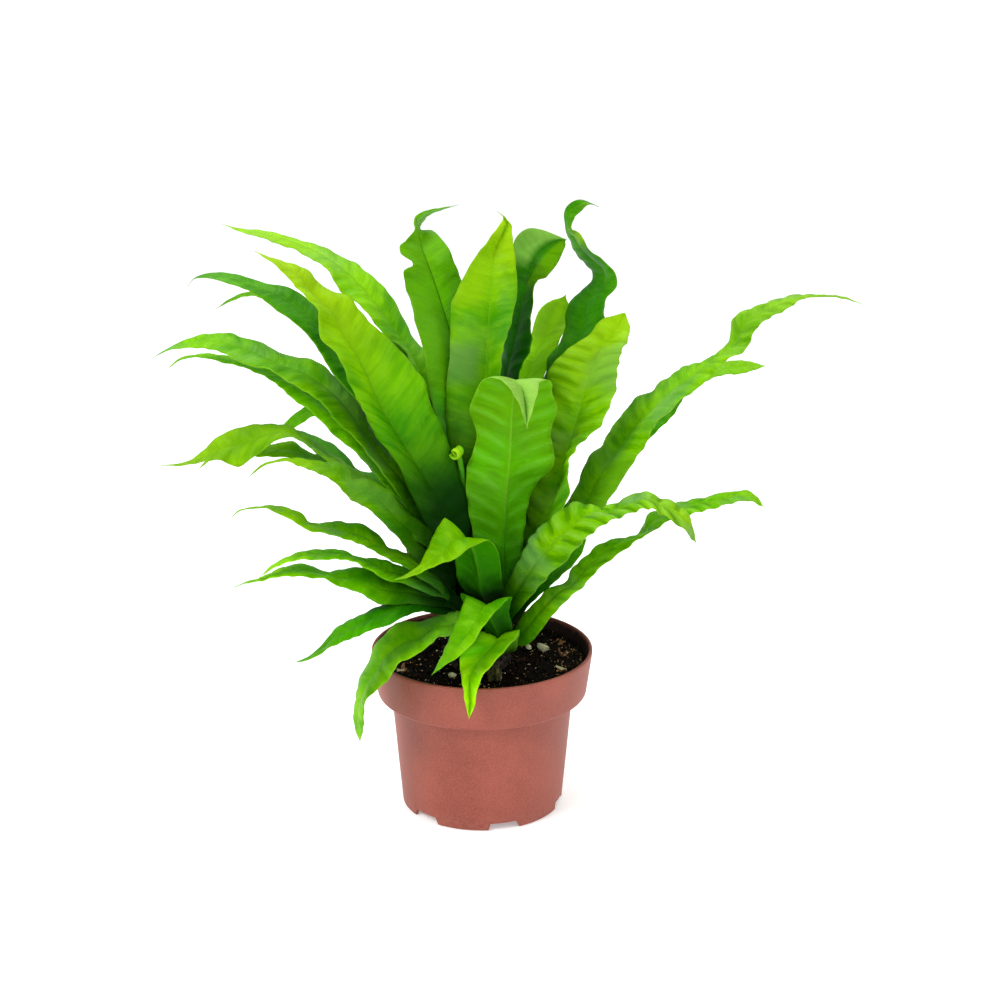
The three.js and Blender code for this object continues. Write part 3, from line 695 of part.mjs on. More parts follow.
// Keeps the largest piece of a cut solid, as free of slivers as it comes: [piece, its thinnest triangle], or null where it stays pinched.
function largest(s, neighbours = []) {
  let best = null;
  for (const tol of CUT_TOLERANCES) {
    const parts = s.setTolerance(tol).decompose();
    parts.sort((p, q) => q.volume() - p.volume());
    try {
      const clean = solidFrom(geometryOf(parts[0]), 6e-3);
      if (Math.abs(clean.volume() - parts[0].volume()) < 1e-3 * parts[0].volume() && clean.decompose().length === 1
        && neighbours.every((o) => o.intersect(clean).volume() < 1e-4)) {
        const t = thinnest(clean);
        if (!best || t > best[1]) best = [clean, t];
        if (t > SLIVER) return best;
      }
    } catch (e) { /* pinched: try a coarser tolerance */ }
  }
  return best;
}

function geometryOf(s) {
  const m = s.getMesh();
  const g = new THREE.BufferGeometry();
  const p = new Float32Array(m.numVert * 3);
  for (let i = 0; i < m.numVert; i++) for (let k = 0; k < 3; k++) p[3 * i + k] = m.vertProperties[i * m.numProp + k];
  g.setAttribute('position', new THREE.BufferAttribute(p, 3));
  g.setIndex(new THREE.BufferAttribute(Uint32Array.from(m.triVerts), 1));
  g.computeVertexNormals();
  return g;
}

const group = new THREE.Group();
group.name = 'potted_fern';
const mats = {};
for (const [slot, [hex, rough]] of Object.entries(COLOURS)) {
  mats[slot] = new THREE.MeshStandardMaterial({ name: slot, color: hex, roughness: rough, metalness: 0, side: THREE.FrontSide });
}
function put(name, slot, solid) {
  const mesh = new THREE.Mesh(geometryOf(solid), mats[slot]);
  mesh.name = name;
  group.add(mesh);
}

// Repeatable small irregularities.
function noise(seed) {
  let s = seed >>> 0;
  return () => {
    s = (s + 0x6d2b79f5) >>> 0;
    let t = Math.imul(s ^ (s >>> 15), 1 | s);
    t = (t + Math.imul(t ^ (t >>> 7), 61 | t)) ^ t;
    return ((t ^ (t >>> 14)) >>> 0) / 4294967296;
  };
}

// ---- pot ----
function turned(profile, segments) {
  return solidFrom(new THREE.LatheGeometry(profile.map(([r, z]) => new THREE.Vector2(r, z)), segments).rotateX(Math.PI / 2));
}
const bodyR = (z) => BODY_FOOT_R + ((BODY_TOP_R - BODY_FOOT_R) * z) / BAND_Z;
const floorTop = FLOOR_Z + FLOOR_T;
const potProfile = [
  [0, 0], [HUB_R, 0], [HUB_R + 3.6, FLOOR_Z], [BODY_FOOT_R - 2.2, FLOOR_Z], [BODY_FOOT_R - 1.8, 0], [BODY_FOOT_R, 0],
  [BODY_TOP_R, BAND_Z - 0.5], [BODY_TOP_R + 0.8, BAND_Z], [BAND_R - 0.7, BAND_Z], [BAND_R, BAND_Z + 0.7],
  [RIM_R, POT_HEIGHT - 2.4], [RIM_R, POT_HEIGHT - 0.6], [RIM_R - 0.6, POT_HEIGHT], [RIM_R - 1.4, POT_HEIGHT], [RIM_R - 1.9, POT_HEIGHT - 0.6],
  [BAND_R - 1.6, BAND_Z + WALL + 0.6], [BAND_R - 2.4, BAND_Z + WALL], [BODY_TOP_R - 0.6, BAND_Z + WALL], [BODY_TOP_R - WALL, BAND_Z + 0.4],
  [BODY_FOOT_R - WALL, floorTop + 1], [BODY_FOOT_R - WALL - 1, floorTop], [HUB_R + 4.6, floorTop], [HUB_R + 1.2, FLOOR_T], [0, FLOOR_T],
];
let pot = turned(potProfile, 60);
for (let i = 0; i < NOTCHES; i++) {
  const turn = ((-90 + NOTCH_FIRST + (i * 360) / NOTCHES) * Math.PI) / 180;
  const notch = new THREE.BoxGeometry(12, NOTCH_W, NOTCH_H + 2).translate(BODY_FOOT_R, 0, NOTCH_H / 2 - 1).rotateZ(turn);
  const drain = new THREE.BoxGeometry(8, 7, 6).translate(BODY_FOOT_R - 9, 0, FLOOR_Z + 1).rotateZ(turn);
  pot = pot.subtract(solidFrom(notch)).subtract(solidFrom(drain));
}
put('pot', 'pot_plastic', pot);

// ---- growing medium: fills the pot with a small clearance, lumpy on top outside the crown ----
const g = SOIL_CLEAR;
const rimInner = (z) => BAND_R - 1.6 + ((RIM_R - BAND_R - 0.3) * (z - BAND_Z - WALL - 0.6)) / (POT_HEIGHT - 1.2 - BAND_Z - WALL);
{
  const profile = [
    [0, floorTop + g], [BODY_FOOT_R - WALL - 1.3, floorTop + g], [BODY_FOOT_R - WALL - g, floorTop + 1.3],
    [BODY_TOP_R - WALL - g - 0.1, BAND_Z + 0.4], [BODY_TOP_R - 1.0, BAND_Z + WALL + g], [BAND_R - 2.9, BAND_Z + WALL + g], [BAND_R - 2.1, BAND_Z + WALL + 1.2],
    [rimInner(SOIL_Z - 1) - g - 0.2, SOIL_Z - 1], [53.5, SOIL_Z], [46.5, SOIL_Z], [39.5, SOIL_Z], [33, SOIL_Z], [25, SOIL_Z], [0, SOIL_Z],
  ];
  const soil = new THREE.LatheGeometry(profile.map(([r, z]) => new THREE.Vector2(r, z)), 48).rotateX(Math.PI / 2);
  // crumbs: the level dips at random outside the crown; the seam's two copies of a point move together
  const p = soil.attributes.position, rnd = noise(11), dips = new Map();
  for (let i = 0; i < p.count; i++) {
    const r = Math.hypot(p.getX(i), p.getY(i));
    if (p.getZ(i) < SOIL_Z - 0.01 || r < 30) continue;
    const key = `${Math.round(100 * p.getX(i))} ${Math.round(100 * p.getY(i))}`;
    if (!dips.has(key)) dips.set(key, -1.7 * rnd());
    p.setZ(i, p.getZ(i) + dips.get(key));
  }
  put('soil', 'soil', solidFrom(soil));
}

// ---- crown: the short upright rhizome that every frond grows from ----
function mound(c, segs, levels, rough, seed, grow) {
  const profile = [new THREE.Vector2(0, 0)];
  for (let k = 0; k < levels; k++) profile.push(new THREE.Vector2(Math.pow(1 - Math.pow(k / levels, 1.7), 0.62), k / levels));
  profile.push(new THREE.Vector2(0, 1));
  const s = new THREE.LatheGeometry(profile, segs).rotateX(Math.PI / 2);
  const p = s.attributes.position, rnd = noise(seed), swell = new Map();
  for (let i = 0; i < p.count; i++) {
    const x = p.getX(i), y = p.getY(i), z = p.getZ(i), r = Math.hypot(x, y);
    const key = `${Math.round(1e3 * x)} ${Math.round(1e3 * y)} ${Math.round(1e3 * z)}`;
    if (!swell.has(key)) swell.set(key, 1 + rough * (rnd() - 0.5));
    const w = swell.get(key), out = r > 1e-6 ? grow / r : 0;
    p.setXYZ(i, c.x + c.rx * x * w + out * x, c.y + c.ry * y * w + out * y, c.z0 - (z === 0 ? grow : 0) + (c.z1 + grow - c.z0) * z);
  }
  return solidFrom(s);
}
put('crown', 'crown', mound(CROWN, 22, 6, 0.14, 5, 0));
const crownClear = mound(CROWN, 22, 6, 0.14, 5, LEAF_GAP);

// ---- loose pieces on the growing medium: [x, y, length, width, height, turn in degrees, slot] ----
const LOOSE = {
  bark_1: [44.4, 24.6, 9, 5, 3.2, 30, 'bark'],
  bark_2: [42, -16.5, 8, 4.5, 2.8, -25, 'bark'],
  bark_3: [-42.3, -16.5, 7.5, 5, 3, 70, 'bark'],
  bark_4: [44, 6, 6.5, 4, 2.6, 100, 'bark'],
  chip_1: [33.2, 9.5, 10.5, 4.2, 3.6, 122, 'chip'],
  chip_2: [25.2, 11.8, 5.2, 3.6, 3.4, 80, 'chip'],
  chip_3: [-15.4, -29, 4.6, 3.2, 2.6, 20, 'chip'],
};
{
  let seed = 21;
  for (const [name, [x, y, l, w, h, deg, slot]] of Object.entries(LOOSE)) {
    const bit = new THREE.CylinderGeometry(0.36, 0.42, 1, 7, 2).rotateX(Math.PI / 2).translate(0, 0, 0.5);
    const p = bit.attributes.position, rnd = noise(seed++), jitter = new Map();
    for (let i = 0; i < p.count; i++) {
      const key = `${Math.round(1e3 * p.getX(i))} ${Math.round(1e3 * p.getY(i))} ${Math.round(1e3 * p.getZ(i))}`;
      if (!jitter.has(key)) jitter.set(key, [0.85 + 0.35 * rnd(), 0.35 * rnd()]);
      const [q, drop] = jitter.get(key), z = p.getZ(i), belly = z > 0.4 && z < 0.6 ? 1.2 : 1;
      p.setXYZ(i, l * p.getX(i) * q * belly, w * p.getY(i) * q * belly, h * (z > 0.9 ? z - drop : z));
    }
    bit.rotateZ((deg * Math.PI) / 180).translate(x, y, SOIL_Z + 0.3);
    put(name, slot, solidFrom(bit));
  }
}

// ---- old leaf stub standing in front of the crown ----
const stub = mound({ x: 7, y: -30, rx: 4.2, ry: 5.2, z0: SOIL_Z + 0.3, z1: SOIL_Z + 9 }, 9, 5, 0.35, 8, 0);
const stubClear = mound({ x: 7, y: -30, rx: 4.2, ry: 5.2, z0: SOIL_Z + 0.3, z1: SOIL_Z + 9 }, 9, 5, 0.35, 8, LEAF_GAP);
put('leaf_stub', 'stub', stub);

// ---- young frond: a slim stalk in the centre, its tip still rolled up ----
const STALK = [[-1.4, -0.5, 103], [-1.4, -4.6, 119], [-1.2, -7.6, 137], [-3.4, -7.5, 151], [-6.2, -6.4, 164], [-8.8, -6, 178], [-10.4, -7.6, 190], [-11.3, -8.9, 197.5]];
const ROLL = { centre: [-10.8, -10.8, 202.8], axis: unit([-0.66, -0.59, -0.46]), r: [1.8, 2.7], pitch: 3.2, turns: 1.6, steps: 13 };
function youngFrond(radius, grow) {
  const u = unit([ROLL.axis[1], -ROLL.axis[0], 0]), v = cross(u, ROLL.axis), points = [...STALK];
  for (let k = 0; k <= ROLL.steps; k++) {
    const t = k / ROLL.steps, turn = 2 * Math.PI * ROLL.turns * t, r = ROLL.r[0] + (ROLL.r[1] - ROLL.r[0]) * t;
    const c = add(ROLL.centre, mul(ROLL.axis, ROLL.pitch * ROLL.turns * t));
    points.push(add(c, add(mul(u, r * Math.cos(turn)), mul(v, r * Math.sin(turn)))));
  }
  const section = new THREE.Shape();
  section.absellipse(0, 0, radius + grow, radius + grow, 0, 2 * Math.PI, false, 0);
  return solidFrom(new THREE.ExtrudeGeometry(section, { steps: 40, curveSegments: 3, bevelEnabled: false, extrudePath: curveOf(points) }));
}
const young = youngFrond(1.25, 0), youngClear = youngFrond(1.25, LEAF_GAP);

// ---- fronds: each one gives way to those in front of it, to the crown, to the loose pieces and to the pot ----
const potClear = turned([[RIM_R - 8, POT_HEIGHT - 14], [RIM_R + 1, POT_HEIGHT - 14], [RIM_R + LEAF_GAP, POT_HEIGHT - 3], [RIM_R + LEAF_GAP, POT_HEIGHT + LEAF_GAP], [RIM_R - 1.9 - LEAF_GAP, POT_HEIGHT + LEAF_GAP], [RIM_R - 2.6 - LEAF_GAP, POT_HEIGHT - 8], [RIM_R - 8, POT_HEIGHT - 14]], 60);
const front = [];
for (const [name, [slot, rows]] of Object.entries(FRONDS)) {
  const blade = strap(rows, LEAF_T, 0);
  let best = null;
  for (const halves of [false, true]) {
    for (let more = 0; more < 1.2 && !(best && best[1] > SLIVER); more += 0.11) {
      let s = blade;
      for (const o of [crownClear, potClear, stubClear, youngClear]) s = s.subtract(o);
      for (const other of front) {
        if (s.intersect(other.clear).volume() > 1e-7) s = s.subtract(strap(other.rows, LEAF_T + 2 * (LEAF_GAP + more), LEAF_GAP + more, halves));
      }
      const found = largest(s, front.map((o) => o.piece));
      if (found && (!best || found[1] > best[1])) best = found;
    }
    if (best) break;
  }
  const piece = best[0];
  put(name, slot, piece);
  front.push({ rows, piece, clear: strap(rows, LEAF_T + 2 * LEAF_GAP, LEAF_GAP) });
}
put('young_frond', 'frond_young', largest(young.subtract(crownClear))[0]);

export default group;
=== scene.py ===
# Potted bird's nest fern: the looks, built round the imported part. Metres, +Z up; the fern is seen from -Y.
import math

import bpy
import numpy as np
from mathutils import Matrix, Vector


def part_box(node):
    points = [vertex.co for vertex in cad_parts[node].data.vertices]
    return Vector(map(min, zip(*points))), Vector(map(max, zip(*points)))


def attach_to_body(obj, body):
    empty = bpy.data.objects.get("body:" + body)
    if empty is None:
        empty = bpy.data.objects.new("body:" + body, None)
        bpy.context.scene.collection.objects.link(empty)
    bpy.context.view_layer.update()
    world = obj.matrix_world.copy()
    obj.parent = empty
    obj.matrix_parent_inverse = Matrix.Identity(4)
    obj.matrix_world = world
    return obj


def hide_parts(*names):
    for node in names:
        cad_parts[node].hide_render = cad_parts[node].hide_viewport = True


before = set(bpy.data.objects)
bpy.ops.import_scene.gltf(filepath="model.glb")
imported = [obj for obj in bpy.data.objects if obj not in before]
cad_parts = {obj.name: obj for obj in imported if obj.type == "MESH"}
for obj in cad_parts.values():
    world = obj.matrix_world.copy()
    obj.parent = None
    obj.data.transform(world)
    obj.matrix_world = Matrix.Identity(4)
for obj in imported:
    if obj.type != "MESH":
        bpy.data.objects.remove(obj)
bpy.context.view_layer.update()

MM = 0.001

# Frond stations in millimetres, base first: the midrib, the left margin and the right margin, seen from the upper face with the tip up.
FRONDS = {
    "frond_01": ("bright", [
        [-1.7, -19.1, 98.5, -1.4, -20.4, 97.2, -1.9, -17.4, 98.8],
        [8.8, -36.1, 107.4, 15, -34.4, 110.6, 2.2, -34.6, 110],
        [5.1, -41.4, 119.5, 14.7, -39.6, 123.3, -4.8, -39.7, 122.3],
        [3.6, -48.2, 129.7, 16, -47.4, 134.9, -10.2, -45.7, 134.6],
        [0.6, -54.9, 130.6, 9.8, -60.6, 133.8, -8.1, -49.6, 134.6],
        [-1.9, -60.8, 127.9, 5.8, -69.8, 130.8, -9.6, -53.2, 128.9],
        [-6.9, -65.2, 120.9, -0.2, -75.5, 124.4, -13.2, -56.1, 120.2],
        [-12.9, -69, 114.8, -8.7, -77.5, 117.1, -16.7, -61, 114.4],
        [-18.5, -72.2, 109.1, -16.8, -77.9, 110.3, -20.1, -67, 109.1],
        [-24.6, -73.7, 102.1, -24.5, -74.2, 102.3, -24.6, -73.3, 101.9]]),
    "frond_02": ("bright", [
        [2.2, -15.8, 93, 3.3, -15.3, 94.3, 1, -17.1, 92.5],
        [8.2, -20, 89.7, 16.8, -17.9, 92.3, -0.6, -19.5, 93.7],
        [9.8, -27.2, 99.4, 19.3, -24.8, 103, -0.3, -24.8, 103],
        [8.8, -34.5, 107.4, 19.8, -34.1, 111.7, -0.7, -31, 108.8],
        [5.6, -41.9, 105.2, 17.6, -43.6, 110.3, -4.8, -37.8, 105.3],
        [1, -49, 102.5, 12.4, -54.7, 108.6, -10.4, -46.3, 102.5],
        [-3.1, -55.9, 99.2, 6.2, -63.2, 105.5, -11, -59.3, 100],
        [-5.6, -61.5, 94.8, 0.2, -69.4, 100.3, -9.8, -69.6, 96.5],
        [-5.8, -64.2, 87.1, -2.4, -70.3, 91.3, -8.2, -70.8, 89.9],
        [-5.8, -64.9, 80.2, -3.7, -68.9, 81.9, -7.3, -68.8, 81.9],
        [-6.1, -64.8, 74, -6.1, -65.2, 74.2, -6.1, -65.2, 74.2]]),
    "frond_03": ("bright", [
        [-8.8, -20.2, 94.7, -7.2, -21.6, 95.1, -9.2, -18, 94.3],
        [-9, -37.5, 116, -7.8, -43.3, 113, -10.1, -31.7, 119.1],
        [-16.1, -42.9, 116.7, -14.9, -50.6, 115.3, -18.4, -35.7, 121.2],
        [-24.3, -47.5, 116.8, -21.9, -57.3, 116.8, -26.6, -38.4, 119.4],
        [-31.4, -49.9, 112.8, -25.4, -61.6, 113, -35.5, -39, 116.9],
        [-40.6, -53.2, 110.8, -32.8, -67.2, 109.2, -43.8, -39.4, 117.1],
        [-48.3, -54.8, 104.8, -40.9, -69.6, 106.4, -52.3, -39.6, 107.7],
        [-53.1, -53.9, 97.2, -46.1, -68.8, 99.5, -57.8, -38.9, 96.2],
        [-58.5, -53.4, 88.7, -53.3, -68.9, 91.9, -63.2, -38.6, 85.9],
        [-63, -52.2, 77.5, -58.7, -64.1, 81, -67, -41.1, 74.5],
        [-64.5, -49.3, 67.2, -61, -57.6, 69.2, -67.4, -41.6, 65],
        [-64.3, -45.8, 57.7, -62.5, -49.9, 58.9, -66, -41.6, 56.4],
        [-64.2, -42.7, 51.1, -64.2, -43.1, 51.3, -64.3, -42.4, 51]]),
    "frond_04": ("bright", [
        [-0.5, -13.4, 100.3, 1.3, -13.9, 100, -1.8, -11.8, 100.4],
        [2.4, -21.3, 118.6, 10.8, -19.9, 121.7, -5.8, -19.7, 121.9],
        [-0.7, -24.6, 129.9, 11.1, -22.6, 134.8, -12.8, -22.6, 134.1],
        [-1.7, -28.6, 141.4, 10.3, -26.9, 146.8, -13.7, -26.1, 146.6],
        [-3.6, -34.4, 153.8, 7.7, -36.2, 158.8, -13.6, -27.3, 155.8],
        [-7.6, -40.2, 162.8, 3.7, -47.4, 165.7, -17.5, -31.4, 170.2],
        [-14.6, -47.1, 164.6, -5.3, -57.2, 165.8, -22, -37.3, 168.9],
        [-19.6, -53.3, 160.2, -12.7, -64.3, 160.2, -26, -43.3, 161.7],
        [-28, -58.6, 155.1, -24.2, -67.3, 156.5, -31.4, -50.2, 154.3],
        [-35.9, -63.2, 151.8, -34.7, -68.8, 152.8, -37.2, -57.6, 150.7],
        [-44.8, -67, 150, -44.8, -67.4, 150.2, -44.8, -66.5, 149.9]]),
    "frond_05": ("mid", [
        [-12.8, -16.7, 91.7, -10.9, -17.3, 91.5, -14.1, -15.1, 91.7],
        [-11.7, -22.1, 106.1, -6.7, -23.6, 105.8, -14.9, -17.9, 106.1],
        [-10.7, -26.5, 119.4, -13.2, -31.9, 118.1, -8.2, -20.1, 120.5],
        [-19.4, -35.2, 124.9, -22.3, -42.5, 123.2, -16.4, -27.5, 126.5],
        [-28.4, -44.4, 129.7, -31.1, -54.2, 128.2, -25.6, -34.7, 131.4],
        [-37.5, -53, 132.1, -39.2, -65.5, 129.7, -35.6, -41.3, 134.9],
        [-46.5, -60.4, 130.8, -47.3, -73.7, 128, -45.6, -48, 134],
        [-56, -67.5, 129.2, -55.8, -81.5, 128.3, -56.1, -54.2, 130.6],
        [-65.3, -74.2, 127.5, -64.3, -87.1, 127.6, -66.2, -62, 127.8],
        [-72.8, -79.2, 124.4, -71.6, -90.4, 124.4, -73.9, -68.6, 124.7],
        [-78.5, -82.8, 119.7, -77, -91.3, 121.3, -80.1, -74.8, 118.2],
        [-85.8, -88.1, 116.8, -84.8, -92.9, 118.2, -86.8, -83.6, 115.6],
        [-92.3, -92.8, 116.3, -92.2, -93.3, 116.5, -92.3, -92.4, 116.2]]),
    "frond_06": ("mid", [
        [-15.2, -16.7, 91.2, -13.6, -17.8, 91.1, -15.8, -14.9, 91.2],
        [-14.1, -25, 108.6, -10.2, -27.7, 108.4, -15.6, -20.5, 108.6],
        [-13.2, -31.9, 124.2, -15.2, -37.4, 123.5, -11.2, -26.1, 124.9],
        [-22.6, -37.6, 129.4, -25.3, -44.7, 127.9, -20, -30.6, 131],
        [-33.5, -43.6, 134.6, -35.2, -52.7, 132.5, -31.8, -34.6, 136.9],
        [-42, -47.2, 137, -43.1, -57.5, 134.3, -41, -36.9, 139.9],
        [-50.5, -50.4, 139.4, -50.8, -62.7, 137.3, -50.2, -38.1, 141.7],
        [-57.9, -52.7, 144.8, -57.5, -65.8, 143.5, -58.2, -39.5, 146.3],
        [-65.8, -55.4, 147, -65.3, -68.6, 146.1, -66.2, -42.2, 148.1],
        [-72.2, -57.1, 148.1, -71.2, -70.2, 147.8, -73.3, -44, 148.7],
        [-78.6, -58.9, 150.2, -76.9, -71.5, 152.5, -80.3, -46.2, 148.1],
        [-85.4, -61, 152.6, -83.7, -73, 154.3, -87.1, -49, 150.9],
        [-92.6, -63.5, 154.1, -91.4, -74.8, 155.7, -93.8, -52.9, 152.8],
        [-101, -67.2, 154.3, -99.7, -76.3, 156.3, -102.3, -58.5, 152.7],
        [-109.1, -71.1, 152.6, -108, -77.9, 154.7, -110.2, -64.7, 150.6],
        [-116.3, -75, 152.1, -115.7, -79.4, 153.4, -116.9, -71, 150.9],
        [-124.2, -80, 150, -124.1, -80.5, 150.2, -124.2, -79.6, 149.8]]),
    "frond_07": ("mid", [
        [-16.6, -13.6, 90.9, -15.4, -14.8, 90.8, -16.9, -11.9, 90.8],
        [-15.9, -21.2, 109.4, -12.6, -24.4, 109.4, -16.7, -16.6, 109.3],
        [-15.4, -28.3, 127.4, -17.3, -34.2, 126.8, -13.4, -21.8, 127.8],
        [-24.1, -32.8, 134.6, -26.4, -40.1, 133.4, -21.7, -25, 135.7],
        [-32.7, -36.4, 140.3, -35.4, -45.2, 139.6, -29.9, -27.7, 141],
        [-40, -39, 143.4, -42.4, -48.9, 143.1, -37.6, -29.1, 143.8],
        [-47.1, -41.5, 145.8, -48.2, -53.2, 145.7, -45.9, -30.5, 146.2],
        [-54.2, -44.4, 150.2, -55, -56.3, 151.6, -53.4, -33.2, 149],
        [-62.6, -48.3, 154.8, -62.7, -59.9, 157.7, -62.4, -37.4, 152.1],
        [-71.5, -52.9, 159.4, -71.3, -64.8, 161.2, -71.8, -41.1, 157.7],
        [-80.4, -57.9, 161, -79.9, -68.4, 161.9, -80.9, -47.4, 160.1],
        [-89.4, -63.4, 161.9, -88.5, -71.8, 162.8, -90.3, -54.9, 161],
        [-96.9, -68.3, 161.6, -95.6, -75.1, 162.9, -98.1, -61.9, 160.5],
        [-103.2, -72.7, 159.7, -101.9, -77, 160.7, -104.4, -68.7, 158.8],
        [-110, -77.2, 154.7, -110, -77.6, 154.9, -110.1, -76.7, 154.6]]),
    "frond_08": ("mid", [
        [-16.6, -10.8, 92.6, -15.1, -11.9, 92.6, -17.1, -9.1, 92.8],
        [-18, -20.4, 113.7, -14, -23.3, 113.4, -19.5, -15.7, 114.5],
        [-18.9, -30.6, 133.8, -21.3, -36.6, 133.2, -16.4, -24.4, 134.3],
        [-28.2, -36.6, 143.3, -30.8, -44.2, 143, -25.6, -29.1, 143.7],
        [-36.5, -41, 151.2, -39.1, -49.9, 151, -33.8, -32.1, 151.4],
        [-43.4, -44.1, 155.2, -44.9, -54.7, 155.9, -41.9, -33.5, 154.6],
        [-49.6, -46.7, 159, -50.7, -57.9, 161.2, -48.5, -35.4, 156.9],
        [-55.9, -49.5, 165.3, -57.4, -61.6, 165.7, -54.4, -37.3, 165.1],
        [-63.9, -53.7, 170.7, -65, -65.9, 170.5, -62.7, -41.4, 171],
        [-72.7, -58.6, 174.2, -72.9, -70.9, 174.3, -72.4, -46.4, 174.2],
        [-79.3, -62.2, 176.7, -78.9, -74.2, 178.5, -79.7, -50.2, 174.9],
        [-85.4, -65.5, 178.8, -85, -76.5, 181.3, -85.8, -54.6, 176.3],
        [-89.5, -67.6, 183.6, -89.2, -77.7, 184.8, -89.8, -57.5, 182.5],
        [-95.5, -71.1, 187.6, -95.2, -79.8, 189.1, -95.7, -62.3, 186.1],
        [-102.5, -75.4, 191.2, -102, -83, 192.6, -102.9, -68.3, 189.8],
        [-111, -81, 192.6, -110.3, -86.2, 193.9, -111.7, -76.1, 191.5],
        [-116.7, -84.5, 192.3, -116, -87.7, 193.1, -117.4, -81.4, 191.6],
        [-121.5, -87.6, 188.7, -121.4, -88.1, 188.9, -121.6, -87.2, 188.6]]),
    "frond_09": ("mid", [
        [9.2, -10, 100.9, 7.9, -7.5, 101.3, 8.9, -12.8, 100.9],
        [12.5, -17, 114.8, 8.2, -12.2, 115.8, 16.7, -22.2, 113.9],
        [19.3, -20.6, 128, 12.5, -14.2, 128.4, 26.1, -27.6, 127.7],
        [27.9, -25.1, 142.9, 20.4, -14.8, 144.3, 35.2, -36.2, 141.8],
        [36, -29.1, 155.8, 27.7, -16, 159.2, 44.1, -43.2, 153],
        [44.9, -33.5, 166.5, 37, -17.3, 167.9, 52.4, -50.8, 165.8],
        [54.5, -38.4, 176.2, 48.3, -21, 177.2, 60.5, -57, 175.8],
        [64.7, -43.6, 178.7, 60.5, -26.4, 175.7, 68.6, -62.1, 182.1],
        [74.9, -48.9, 184.3, 71.5, -30.9, 181.4, 78.1, -66.9, 187.3],
        [83.1, -52.9, 188.3, 81.2, -37, 188.3, 84.8, -69.8, 188.7],
        [91.4, -57, 185.8, 91, -43, 186.7, 91.7, -71, 185],
        [99.1, -60.8, 182.5, 99.1, -49.6, 185.1, 99.2, -71.9, 180.1],
        [104.3, -63, 177.5, 105.2, -55.4, 180, 103.4, -70.6, 175],
        [108, -64.4, 168.2, 108, -64, 168.1, 107.9, -64.9, 168.4]]),
    "frond_10": ("mid", [
        [15, -10.2, 93.9, 14.2, -8.4, 94.4, 15, -12.2, 94.3],
        [22.6, -15.8, 102.9, 19.9, -12.8, 108.5, 25.3, -19, 97.4],
        [32.9, -19.2, 117.3, 29, -14.2, 120, 36.7, -24.8, 114.8],
        [40.9, -21.8, 127.2, 35.8, -15.2, 128.2, 45.9, -29.3, 126.6],
        [48.2, -23.9, 132.2, 43.2, -16.1, 130.8, 53, -32.7, 134],
        [54, -25.1, 141, 48.4, -15.7, 139.1, 59.5, -35.2, 143.1],
        [61.2, -26.2, 148.2, 54.6, -16.1, 144.8, 67.6, -37, 152],
        [70.4, -27.4, 156.1, 64.1, -15.5, 152.4, 76.5, -40.2, 160.1],
        [77.8, -27.9, 159.4, 74.1, -14.4, 154.5, 81.4, -41.4, 164.3],
        [83.8, -28, 161.2, 82, -14.3, 155.9, 85.5, -41.7, 166.5],
        [90, -28.2, 169.4, 87.5, -13.9, 166.8, 92.3, -43.4, 172.4],
        [96.6, -28.6, 173.5, 93.7, -14.3, 170.8, 99.3, -43.7, 176.6],
        [106.2, -29.7, 177, 103.9, -16.6, 175.3, 108.4, -43.6, 178.9],
        [116.8, -31.1, 180.1, 115.9, -20, 179.9, 117.6, -42.9, 180.6],
        [128.3, -32.8, 183.6, 127.8, -24, 183.8, 128.8, -41.5, 183.3],
        [136.9, -33.7, 184.7, 136.6, -27.6, 185.8, 137.1, -40.2, 183.7],
        [142.3, -34.1, 181.6, 142.5, -30.4, 182.6, 142.2, -37.8, 180.6],
        [145.8, -34, 177.5, 145.9, -33.6, 177.4, 145.8, -34.5, 177.7]]),
    "frond_11": ("dark", [
        [10.8, -6.5, 96.7, 10.8, -5.5, 96.7, 10.2, -7.4, 97],
        [16.8, -3.2, 107.9, 14.1, -0.1, 108.4, 19.5, -6.3, 107.3],
        [28, -6.4, 120.8, 26, -0.6, 120.1, 30.1, -12.1, 121.5],
        [38.3, -8.8, 132.7, 36.1, -1.6, 132.5, 40.5, -15.9, 133],
        [45.7, -10, 140.8, 43.5, -4.2, 141.8, 47.9, -15.9, 139.7],
        [51.6, -11.1, 148.4, 50.2, -7.7, 149.2, 53.1, -14.5, 147.6],
        [55.8, -11.9, 154.5, 55.8, -11.4, 154.3, 55.7, -12.3, 154.7]]),
    "frond_12": ("mid", [
        [-15.3, -12, 94.9, -13.6, -13.4, 94.9, -15.8, -9.9, 95],
        [-15.5, -19.9, 116.8, -10.9, -23.8, 116.6, -17, -14, 117.2],
        [-15.6, -25.6, 137.2, -18.8, -33.1, 136.9, -12.4, -17.6, 137.5],
        [-24.8, -29, 149.8, -28.9, -38.6, 148.2, -20.7, -18.8, 151.3],
        [-31.6, -31.7, 159.2, -37.3, -43, 156.7, -25.8, -20.6, 161.8],
        [-39.5, -36.5, 169.2, -44.4, -49.4, 169.1, -34.4, -23.7, 169.4],
        [-46, -41.6, 178, -50.5, -55.9, 179.1, -41.4, -27.4, 177.1],
        [-52.3, -47.3, 187, -56.9, -61.7, 186.7, -47.6, -33, 187.4],
        [-60, -53.9, 194.8, -62.7, -68.6, 194, -57.2, -39.2, 195.6],
        [-66.3, -58.9, 199.1, -67.6, -73.4, 201.2, -65, -44.3, 197.2],
        [-72.7, -63.1, 206.6, -75.4, -76.7, 207.7, -69.9, -49.5, 205.5],
        [-81, -67.8, 211.1, -83.3, -79.3, 212.8, -78.7, -56.2, 209.5],
        [-89.8, -72.3, 214.2, -90.7, -81.9, 215.6, -88.9, -62.8, 212.9],
        [-98.3, -76.8, 215.2, -98.6, -84.5, 216.6, -97.9, -69.5, 214],
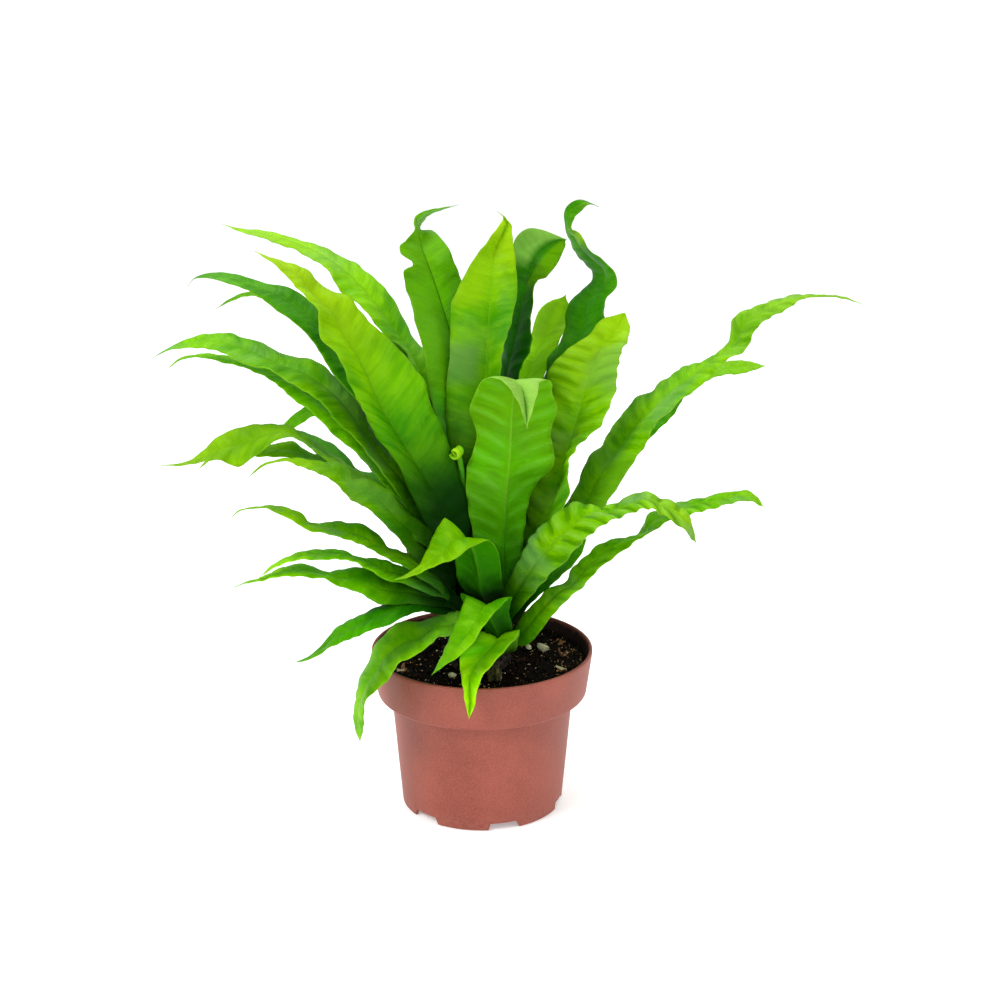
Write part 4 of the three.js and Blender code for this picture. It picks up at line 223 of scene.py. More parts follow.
        [-106.1, -81, 213.6, -105.8, -85.7, 214.2, -106.5, -76.3, 212.9],
        [-112.4, -84.6, 208.3, -112.3, -85, 208.4, -112.5, -84.1, 208.2]]),
    "frond_13": ("mid", [
        [-16.2, -8.6, 94.4, -14.7, -10.4, 94.5, -16.3, -6.2, 94.5],
        [-18.7, -15.6, 123.4, -14.3, -20.8, 123.5, -19.3, -8.7, 123.9],
        [-22.7, -22.3, 150.2, -25.5, -31.5, 151.2, -19.8, -13.1, 149.4],
        [-37.4, -27, 166.6, -40.4, -38.9, 167.8, -34.3, -15.1, 165.5],
        [-51.1, -31.1, 182.2, -53.5, -45.4, 184.3, -48.6, -16.7, 180.3],
        [-63.2, -34.3, 194.2, -64.5, -50.7, 196.4, -61.9, -17.9, 192.1],
        [-73.3, -36.7, 202.8, -73.6, -53.1, 205.5, -72.9, -20.3, 200.3],
        [-81.6, -38.5, 208.4, -81.3, -54.9, 211.2, -81.9, -22.2, 205.6],
        [-87.6, -39.7, 214, -87.9, -56.1, 216.7, -87.3, -23.4, 211.3],
        [-93.2, -41.1, 218, -94.1, -57.4, 220.6, -92.1, -24.7, 215.4],
        [-100.1, -43.2, 220.8, -101.3, -59.5, 221.2, -98.9, -26.8, 220.4],
        [-110.1, -46.6, 219, -110.6, -61.9, 215.7, -109.4, -32.2, 222.7],
        [-119.5, -50, 216, -119.5, -63.5, 210, -119.4, -37.2, 222.4],
        [-129, -53.5, 215.2, -127.5, -65.3, 211.6, -130.4, -42.4, 219.1],
        [-136.7, -56.4, 211.7, -135.3, -66.2, 211.1, -138.1, -47.1, 212.6],
        [-143.6, -59, 209.8, -142.6, -67, 210.8, -144.6, -51.5, 208.9],
        [-150.4, -61.7, 208.9, -149.4, -67.2, 210.1, -151.3, -56.4, 207.7],
        [-162.3, -66.4, 210.4, -162.3, -66.9, 210.5, -162.4, -66, 210.2]]),
    "frond_14": ("mid", [
        [-17.6, -6.1, 92.2, -16.8, -7.6, 92.2, -17.5, -4.5, 92.2],
        [-18.2, -11.8, 119.8, -15.6, -16.2, 119.8, -17.7, -6.6, 119.9],
        [-20.2, -18.1, 145.7, -22.6, -25.3, 145.8, -17.8, -10.8, 145.8],
        [-34.1, -21.5, 159.9, -36.8, -30.8, 159.7, -31.3, -12.3, 160.2],
        [-47.3, -24.1, 173.1, -49.8, -35.3, 173.1, -44.8, -12.9, 173.1],
        [-59.4, -25.7, 184.7, -61.6, -38.3, 184.7, -57.1, -13.2, 184.7],
        [-69, -26.4, 194, -70.5, -39, 193.5, -67.3, -13.8, 194.7],
        [-78.2, -26.9, 201.1, -78.9, -39.6, 202.1, -77.5, -14.3, 200.2],
        [-88.6, -27.8, 202.7, -88.9, -40.4, 204.4, -88.3, -15.2, 201],
        [-97.9, -28.6, 207.5, -98.5, -40, 206.4, -97.2, -17.3, 208.6],
        [-108.2, -29.9, 207.8, -108.6, -39.8, 207.4, -107.8, -20, 208.3],
        [-117.9, -31.2, 209.2, -118.2, -39.8, 207.4, -117.6, -22.8, 211.1],
        [-128, -32.8, 208.1, -127.9, -39.3, 207.3, -128, -26.4, 208.9],
        [-136.5, -34.3, 205.9, -136.1, -38.6, 205.5, -136.8, -30, 206.2],
        [-145, -35.9, 197.9, -144.9, -36.4, 198, -145.1, -35.4, 197.7]]),
    "frond_15": ("mid", [
        [-1.3, -6.3, 107, 1.2, -5.2, 105.5, -4, -5.5, 108.5],
        [4.6, -10.4, 118.9, 10.3, -7.9, 115.6, -1.3, -8.6, 122.3],
        [10.9, -13.6, 130.4, 18.4, -6.6, 132.5, 0.2, -12.3, 131.2],
        [11.4, -14.2, 150.8, 22, -6.4, 146.6, -3.4, -11.8, 150.6],
        [12.4, -14.7, 170.9, 23.6, -2.7, 168.2, -7, -10.9, 170.8],
        [13.4, -15, 185.2, 29.9, -4.2, 183.1, -8.3, -10.1, 184.8],
        [14.5, -14.1, 194.7, 38.2, -12, 194.1, -7.5, -8.2, 193],
        [15, -13.2, 203.1, 37.5, -7.8, 201.6, -4.3, -5.6, 201],
        [15.5, -12.3, 213.7, 35.4, -5.2, 212.3, -2.8, -4.7, 211.6],
        [16, -11.5, 222.6, 39, -6.3, 222.3, -6.3, -6.8, 222.4],
        [16.5, -11.9, 230.6, 37.7, -11.2, 232.1, -4.2, -11.2, 230.5],
        [17.5, -14.4, 240.2, 35.5, -13.9, 240.1, 0.6, -17.9, 241.6],
        [19, -19, 239.8, 30.2, -18.9, 241.1, 9.8, -27.1, 243.6],
        [21.5, -23.7, 236.7, 29, -28.9, 239.6, 13.8, -31.9, 241.4],
        [23, -28.5, 229, 27, -33.2, 232.3, 19.4, -33.9, 233],
        [23.5, -32.4, 219.6, 23.5, -32.8, 219.7, 23.5, -32.8, 219.7]]),
    "frond_16": ("bright", [
        [-5.8, -4.6, 106.2, -6.4, -7.2, 106.2, -3.8, -2.7, 106.5],
        [-8.8, -9.9, 129.9, -10.2, -16.9, 129.6, -3.7, -5.1, 130.8],
        [-13.4, -14.2, 152.5, -22.7, -19.5, 153.2, -5, -8.9, 153.5],
        [-21.6, -14.5, 174.7, -34.4, -20.7, 175.5, -8.6, -10.3, 177.8],
        [-31.4, -14.8, 191.7, -43.9, -22.3, 199.2, -16.3, -9.9, 204.4],
        [-41.5, -15.1, 209, -54.6, -26, 217.3, -24.4, -9.9, 222.7],
        [-52, -15.4, 227.8, -62.6, -30.4, 235.3, -31.4, -10.1, 241.9],
        [-61.8, -15.6, 250.5, -71, -32.4, 255.4, -47.4, -4.5, 259.6],
        [-70.6, -15.9, 265.2, -79.7, -32.6, 268.2, -59.2, -2.1, 271.1],
        [-75.9, -15.9, 276.5, -80.5, -31.6, 279.7, -69.2, -2.2, 282.1],
        [-85.2, -16.6, 285.9, -88.3, -29.7, 288.4, -80.2, -4.4, 287.2],
        [-91.7, -17.1, 295.4, -94.3, -27.6, 294.6, -88.8, -7.1, 296.4],
        [-100.2, -18.1, 301.2, -100.8, -25.9, 301.3, -99.5, -10.7, 301.2],
        [-107, -19, 304.8, -106.9, -23.8, 305, -107, -14.6, 304.6],
        [-113.2, -20.1, 308.4, -113.1, -20.6, 308.4, -113.3, -19.6, 308.3]]),
    "frond_17": ("mid", [
        [9.8, 1.9, 101.1, 8.6, 4.4, 101.8, 9.6, -1, 101.4],
        [18.5, 1.9, 112.9, 14.2, 5.8, 113.2, 22.8, -2.1, 112.6],
        [32.5, 4.3, 129.8, 26.1, 10.6, 130.5, 38.8, -2.8, 129.4],
        [45.6, 6.6, 149, 37.5, 15.3, 148.9, 53.5, -3.2, 149.4],
        [56.2, 8.6, 167.8, 47.8, 20.6, 167.2, 64.4, -4, 168.7],
        [64.1, 10.3, 182.7, 54.8, 24.1, 182.6, 73.1, -5.1, 183.4],
        [73.6, 12.3, 196.3, 65.7, 29, 194.2, 81.2, -5.3, 198.8],
        [83.4, 14.5, 209.5, 76, 33.5, 207.6, 90.3, -5.6, 211.9],
        [94.8, 17.1, 220.6, 88.6, 37.8, 219.3, 100.5, -4.7, 222.4],
        [104.8, 19.6, 229.6, 100.6, 40.6, 227.6, 108.9, -1.4, 231.8],
        [116.1, 22.4, 237.4, 113.1, 43.6, 234.7, 118.8, 1.3, 240.2],
        [125.2, 25, 242.8, 124.7, 46.2, 239.1, 125.6, 3.8, 246.6],
        [134.1, 27.6, 249.3, 131.8, 48.9, 246.8, 136.2, 6.3, 251.9],
        [140.1, 29.7, 260, 136.2, 49.1, 260.1, 143.7, 10.3, 260.1],
        [149.3, 32.6, 266.2, 146.5, 50.1, 265.4, 151.9, 15, 267.1],
        [159.4, 35.8, 270.4, 157.3, 51.3, 269.5, 161.4, 20.2, 271.4],
        [170.2, 39.2, 273, 169.8, 51.7, 271.4, 170.6, 26.8, 274.6],
        [181.8, 43, 273.1, 183.4, 52.2, 271.8, 180.2, 33.3, 274.4],
        [194.4, 47.2, 271.7, 195.5, 52.9, 271.1, 193.4, 41.2, 272.3],
        [206.8, 51.5, 267, 206.9, 52, 266.9, 206.8, 51.1, 267.1]]),
    "frond_18": ("bright", [
        [6.6, 1.3, 104.4, 4.4, 3.1, 105.6, 7.4, -1.6, 103.9],
        [13.3, -0.9, 117.4, 8.4, 3.5, 120.4, 15.2, -7.8, 116.4],
        [21.6, -2.7, 130, 14.1, 3.3, 128.5, 26.7, -10.2, 134.9],
        [29.6, -0, 148.9, 19.5, 9.5, 146.3, 36.1, -11.9, 154.5],
        [36.5, 3.6, 164, 24.4, 15.4, 160.3, 42.9, -12, 171.2],
        [41.8, 7.2, 180.8, 25, 21, 177.8, 46.9, -12.5, 188.8],
        [46.6, 10.9, 196.4, 28.7, 24.9, 192.5, 49.9, -11.2, 203.7],
        [50.8, 14.5, 212, 34.1, 27.9, 208.4, 62.5, -6.6, 216.4],
        [54.5, 18.2, 225.3, 36.1, 27.9, 223.5, 71, 0.2, 228.2],
        [58.8, 21.8, 238.7, 36.5, 23.4, 238.3, 71.7, 7.2, 241.5],
        [63.6, 25.4, 248.2, 46.1, 26.9, 247.3, 73, 14, 249.6],
        [69, 29.1, 253.9, 56.8, 30.8, 254.1, 77, 21.2, 253.4],
        [73.4, 33.2, 259.5, 63.3, 35.1, 261.3, 79.1, 29.6, 257.6],
        [76.8, 37.7, 265.1, 72.6, 38.8, 266, 79.2, 37.3, 263.1]]),
    "frond_19": ("dark", [
        [-8.9, -2.7, 102.9, -8.2, -4.7, 103, -8.4, -0.5, 103],
        [-12.9, -6.2, 132.2, -10.7, -12.1, 132.6, -11.3, -0.1, 132.5],
        [-19, -8.6, 160.1, -23.8, -17.1, 160.7, -14.2, -0.2, 159.6],
        [-34.2, -7.9, 191.8, -40, -19.6, 192, -28.4, 3.8, 191.8],
        [-48, -7.2, 217.7, -53.9, -22, 217.3, -42, 7.6, 218.1],
        [-60.2, -6.6, 234.6, -65.8, -22.3, 234.3, -54.4, 9.1, 235.1],
        [-71.5, -6.2, 248.4, -75.6, -22.3, 246.8, -67.3, 9.8, 250],
        [-81.7, -6.1, 264.1, -85.3, -22.3, 262.4, -77.9, 10.1, 266],
        [-91.2, -6.1, 274.3, -96.3, -20.7, 273.4, -85.8, 7.8, 275.4],
        [-102.6, -6.3, 282.9, -107.3, -18.6, 281.7, -97.7, 6, 284.2],
        [-114.2, -6.6, 287.3, -116.3, -17.6, 287.1, -111.8, 3.8, 287.7],
        [-124.4, -7.1, 291.4, -125.5, -16, 290.9, -123.2, 1.4, 292.1],
        [-133.7, -7.6, 293.4, -134.2, -14.4, 292.9, -133, -1.1, 294.1],
        [-141.2, -8.1, 293.5, -141, -12.7, 293.4, -141.4, -3.6, 293.7],
        [-145.9, -8.6, 292, -145.9, -11.3, 292.1, -145.9, -5.9, 291.9],
        [-148.9, -9.1, 288.6, -148.8, -9.6, 288.7, -149, -8.6, 288.5]]),
    "frond_20": ("mid", [
        [-13, 1.2, 97.9, -12.3, -1, 97.9, -12.2, 3.5, 97.9],
        [-14.3, 1, 123, -12.6, -5.1, 123.2, -12.2, 6.9, 123.2],
        [-18, -1.2, 147.6, -22, -9.9, 148.3, -13.9, 7, 147.2],
        [-29, -3.1, 165.9, -33.3, -14.3, 165.3, -24.5, 7.5, 166.7],
        [-38.8, -4.4, 179, -43.4, -16.9, 179.3, -34, 8, 178.9],
        [-46.8, -4.9, 190.2, -52, -18.6, 192.2, -41.4, 8.7, 188.2],
        [-56.6, -4.5, 201.8, -62, -19.3, 206.4, -50.9, 10.1, 197.2],
        [-67.8, -3.7, 219.2, -71.8, -20.8, 220.7, -63.5, 13.3, 217.8],
        [-77.7, -2.7, 231, -83.9, -20.1, 231.6, -71.2, 13.7, 230.8],
        [-90.8, -1.5, 240.4, -96, -19.2, 239.3, -85.3, 15.2, 241.8],
        [-104.6, -0.4, 245.4, -107.8, -17.9, 244.2, -101.1, 16.2, 247],
        [-118.2, 0.6, 251.8, -120.8, -14.4, 249.7, -115.4, 14.8, 254.3],
        [-131.4, 1.5, 256.1, -132.9, -11.1, 253.7, -129.8, 13.4, 258.9],
        [-144.4, 2.2, 257.6, -144.5, -8, 256.1, -144.2, 11.9, 259.2],
        [-155, 2.7, 255.6, -154.3, -4.7, 255.4, -155.6, 10.1, 255.8],
        [-163.1, 3, 252.9, -162.7, -1.8, 253.2, -163.5, 7.8, 252.6],
        [-172.1, 3.2, 247.8, -172.1, 2.8, 247.9, -172.2, 3.7, 247.7]]),
    "frond_21": ("dark", [
        [-14.7, 0.5, 95.8, -14.4, -1.2, 95.9, -14, 2, 95.9],
        [-19, -2.8, 127.3, -18, -7.9, 127.7, -16.9, 1.9, 127.7],
        [-26, -6.6, 157.2, -29.7, -14.1, 156.9, -22.2, 0.6, 157.7],
        [-36.7, -6.3, 172.4, -40.5, -15.3, 172.2, -32.8, 2.2, 172.8],
        [-46.1, -5.9, 181.4, -49.7, -15.6, 182.7, -42.4, 3.7, 180.2],
        [-56.1, -5, 195.4, -60.3, -16.6, 196.6, -51.8, 6, 194.5],
        [-66.5, -3.5, 208.3, -70.4, -16.2, 208.8, -62.3, 8.5, 208.1],
        [-76.6, -1.6, 217.8, -80.7, -14.3, 217.4, -72.3, 10.4, 218.5],
        [-86.8, 0.6, 225.9, -90.5, -12.3, 226.5, -82.9, 12.7, 225.6],
        [-97.2, 2.8, 233.2, -99.7, -10.4, 234, -94.6, 15.2, 232.6],
        [-109.1, 5, 238.5, -110.3, -6.4, 239.4, -107.8, 16.4, 237.7],
        [-120.2, 7, 242.9, -121, -3, 243.4, -119.3, 17, 242.5],
        [-131.5, 8.8, 246.2, -131.7, 0.4, 246.8, -131.4, 17.3, 245.7],
        [-142.2, 10.3, 247.9, -141.4, 3.5, 248.3, -142.9, 17.1, 247.6],
        [-152.1, 11.5, 247.2, -151.3, 6.5, 247.6, -152.8, 16.3, 247],
        [-159.4, 12.2, 245.2, -158.6, 9, 245.4, -160.2, 15.3, 245],
        [-166.4, 12.8, 239.1, -166.3, 12.3, 239.2, -166.5, 13.2, 239]]),
    "frond_22": ("dark", [
        [-16.7, 7.9, 91.5, -16.7, 6, 91.5, -15.6, 9.5, 91.6],
        [-17.6, 9.9, 118.3, -17.5, 2.9, 118.3, -13.6, 15.6, 118.5],
        [-21.1, 11.9, 143.2, -24.5, 1.4, 144.5, -17.6, 21.4, 142.4],
        [-33.6, 15.8, 156.8, -37.3, 2.5, 157.6, -29.7, 28.4, 156.2],
        [-46.6, 19.6, 169.2, -50, 4.6, 170.4, -42.9, 33.8, 168.3],
        [-58.8, 23, 177.5, -61.3, 8.6, 178.7, -56.2, 37.4, 176.4],
        [-68.5, 25.5, 178.8, -70.6, 11.1, 180.8, -66.2, 39.9, 176.8],
        [-74.7, 26.9, 185.2, -77.1, 13.9, 186.7, -72.1, 39.9, 183.7],
        [-81.7, 28.6, 189.8, -83.7, 16.6, 189.2, -79.7, 39.9, 190.6],
        [-89.1, 30.3, 194.9, -90.4, 20.9, 194.7, -87.7, 39.2, 195.3],
        [-95.7, 31.9, 197.9, -96.5, 24.3, 197.7, -94.7, 39, 198.2],
        [-103.7, 33.9, 199.6, -104, 29.1, 199.2, -103.3, 38.4, 200.1],
        [-112.4, 36.1, 200.1, -112.3, 35.6, 200.2, -112.4, 36.5, 200]]),
    "frond_23": ("dark", [
        [-14.3, 4.4, 95, -14.2, 3, 95, -13.6, 5.7, 95],
        [-17.6, 5.4, 126.2, -17, 0.3, 126.3, -15, 9.9, 126.4],
        [-22.5, 7.4, 156.1, -25.4, -0.4, 156.3, -19.4, 14.8, 155.9],
        [-35.9, 12.1, 175.4, -39.1, 2, 175.7, -32.5, 21.6, 175.4],
        [-48.7, 16.3, 194.3, -51.8, 5.4, 194.6, -45.4, 26.6, 194.3],
        [-60.4, 19.6, 209.5, -63.4, 8.7, 209.1, -57.3, 30, 210.2],
        [-71.9, 22.3, 218.2, -74.7, 12.9, 216.8, -69, 31.2, 219.9],
        [-82.3, 24.3, 216.1, -83.5, 16.5, 214.8, -81, 32.1, 217.4],
        [-92.5, 26.1, 213.7, -90.9, 20.3, 212.7, -94.1, 31.9, 214.7],
        [-99.7, 27.2, 208.9, -97.7, 23, 207.5, -101.8, 31.4, 210.3],
        [-106, 28.2, 203.6, -104.1, 26, 202.8, -107.8, 30.4, 204.5],
        [-110, 28.7, 197.6, -110, 28.2, 197.7, -110.1, 29.2, 197.5]]),
    "frond_24": ("dark", [
        [-7.1, 6.8, 101.5, -6.9, 5, 101.5, -6.2, 8.4, 101.6],
        [-7.2, 8.1, 136.8, -6.3, 0.5, 136.6, -3.4, 14.7, 137.4],
        [-12.2, 8.8, 170.8, -15.7, -2.4, 172.6, -8.6, 19.4, 169.3],
        [-22.5, 10.8, 191.7, -27.1, -2, 193.4, -17.8, 23.6, 190],
        [-29.5, 11.3, 212, -35.3, -1.1, 213.4, -23.5, 23.6, 210.7],
        [-38.3, 12.1, 230.1, -43.6, 2.1, 230.4, -32.9, 22, 229.8],
        [-45.7, 12.8, 246.7, -50.9, 6.8, 245.4, -40.5, 18.8, 248],
        [-53.3, 13.8, 255.6, -56.2, 10.5, 255.2, -50.3, 16.9, 256],
        [-59.5, 14.6, 260.2, -59.5, 14.2, 260.3, -59.6, 15.1, 260.1]]),
    "frond_25": ("bright", [
        [-4.7, 7.3, 103.2, -5.1, 4.8, 103.2, -3, 9.1, 103.2],
        [-6.3, 11.8, 138.6, -7.3, 4.1, 138.7, -0.9, 17.3, 139],
        [-11.3, 17.7, 173.2, -15.8, 6.6, 175.4, -6.6, 27.5, 171.4],
        [-21.2, 24.7, 200.9, -27.5, 10.6, 202, -14.8, 38, 200.2],
        [-30.1, 29.9, 224.6, -37.4, 13.4, 225.9, -22.4, 45.5, 223.6],
        [-37.2, 33.2, 241.8, -44.1, 15.8, 242.8, -30.1, 49.5, 241.1],
        [-47.2, 37.4, 256.5, -53.6, 19.9, 256.4, -40.4, 53.9, 256.9],
        [-59, 42.4, 271.8, -65.3, 24.8, 270.4, -52.4, 58.9, 273.6],
        [-72.8, 48.2, 285.1, -77.6, 31.1, 283.7, -67.8, 64.4, 286.9],
        [-88, 54.5, 294.6, -91.4, 40, 293.4, -84.2, 68.3, 296.1],
        [-103.3, 60.7, 299.8, -105.5, 48.8, 299.9, -100.9, 72, 299.9],
        [-118.2, 66.4, 303, -118.8, 58, 302.7, -117.6, 74.9, 303.3],
        [-131.9, 71.3, 304.3, -131.8, 66.5, 304.4, -132, 76.1, 304.2],
        [-142.6, 74.5, 307.2, -142.5, 74, 307.3, -142.7, 75, 307.1]]),
    "frond_26": ("mid", [
        [8.7, 5.7, 102.7, 7.4, 7.1, 103.3, 9.1, 3.8, 102.9],
        [13.9, 8.6, 109.5, 11.8, 11.1, 110.5, 14.6, 5.2, 109.9],
        [20.2, 11.4, 115.8, 16.4, 14.4, 115.8, 24, 8.2, 115.8],
        [34.1, 17.8, 134.4, 29, 23.3, 134.8, 39.1, 11.6, 134.2],
        [48.6, 24.6, 153.7, 42.9, 32.6, 153.7, 54.3, 15.7, 153.9],
        [62.9, 31.8, 171.8, 57.4, 42.5, 171.5, 68.3, 19.8, 172.5],
        [76.8, 39.1, 187.9, 72, 52.3, 187.1, 81.3, 25.2, 189],
        [91.3, 47.2, 200.6, 87.9, 60.7, 199.8, 94.6, 32.9, 201.5],
        [106.1, 55.7, 212.6, 104, 69.4, 211.5, 108.1, 42, 213.8],
        [120, 64.2, 221.1, 118.9, 75.3, 220.4, 121, 52.4, 221.9],
        [132.4, 72.3, 224.7, 131.7, 80.8, 225.5, 133.1, 63.3, 224.1],
        [142.8, 79.6, 225.2, 141.2, 85.8, 227.8, 144.3, 72.9, 222.7],
        [152.8, 86.9, 224.5, 152.1, 90.8, 226, 153.5, 83, 222.9],
        [162.4, 94.4, 222.9, 162.4, 94.8, 222.8, 162.3, 94, 223]]),
    "frond_27": ("bright", [
        [-1.3, 1.6, 107.8, -3.5, 0.5, 108.1, 1.1, 1.3, 107.6],
        [0.6, -1, 127.5, -4.8, -3.8, 128.2, 6.6, -1.9, 127],
        [2.3, -2.7, 147, -7.3, -3.6, 147.8, 9.8, -4.9, 148.3],
        [1.3, 0.4, 171.7, -13.6, -0.9, 172.1, 9.8, -5.7, 173.6],
        [1.3, 4.6, 198.2, -17.7, 3.1, 198.6, 9.8, -6.1, 201.1],
        [1.9, 9.1, 224.3, -18.1, 7.6, 224.7, 9.3, -4.6, 227.7],
        [3, 13.7, 247.5, -16.5, 12.2, 247.9, 10.3, -0, 250.7],
        [4, 18.5, 266.4, -16.5, 16.9, 266.7, 16.1, 8.5, 268.4],
        [5.1, 22.2, 280, -13.3, 20.9, 280.8, 18.7, 16.4, 280.6],
        [6.1, 25.8, 292.1, -6.5, 23.8, 293, 18.2, 22, 292.3],
        [7.2, 28.3, 301.2, 0.4, 22.5, 302.7, 17.1, 25.1, 301.2],
        [11.4, 27.7, 309.7, 6.2, 22.7, 310.5, 16.1, 24.1, 310.3],
        [13.4, 24.9, 317, 11.4, 21.9, 318, 15, 21.6, 315.9],
        [8.2, 22.1, 322.1, 8.2, 21.7, 322.1, 8.2, 21.6, 322.2]]),
    "frond_28": ("mid", [
        [-4.5, 3.5, 104.7, -5.8, 1.4, 104.8, -2.2, 4.4, 104.7],
        [-5, 1.8, 125.7, -8.2, -3.3, 125.9, 0.6, 4.1, 125.8],
        [-6.3, 1.5, 146.1, -12.6, -4.7, 148.2, 0.1, 7, 147.1],
        [-11.1, 6.6, 173.2, -18.8, -2.9, 175.5, -4.2, 15.9, 173.7],
        [-12.6, 12.8, 201.4, -21.8, 0.1, 204.9, -5.3, 25.4, 200.8],
        [-14.1, 18.7, 233.9, -26.9, 4.4, 236.3, -4.7, 33.1, 233.8],
        [-16.7, 24.4, 256, -31.6, 11.3, 258.8, -5.8, 37.8, 255.3],
        [-20.5, 28.8, 268.6, -35.4, 17.8, 271.9, -8.5, 40.9, 268.9],
        [-24.2, 33.2, 279.6, -40.7, 28.8, 281.5, -10.6, 42, 282.2],
        [-27.9, 35.5, 289.9, -41.1, 28.3, 292.2, -13.7, 40.6, 290],
        [-31.1, 38.7, 297.9, -43, 33.8, 301.9, -17.3, 40.4, 299.7],
        [-33, 41.9, 304.3, -39.2, 32.7, 305.2, -26.1, 48.5, 307.2],
        [-33.9, 43.1, 308.9, -34.5, 33.4, 310.4, -33.2, 51.6, 307.5],
        [-33.8, 44.2, 312.3, -34.7, 34.8, 313.9, -32.9, 52.5, 310.9],
        [-31.9, 44.3, 315.5, -32.9, 35.9, 317.7, -30.9, 52.1, 313.4],
        [-26.6, 44.3, 318.5, -26.6, 38, 320.3, -26.5, 50.3, 316.8],
        [-11.9, 44.4, 322.2, -11.9, 43.9, 322.3, -12, 44.9, 322.2]]),
    "frond_29": ("dark", [
        [4.9, 5.1, 103.4, 3.1, 6.4, 104.2, 5.8, 3, 103.4],
        [16.2, 7.1, 124.2, 11.6, 10.3, 126.1, 18.6, 1.6, 124.2],
        [27.7, 10.4, 144.6, 20.7, 14.3, 141.8, 34.5, 4.9, 147.8],
        [31.4, 17.9, 173.1, 22.9, 24.8, 169.9, 39.8, 9.4, 176.8],
        [37.9, 25.9, 198.9, 27.3, 34.7, 195.4, 48.3, 15, 203],
        [43.9, 33.5, 222.9, 32.2, 44.5, 218.2, 55.1, 20.8, 228],
        [49.3, 40.8, 243.1, 35.5, 51.2, 237.4, 62.7, 29, 249.5],
        [54.9, 47.2, 253.8, 43.3, 58.7, 250.3, 64.9, 33.8, 259.4],
        [55.5, 52.5, 263.2, 44.5, 65.3, 260.1, 65.5, 37.4, 266.3],
        [59.9, 56.3, 271.3, 50.6, 69.8, 269.3, 67.8, 41.2, 273.7],
        [65.9, 58.6, 278, 59.5, 72.1, 276.1, 71.8, 44.1, 279.1],
        [66.5, 60.8, 283.7, 61.7, 73.7, 280.8, 70, 46.6, 286.2],
        [61.5, 61.9, 289, 57.8, 73.7, 285.3, 64.6, 49.2, 292.8],
        [55, 63, 294.8, 52.7, 73.7, 291.4, 57.1, 51.6, 298.4],
        [50.5, 63, 301.4, 48.8, 72.5, 298.2, 52.8, 53.1, 304.6],
        [46.7, 62.1, 306.4, 45.6, 70.2, 305.1, 48, 53.4, 307.5],
        [46.5, 60.1, 312.7, 44.3, 66.5, 312.3, 49.2, 53.4, 313.2],
        [49.4, 58.1, 318.4, 46.5, 62.9, 318.8, 52.7, 53, 317],
        [55.4, 56.1, 321.9, 52.9, 59.4, 322.5, 57.4, 52.6, 321.1],
        [63, 56.1, 319.2, 63, 56.6, 319.1, 62.9, 55.6, 319.3]]),
    "frond_30": ("mid", [
        [-10.6, 4.2, 99.6, -10.7, 2.6, 99.6, -9.6, 5.4, 99.6],
        [-11.8, 2.7, 131.3, -12.1, -1.9, 131.4, -8.8, 6.3, 131.5],
        [-15.9, 3.4, 161.3, -18.9, -3.2, 161.7, -12.8, 9.4, 161.1],
        [-32.4, 11.8, 192.2, -35.7, 2.3, 192.2, -29, 20.4, 192.6],
        [-49, 19.7, 217.2, -52.6, 7.9, 217, -45.2, 30.2, 217.9],
        [-66.7, 27.5, 238.4, -69.6, 16.1, 237.8, -63.7, 38.3, 239.2],
        [-84.5, 35.1, 257, -86.8, 24, 256.6, -82.2, 45.6, 257.5],
        [-101.5, 42, 269.2, -103.2, 33.1, 268.8, -99.7, 50.4, 269.7],
        [-117.1, 48.1, 273.2, -117.9, 41.1, 273.2, -116.3, 54.7, 273.3],
        [-126.7, 51.4, 273.1, -126.6, 46.1, 273, -126.9, 56.7, 273.2],
        [-136.3, 54.5, 269.2, -135.6, 51.2, 269, -137, 57.9, 269.4],
        [-146.6, 57.8, 262.7, -146.5, 57.4, 262.8, -146.6, 58.2, 262.6]]),
    "frond_31": ("dark", [
        [1.5, 5.6, 105.5, -0.9, 6.1, 106.1, 3, 3.7, 105.2],
        [6.4, 4.7, 124.8, 0.5, 6.1, 126.3, 10.4, -0.1, 124.1],
        [11.4, 5.6, 143.6, 3.3, 8.8, 143.7, 18.4, 0, 146.6],
        [12.5, 13.2, 173.4, 2.2, 19.7, 171.5, 21.5, 3.9, 177.3],
        [13, 22.8, 203.1, 4.3, 35.2, 200.9, 21.5, 9, 207.9],
        [13.6, 29.3, 231.4, 7.6, 44.4, 227.8, 19.3, 13.5, 236.8],
        [16.8, 33.7, 244.7, 9.8, 48.6, 241.3, 23.5, 17, 249.5],
        [18.9, 37.1, 254.3, 11.4, 51.5, 251.3, 25.6, 20.6, 258.4],
        [21.1, 41.4, 264.4, 13.6, 53.8, 261.3, 27.3, 26.8, 267.9],
        [22.7, 44.6, 272.5, 15.2, 54.6, 270, 28.4, 31.7, 275.5],
        [24.4, 47.8, 280.1, 16.3, 55.2, 278.1, 30.1, 37.3, 282],
        [27, 50, 287.3, 16.8, 53.5, 289.9, 35, 43.1, 283.6],
        [31.3, 51.1, 294.7, 17.3, 53, 301.4, 40.5, 48.9, 289.6],
        [36.1, 50.2, 299.1, 24.3, 50.9, 308.2, 43.1, 48.3, 295.1],
        [40.9, 48.3, 302.2, 34.4, 48.3, 307.8, 45.1, 47.3, 300.2],
        [45.8, 45.3, 303.7, 45.8, 44.9, 303.8, 45.8, 44.9, 303.8]]),
    "frond_32": ("bright", [
        [3.6, 9.7, 102.5, 1.9, 10.4, 103.1, 4.7, 8.1, 102.2],
        [12.1, 14.9, 122.5, 6.8, 17, 124.2, 15.4, 10.1, 122.1],
        [20.2, 22.8, 141.9, 14.2, 27.2, 140.4, 26.1, 16, 144.1],
        [21.3, 33.8, 167.2, 14.2, 41.8, 164.8, 28.3, 24, 170.2],
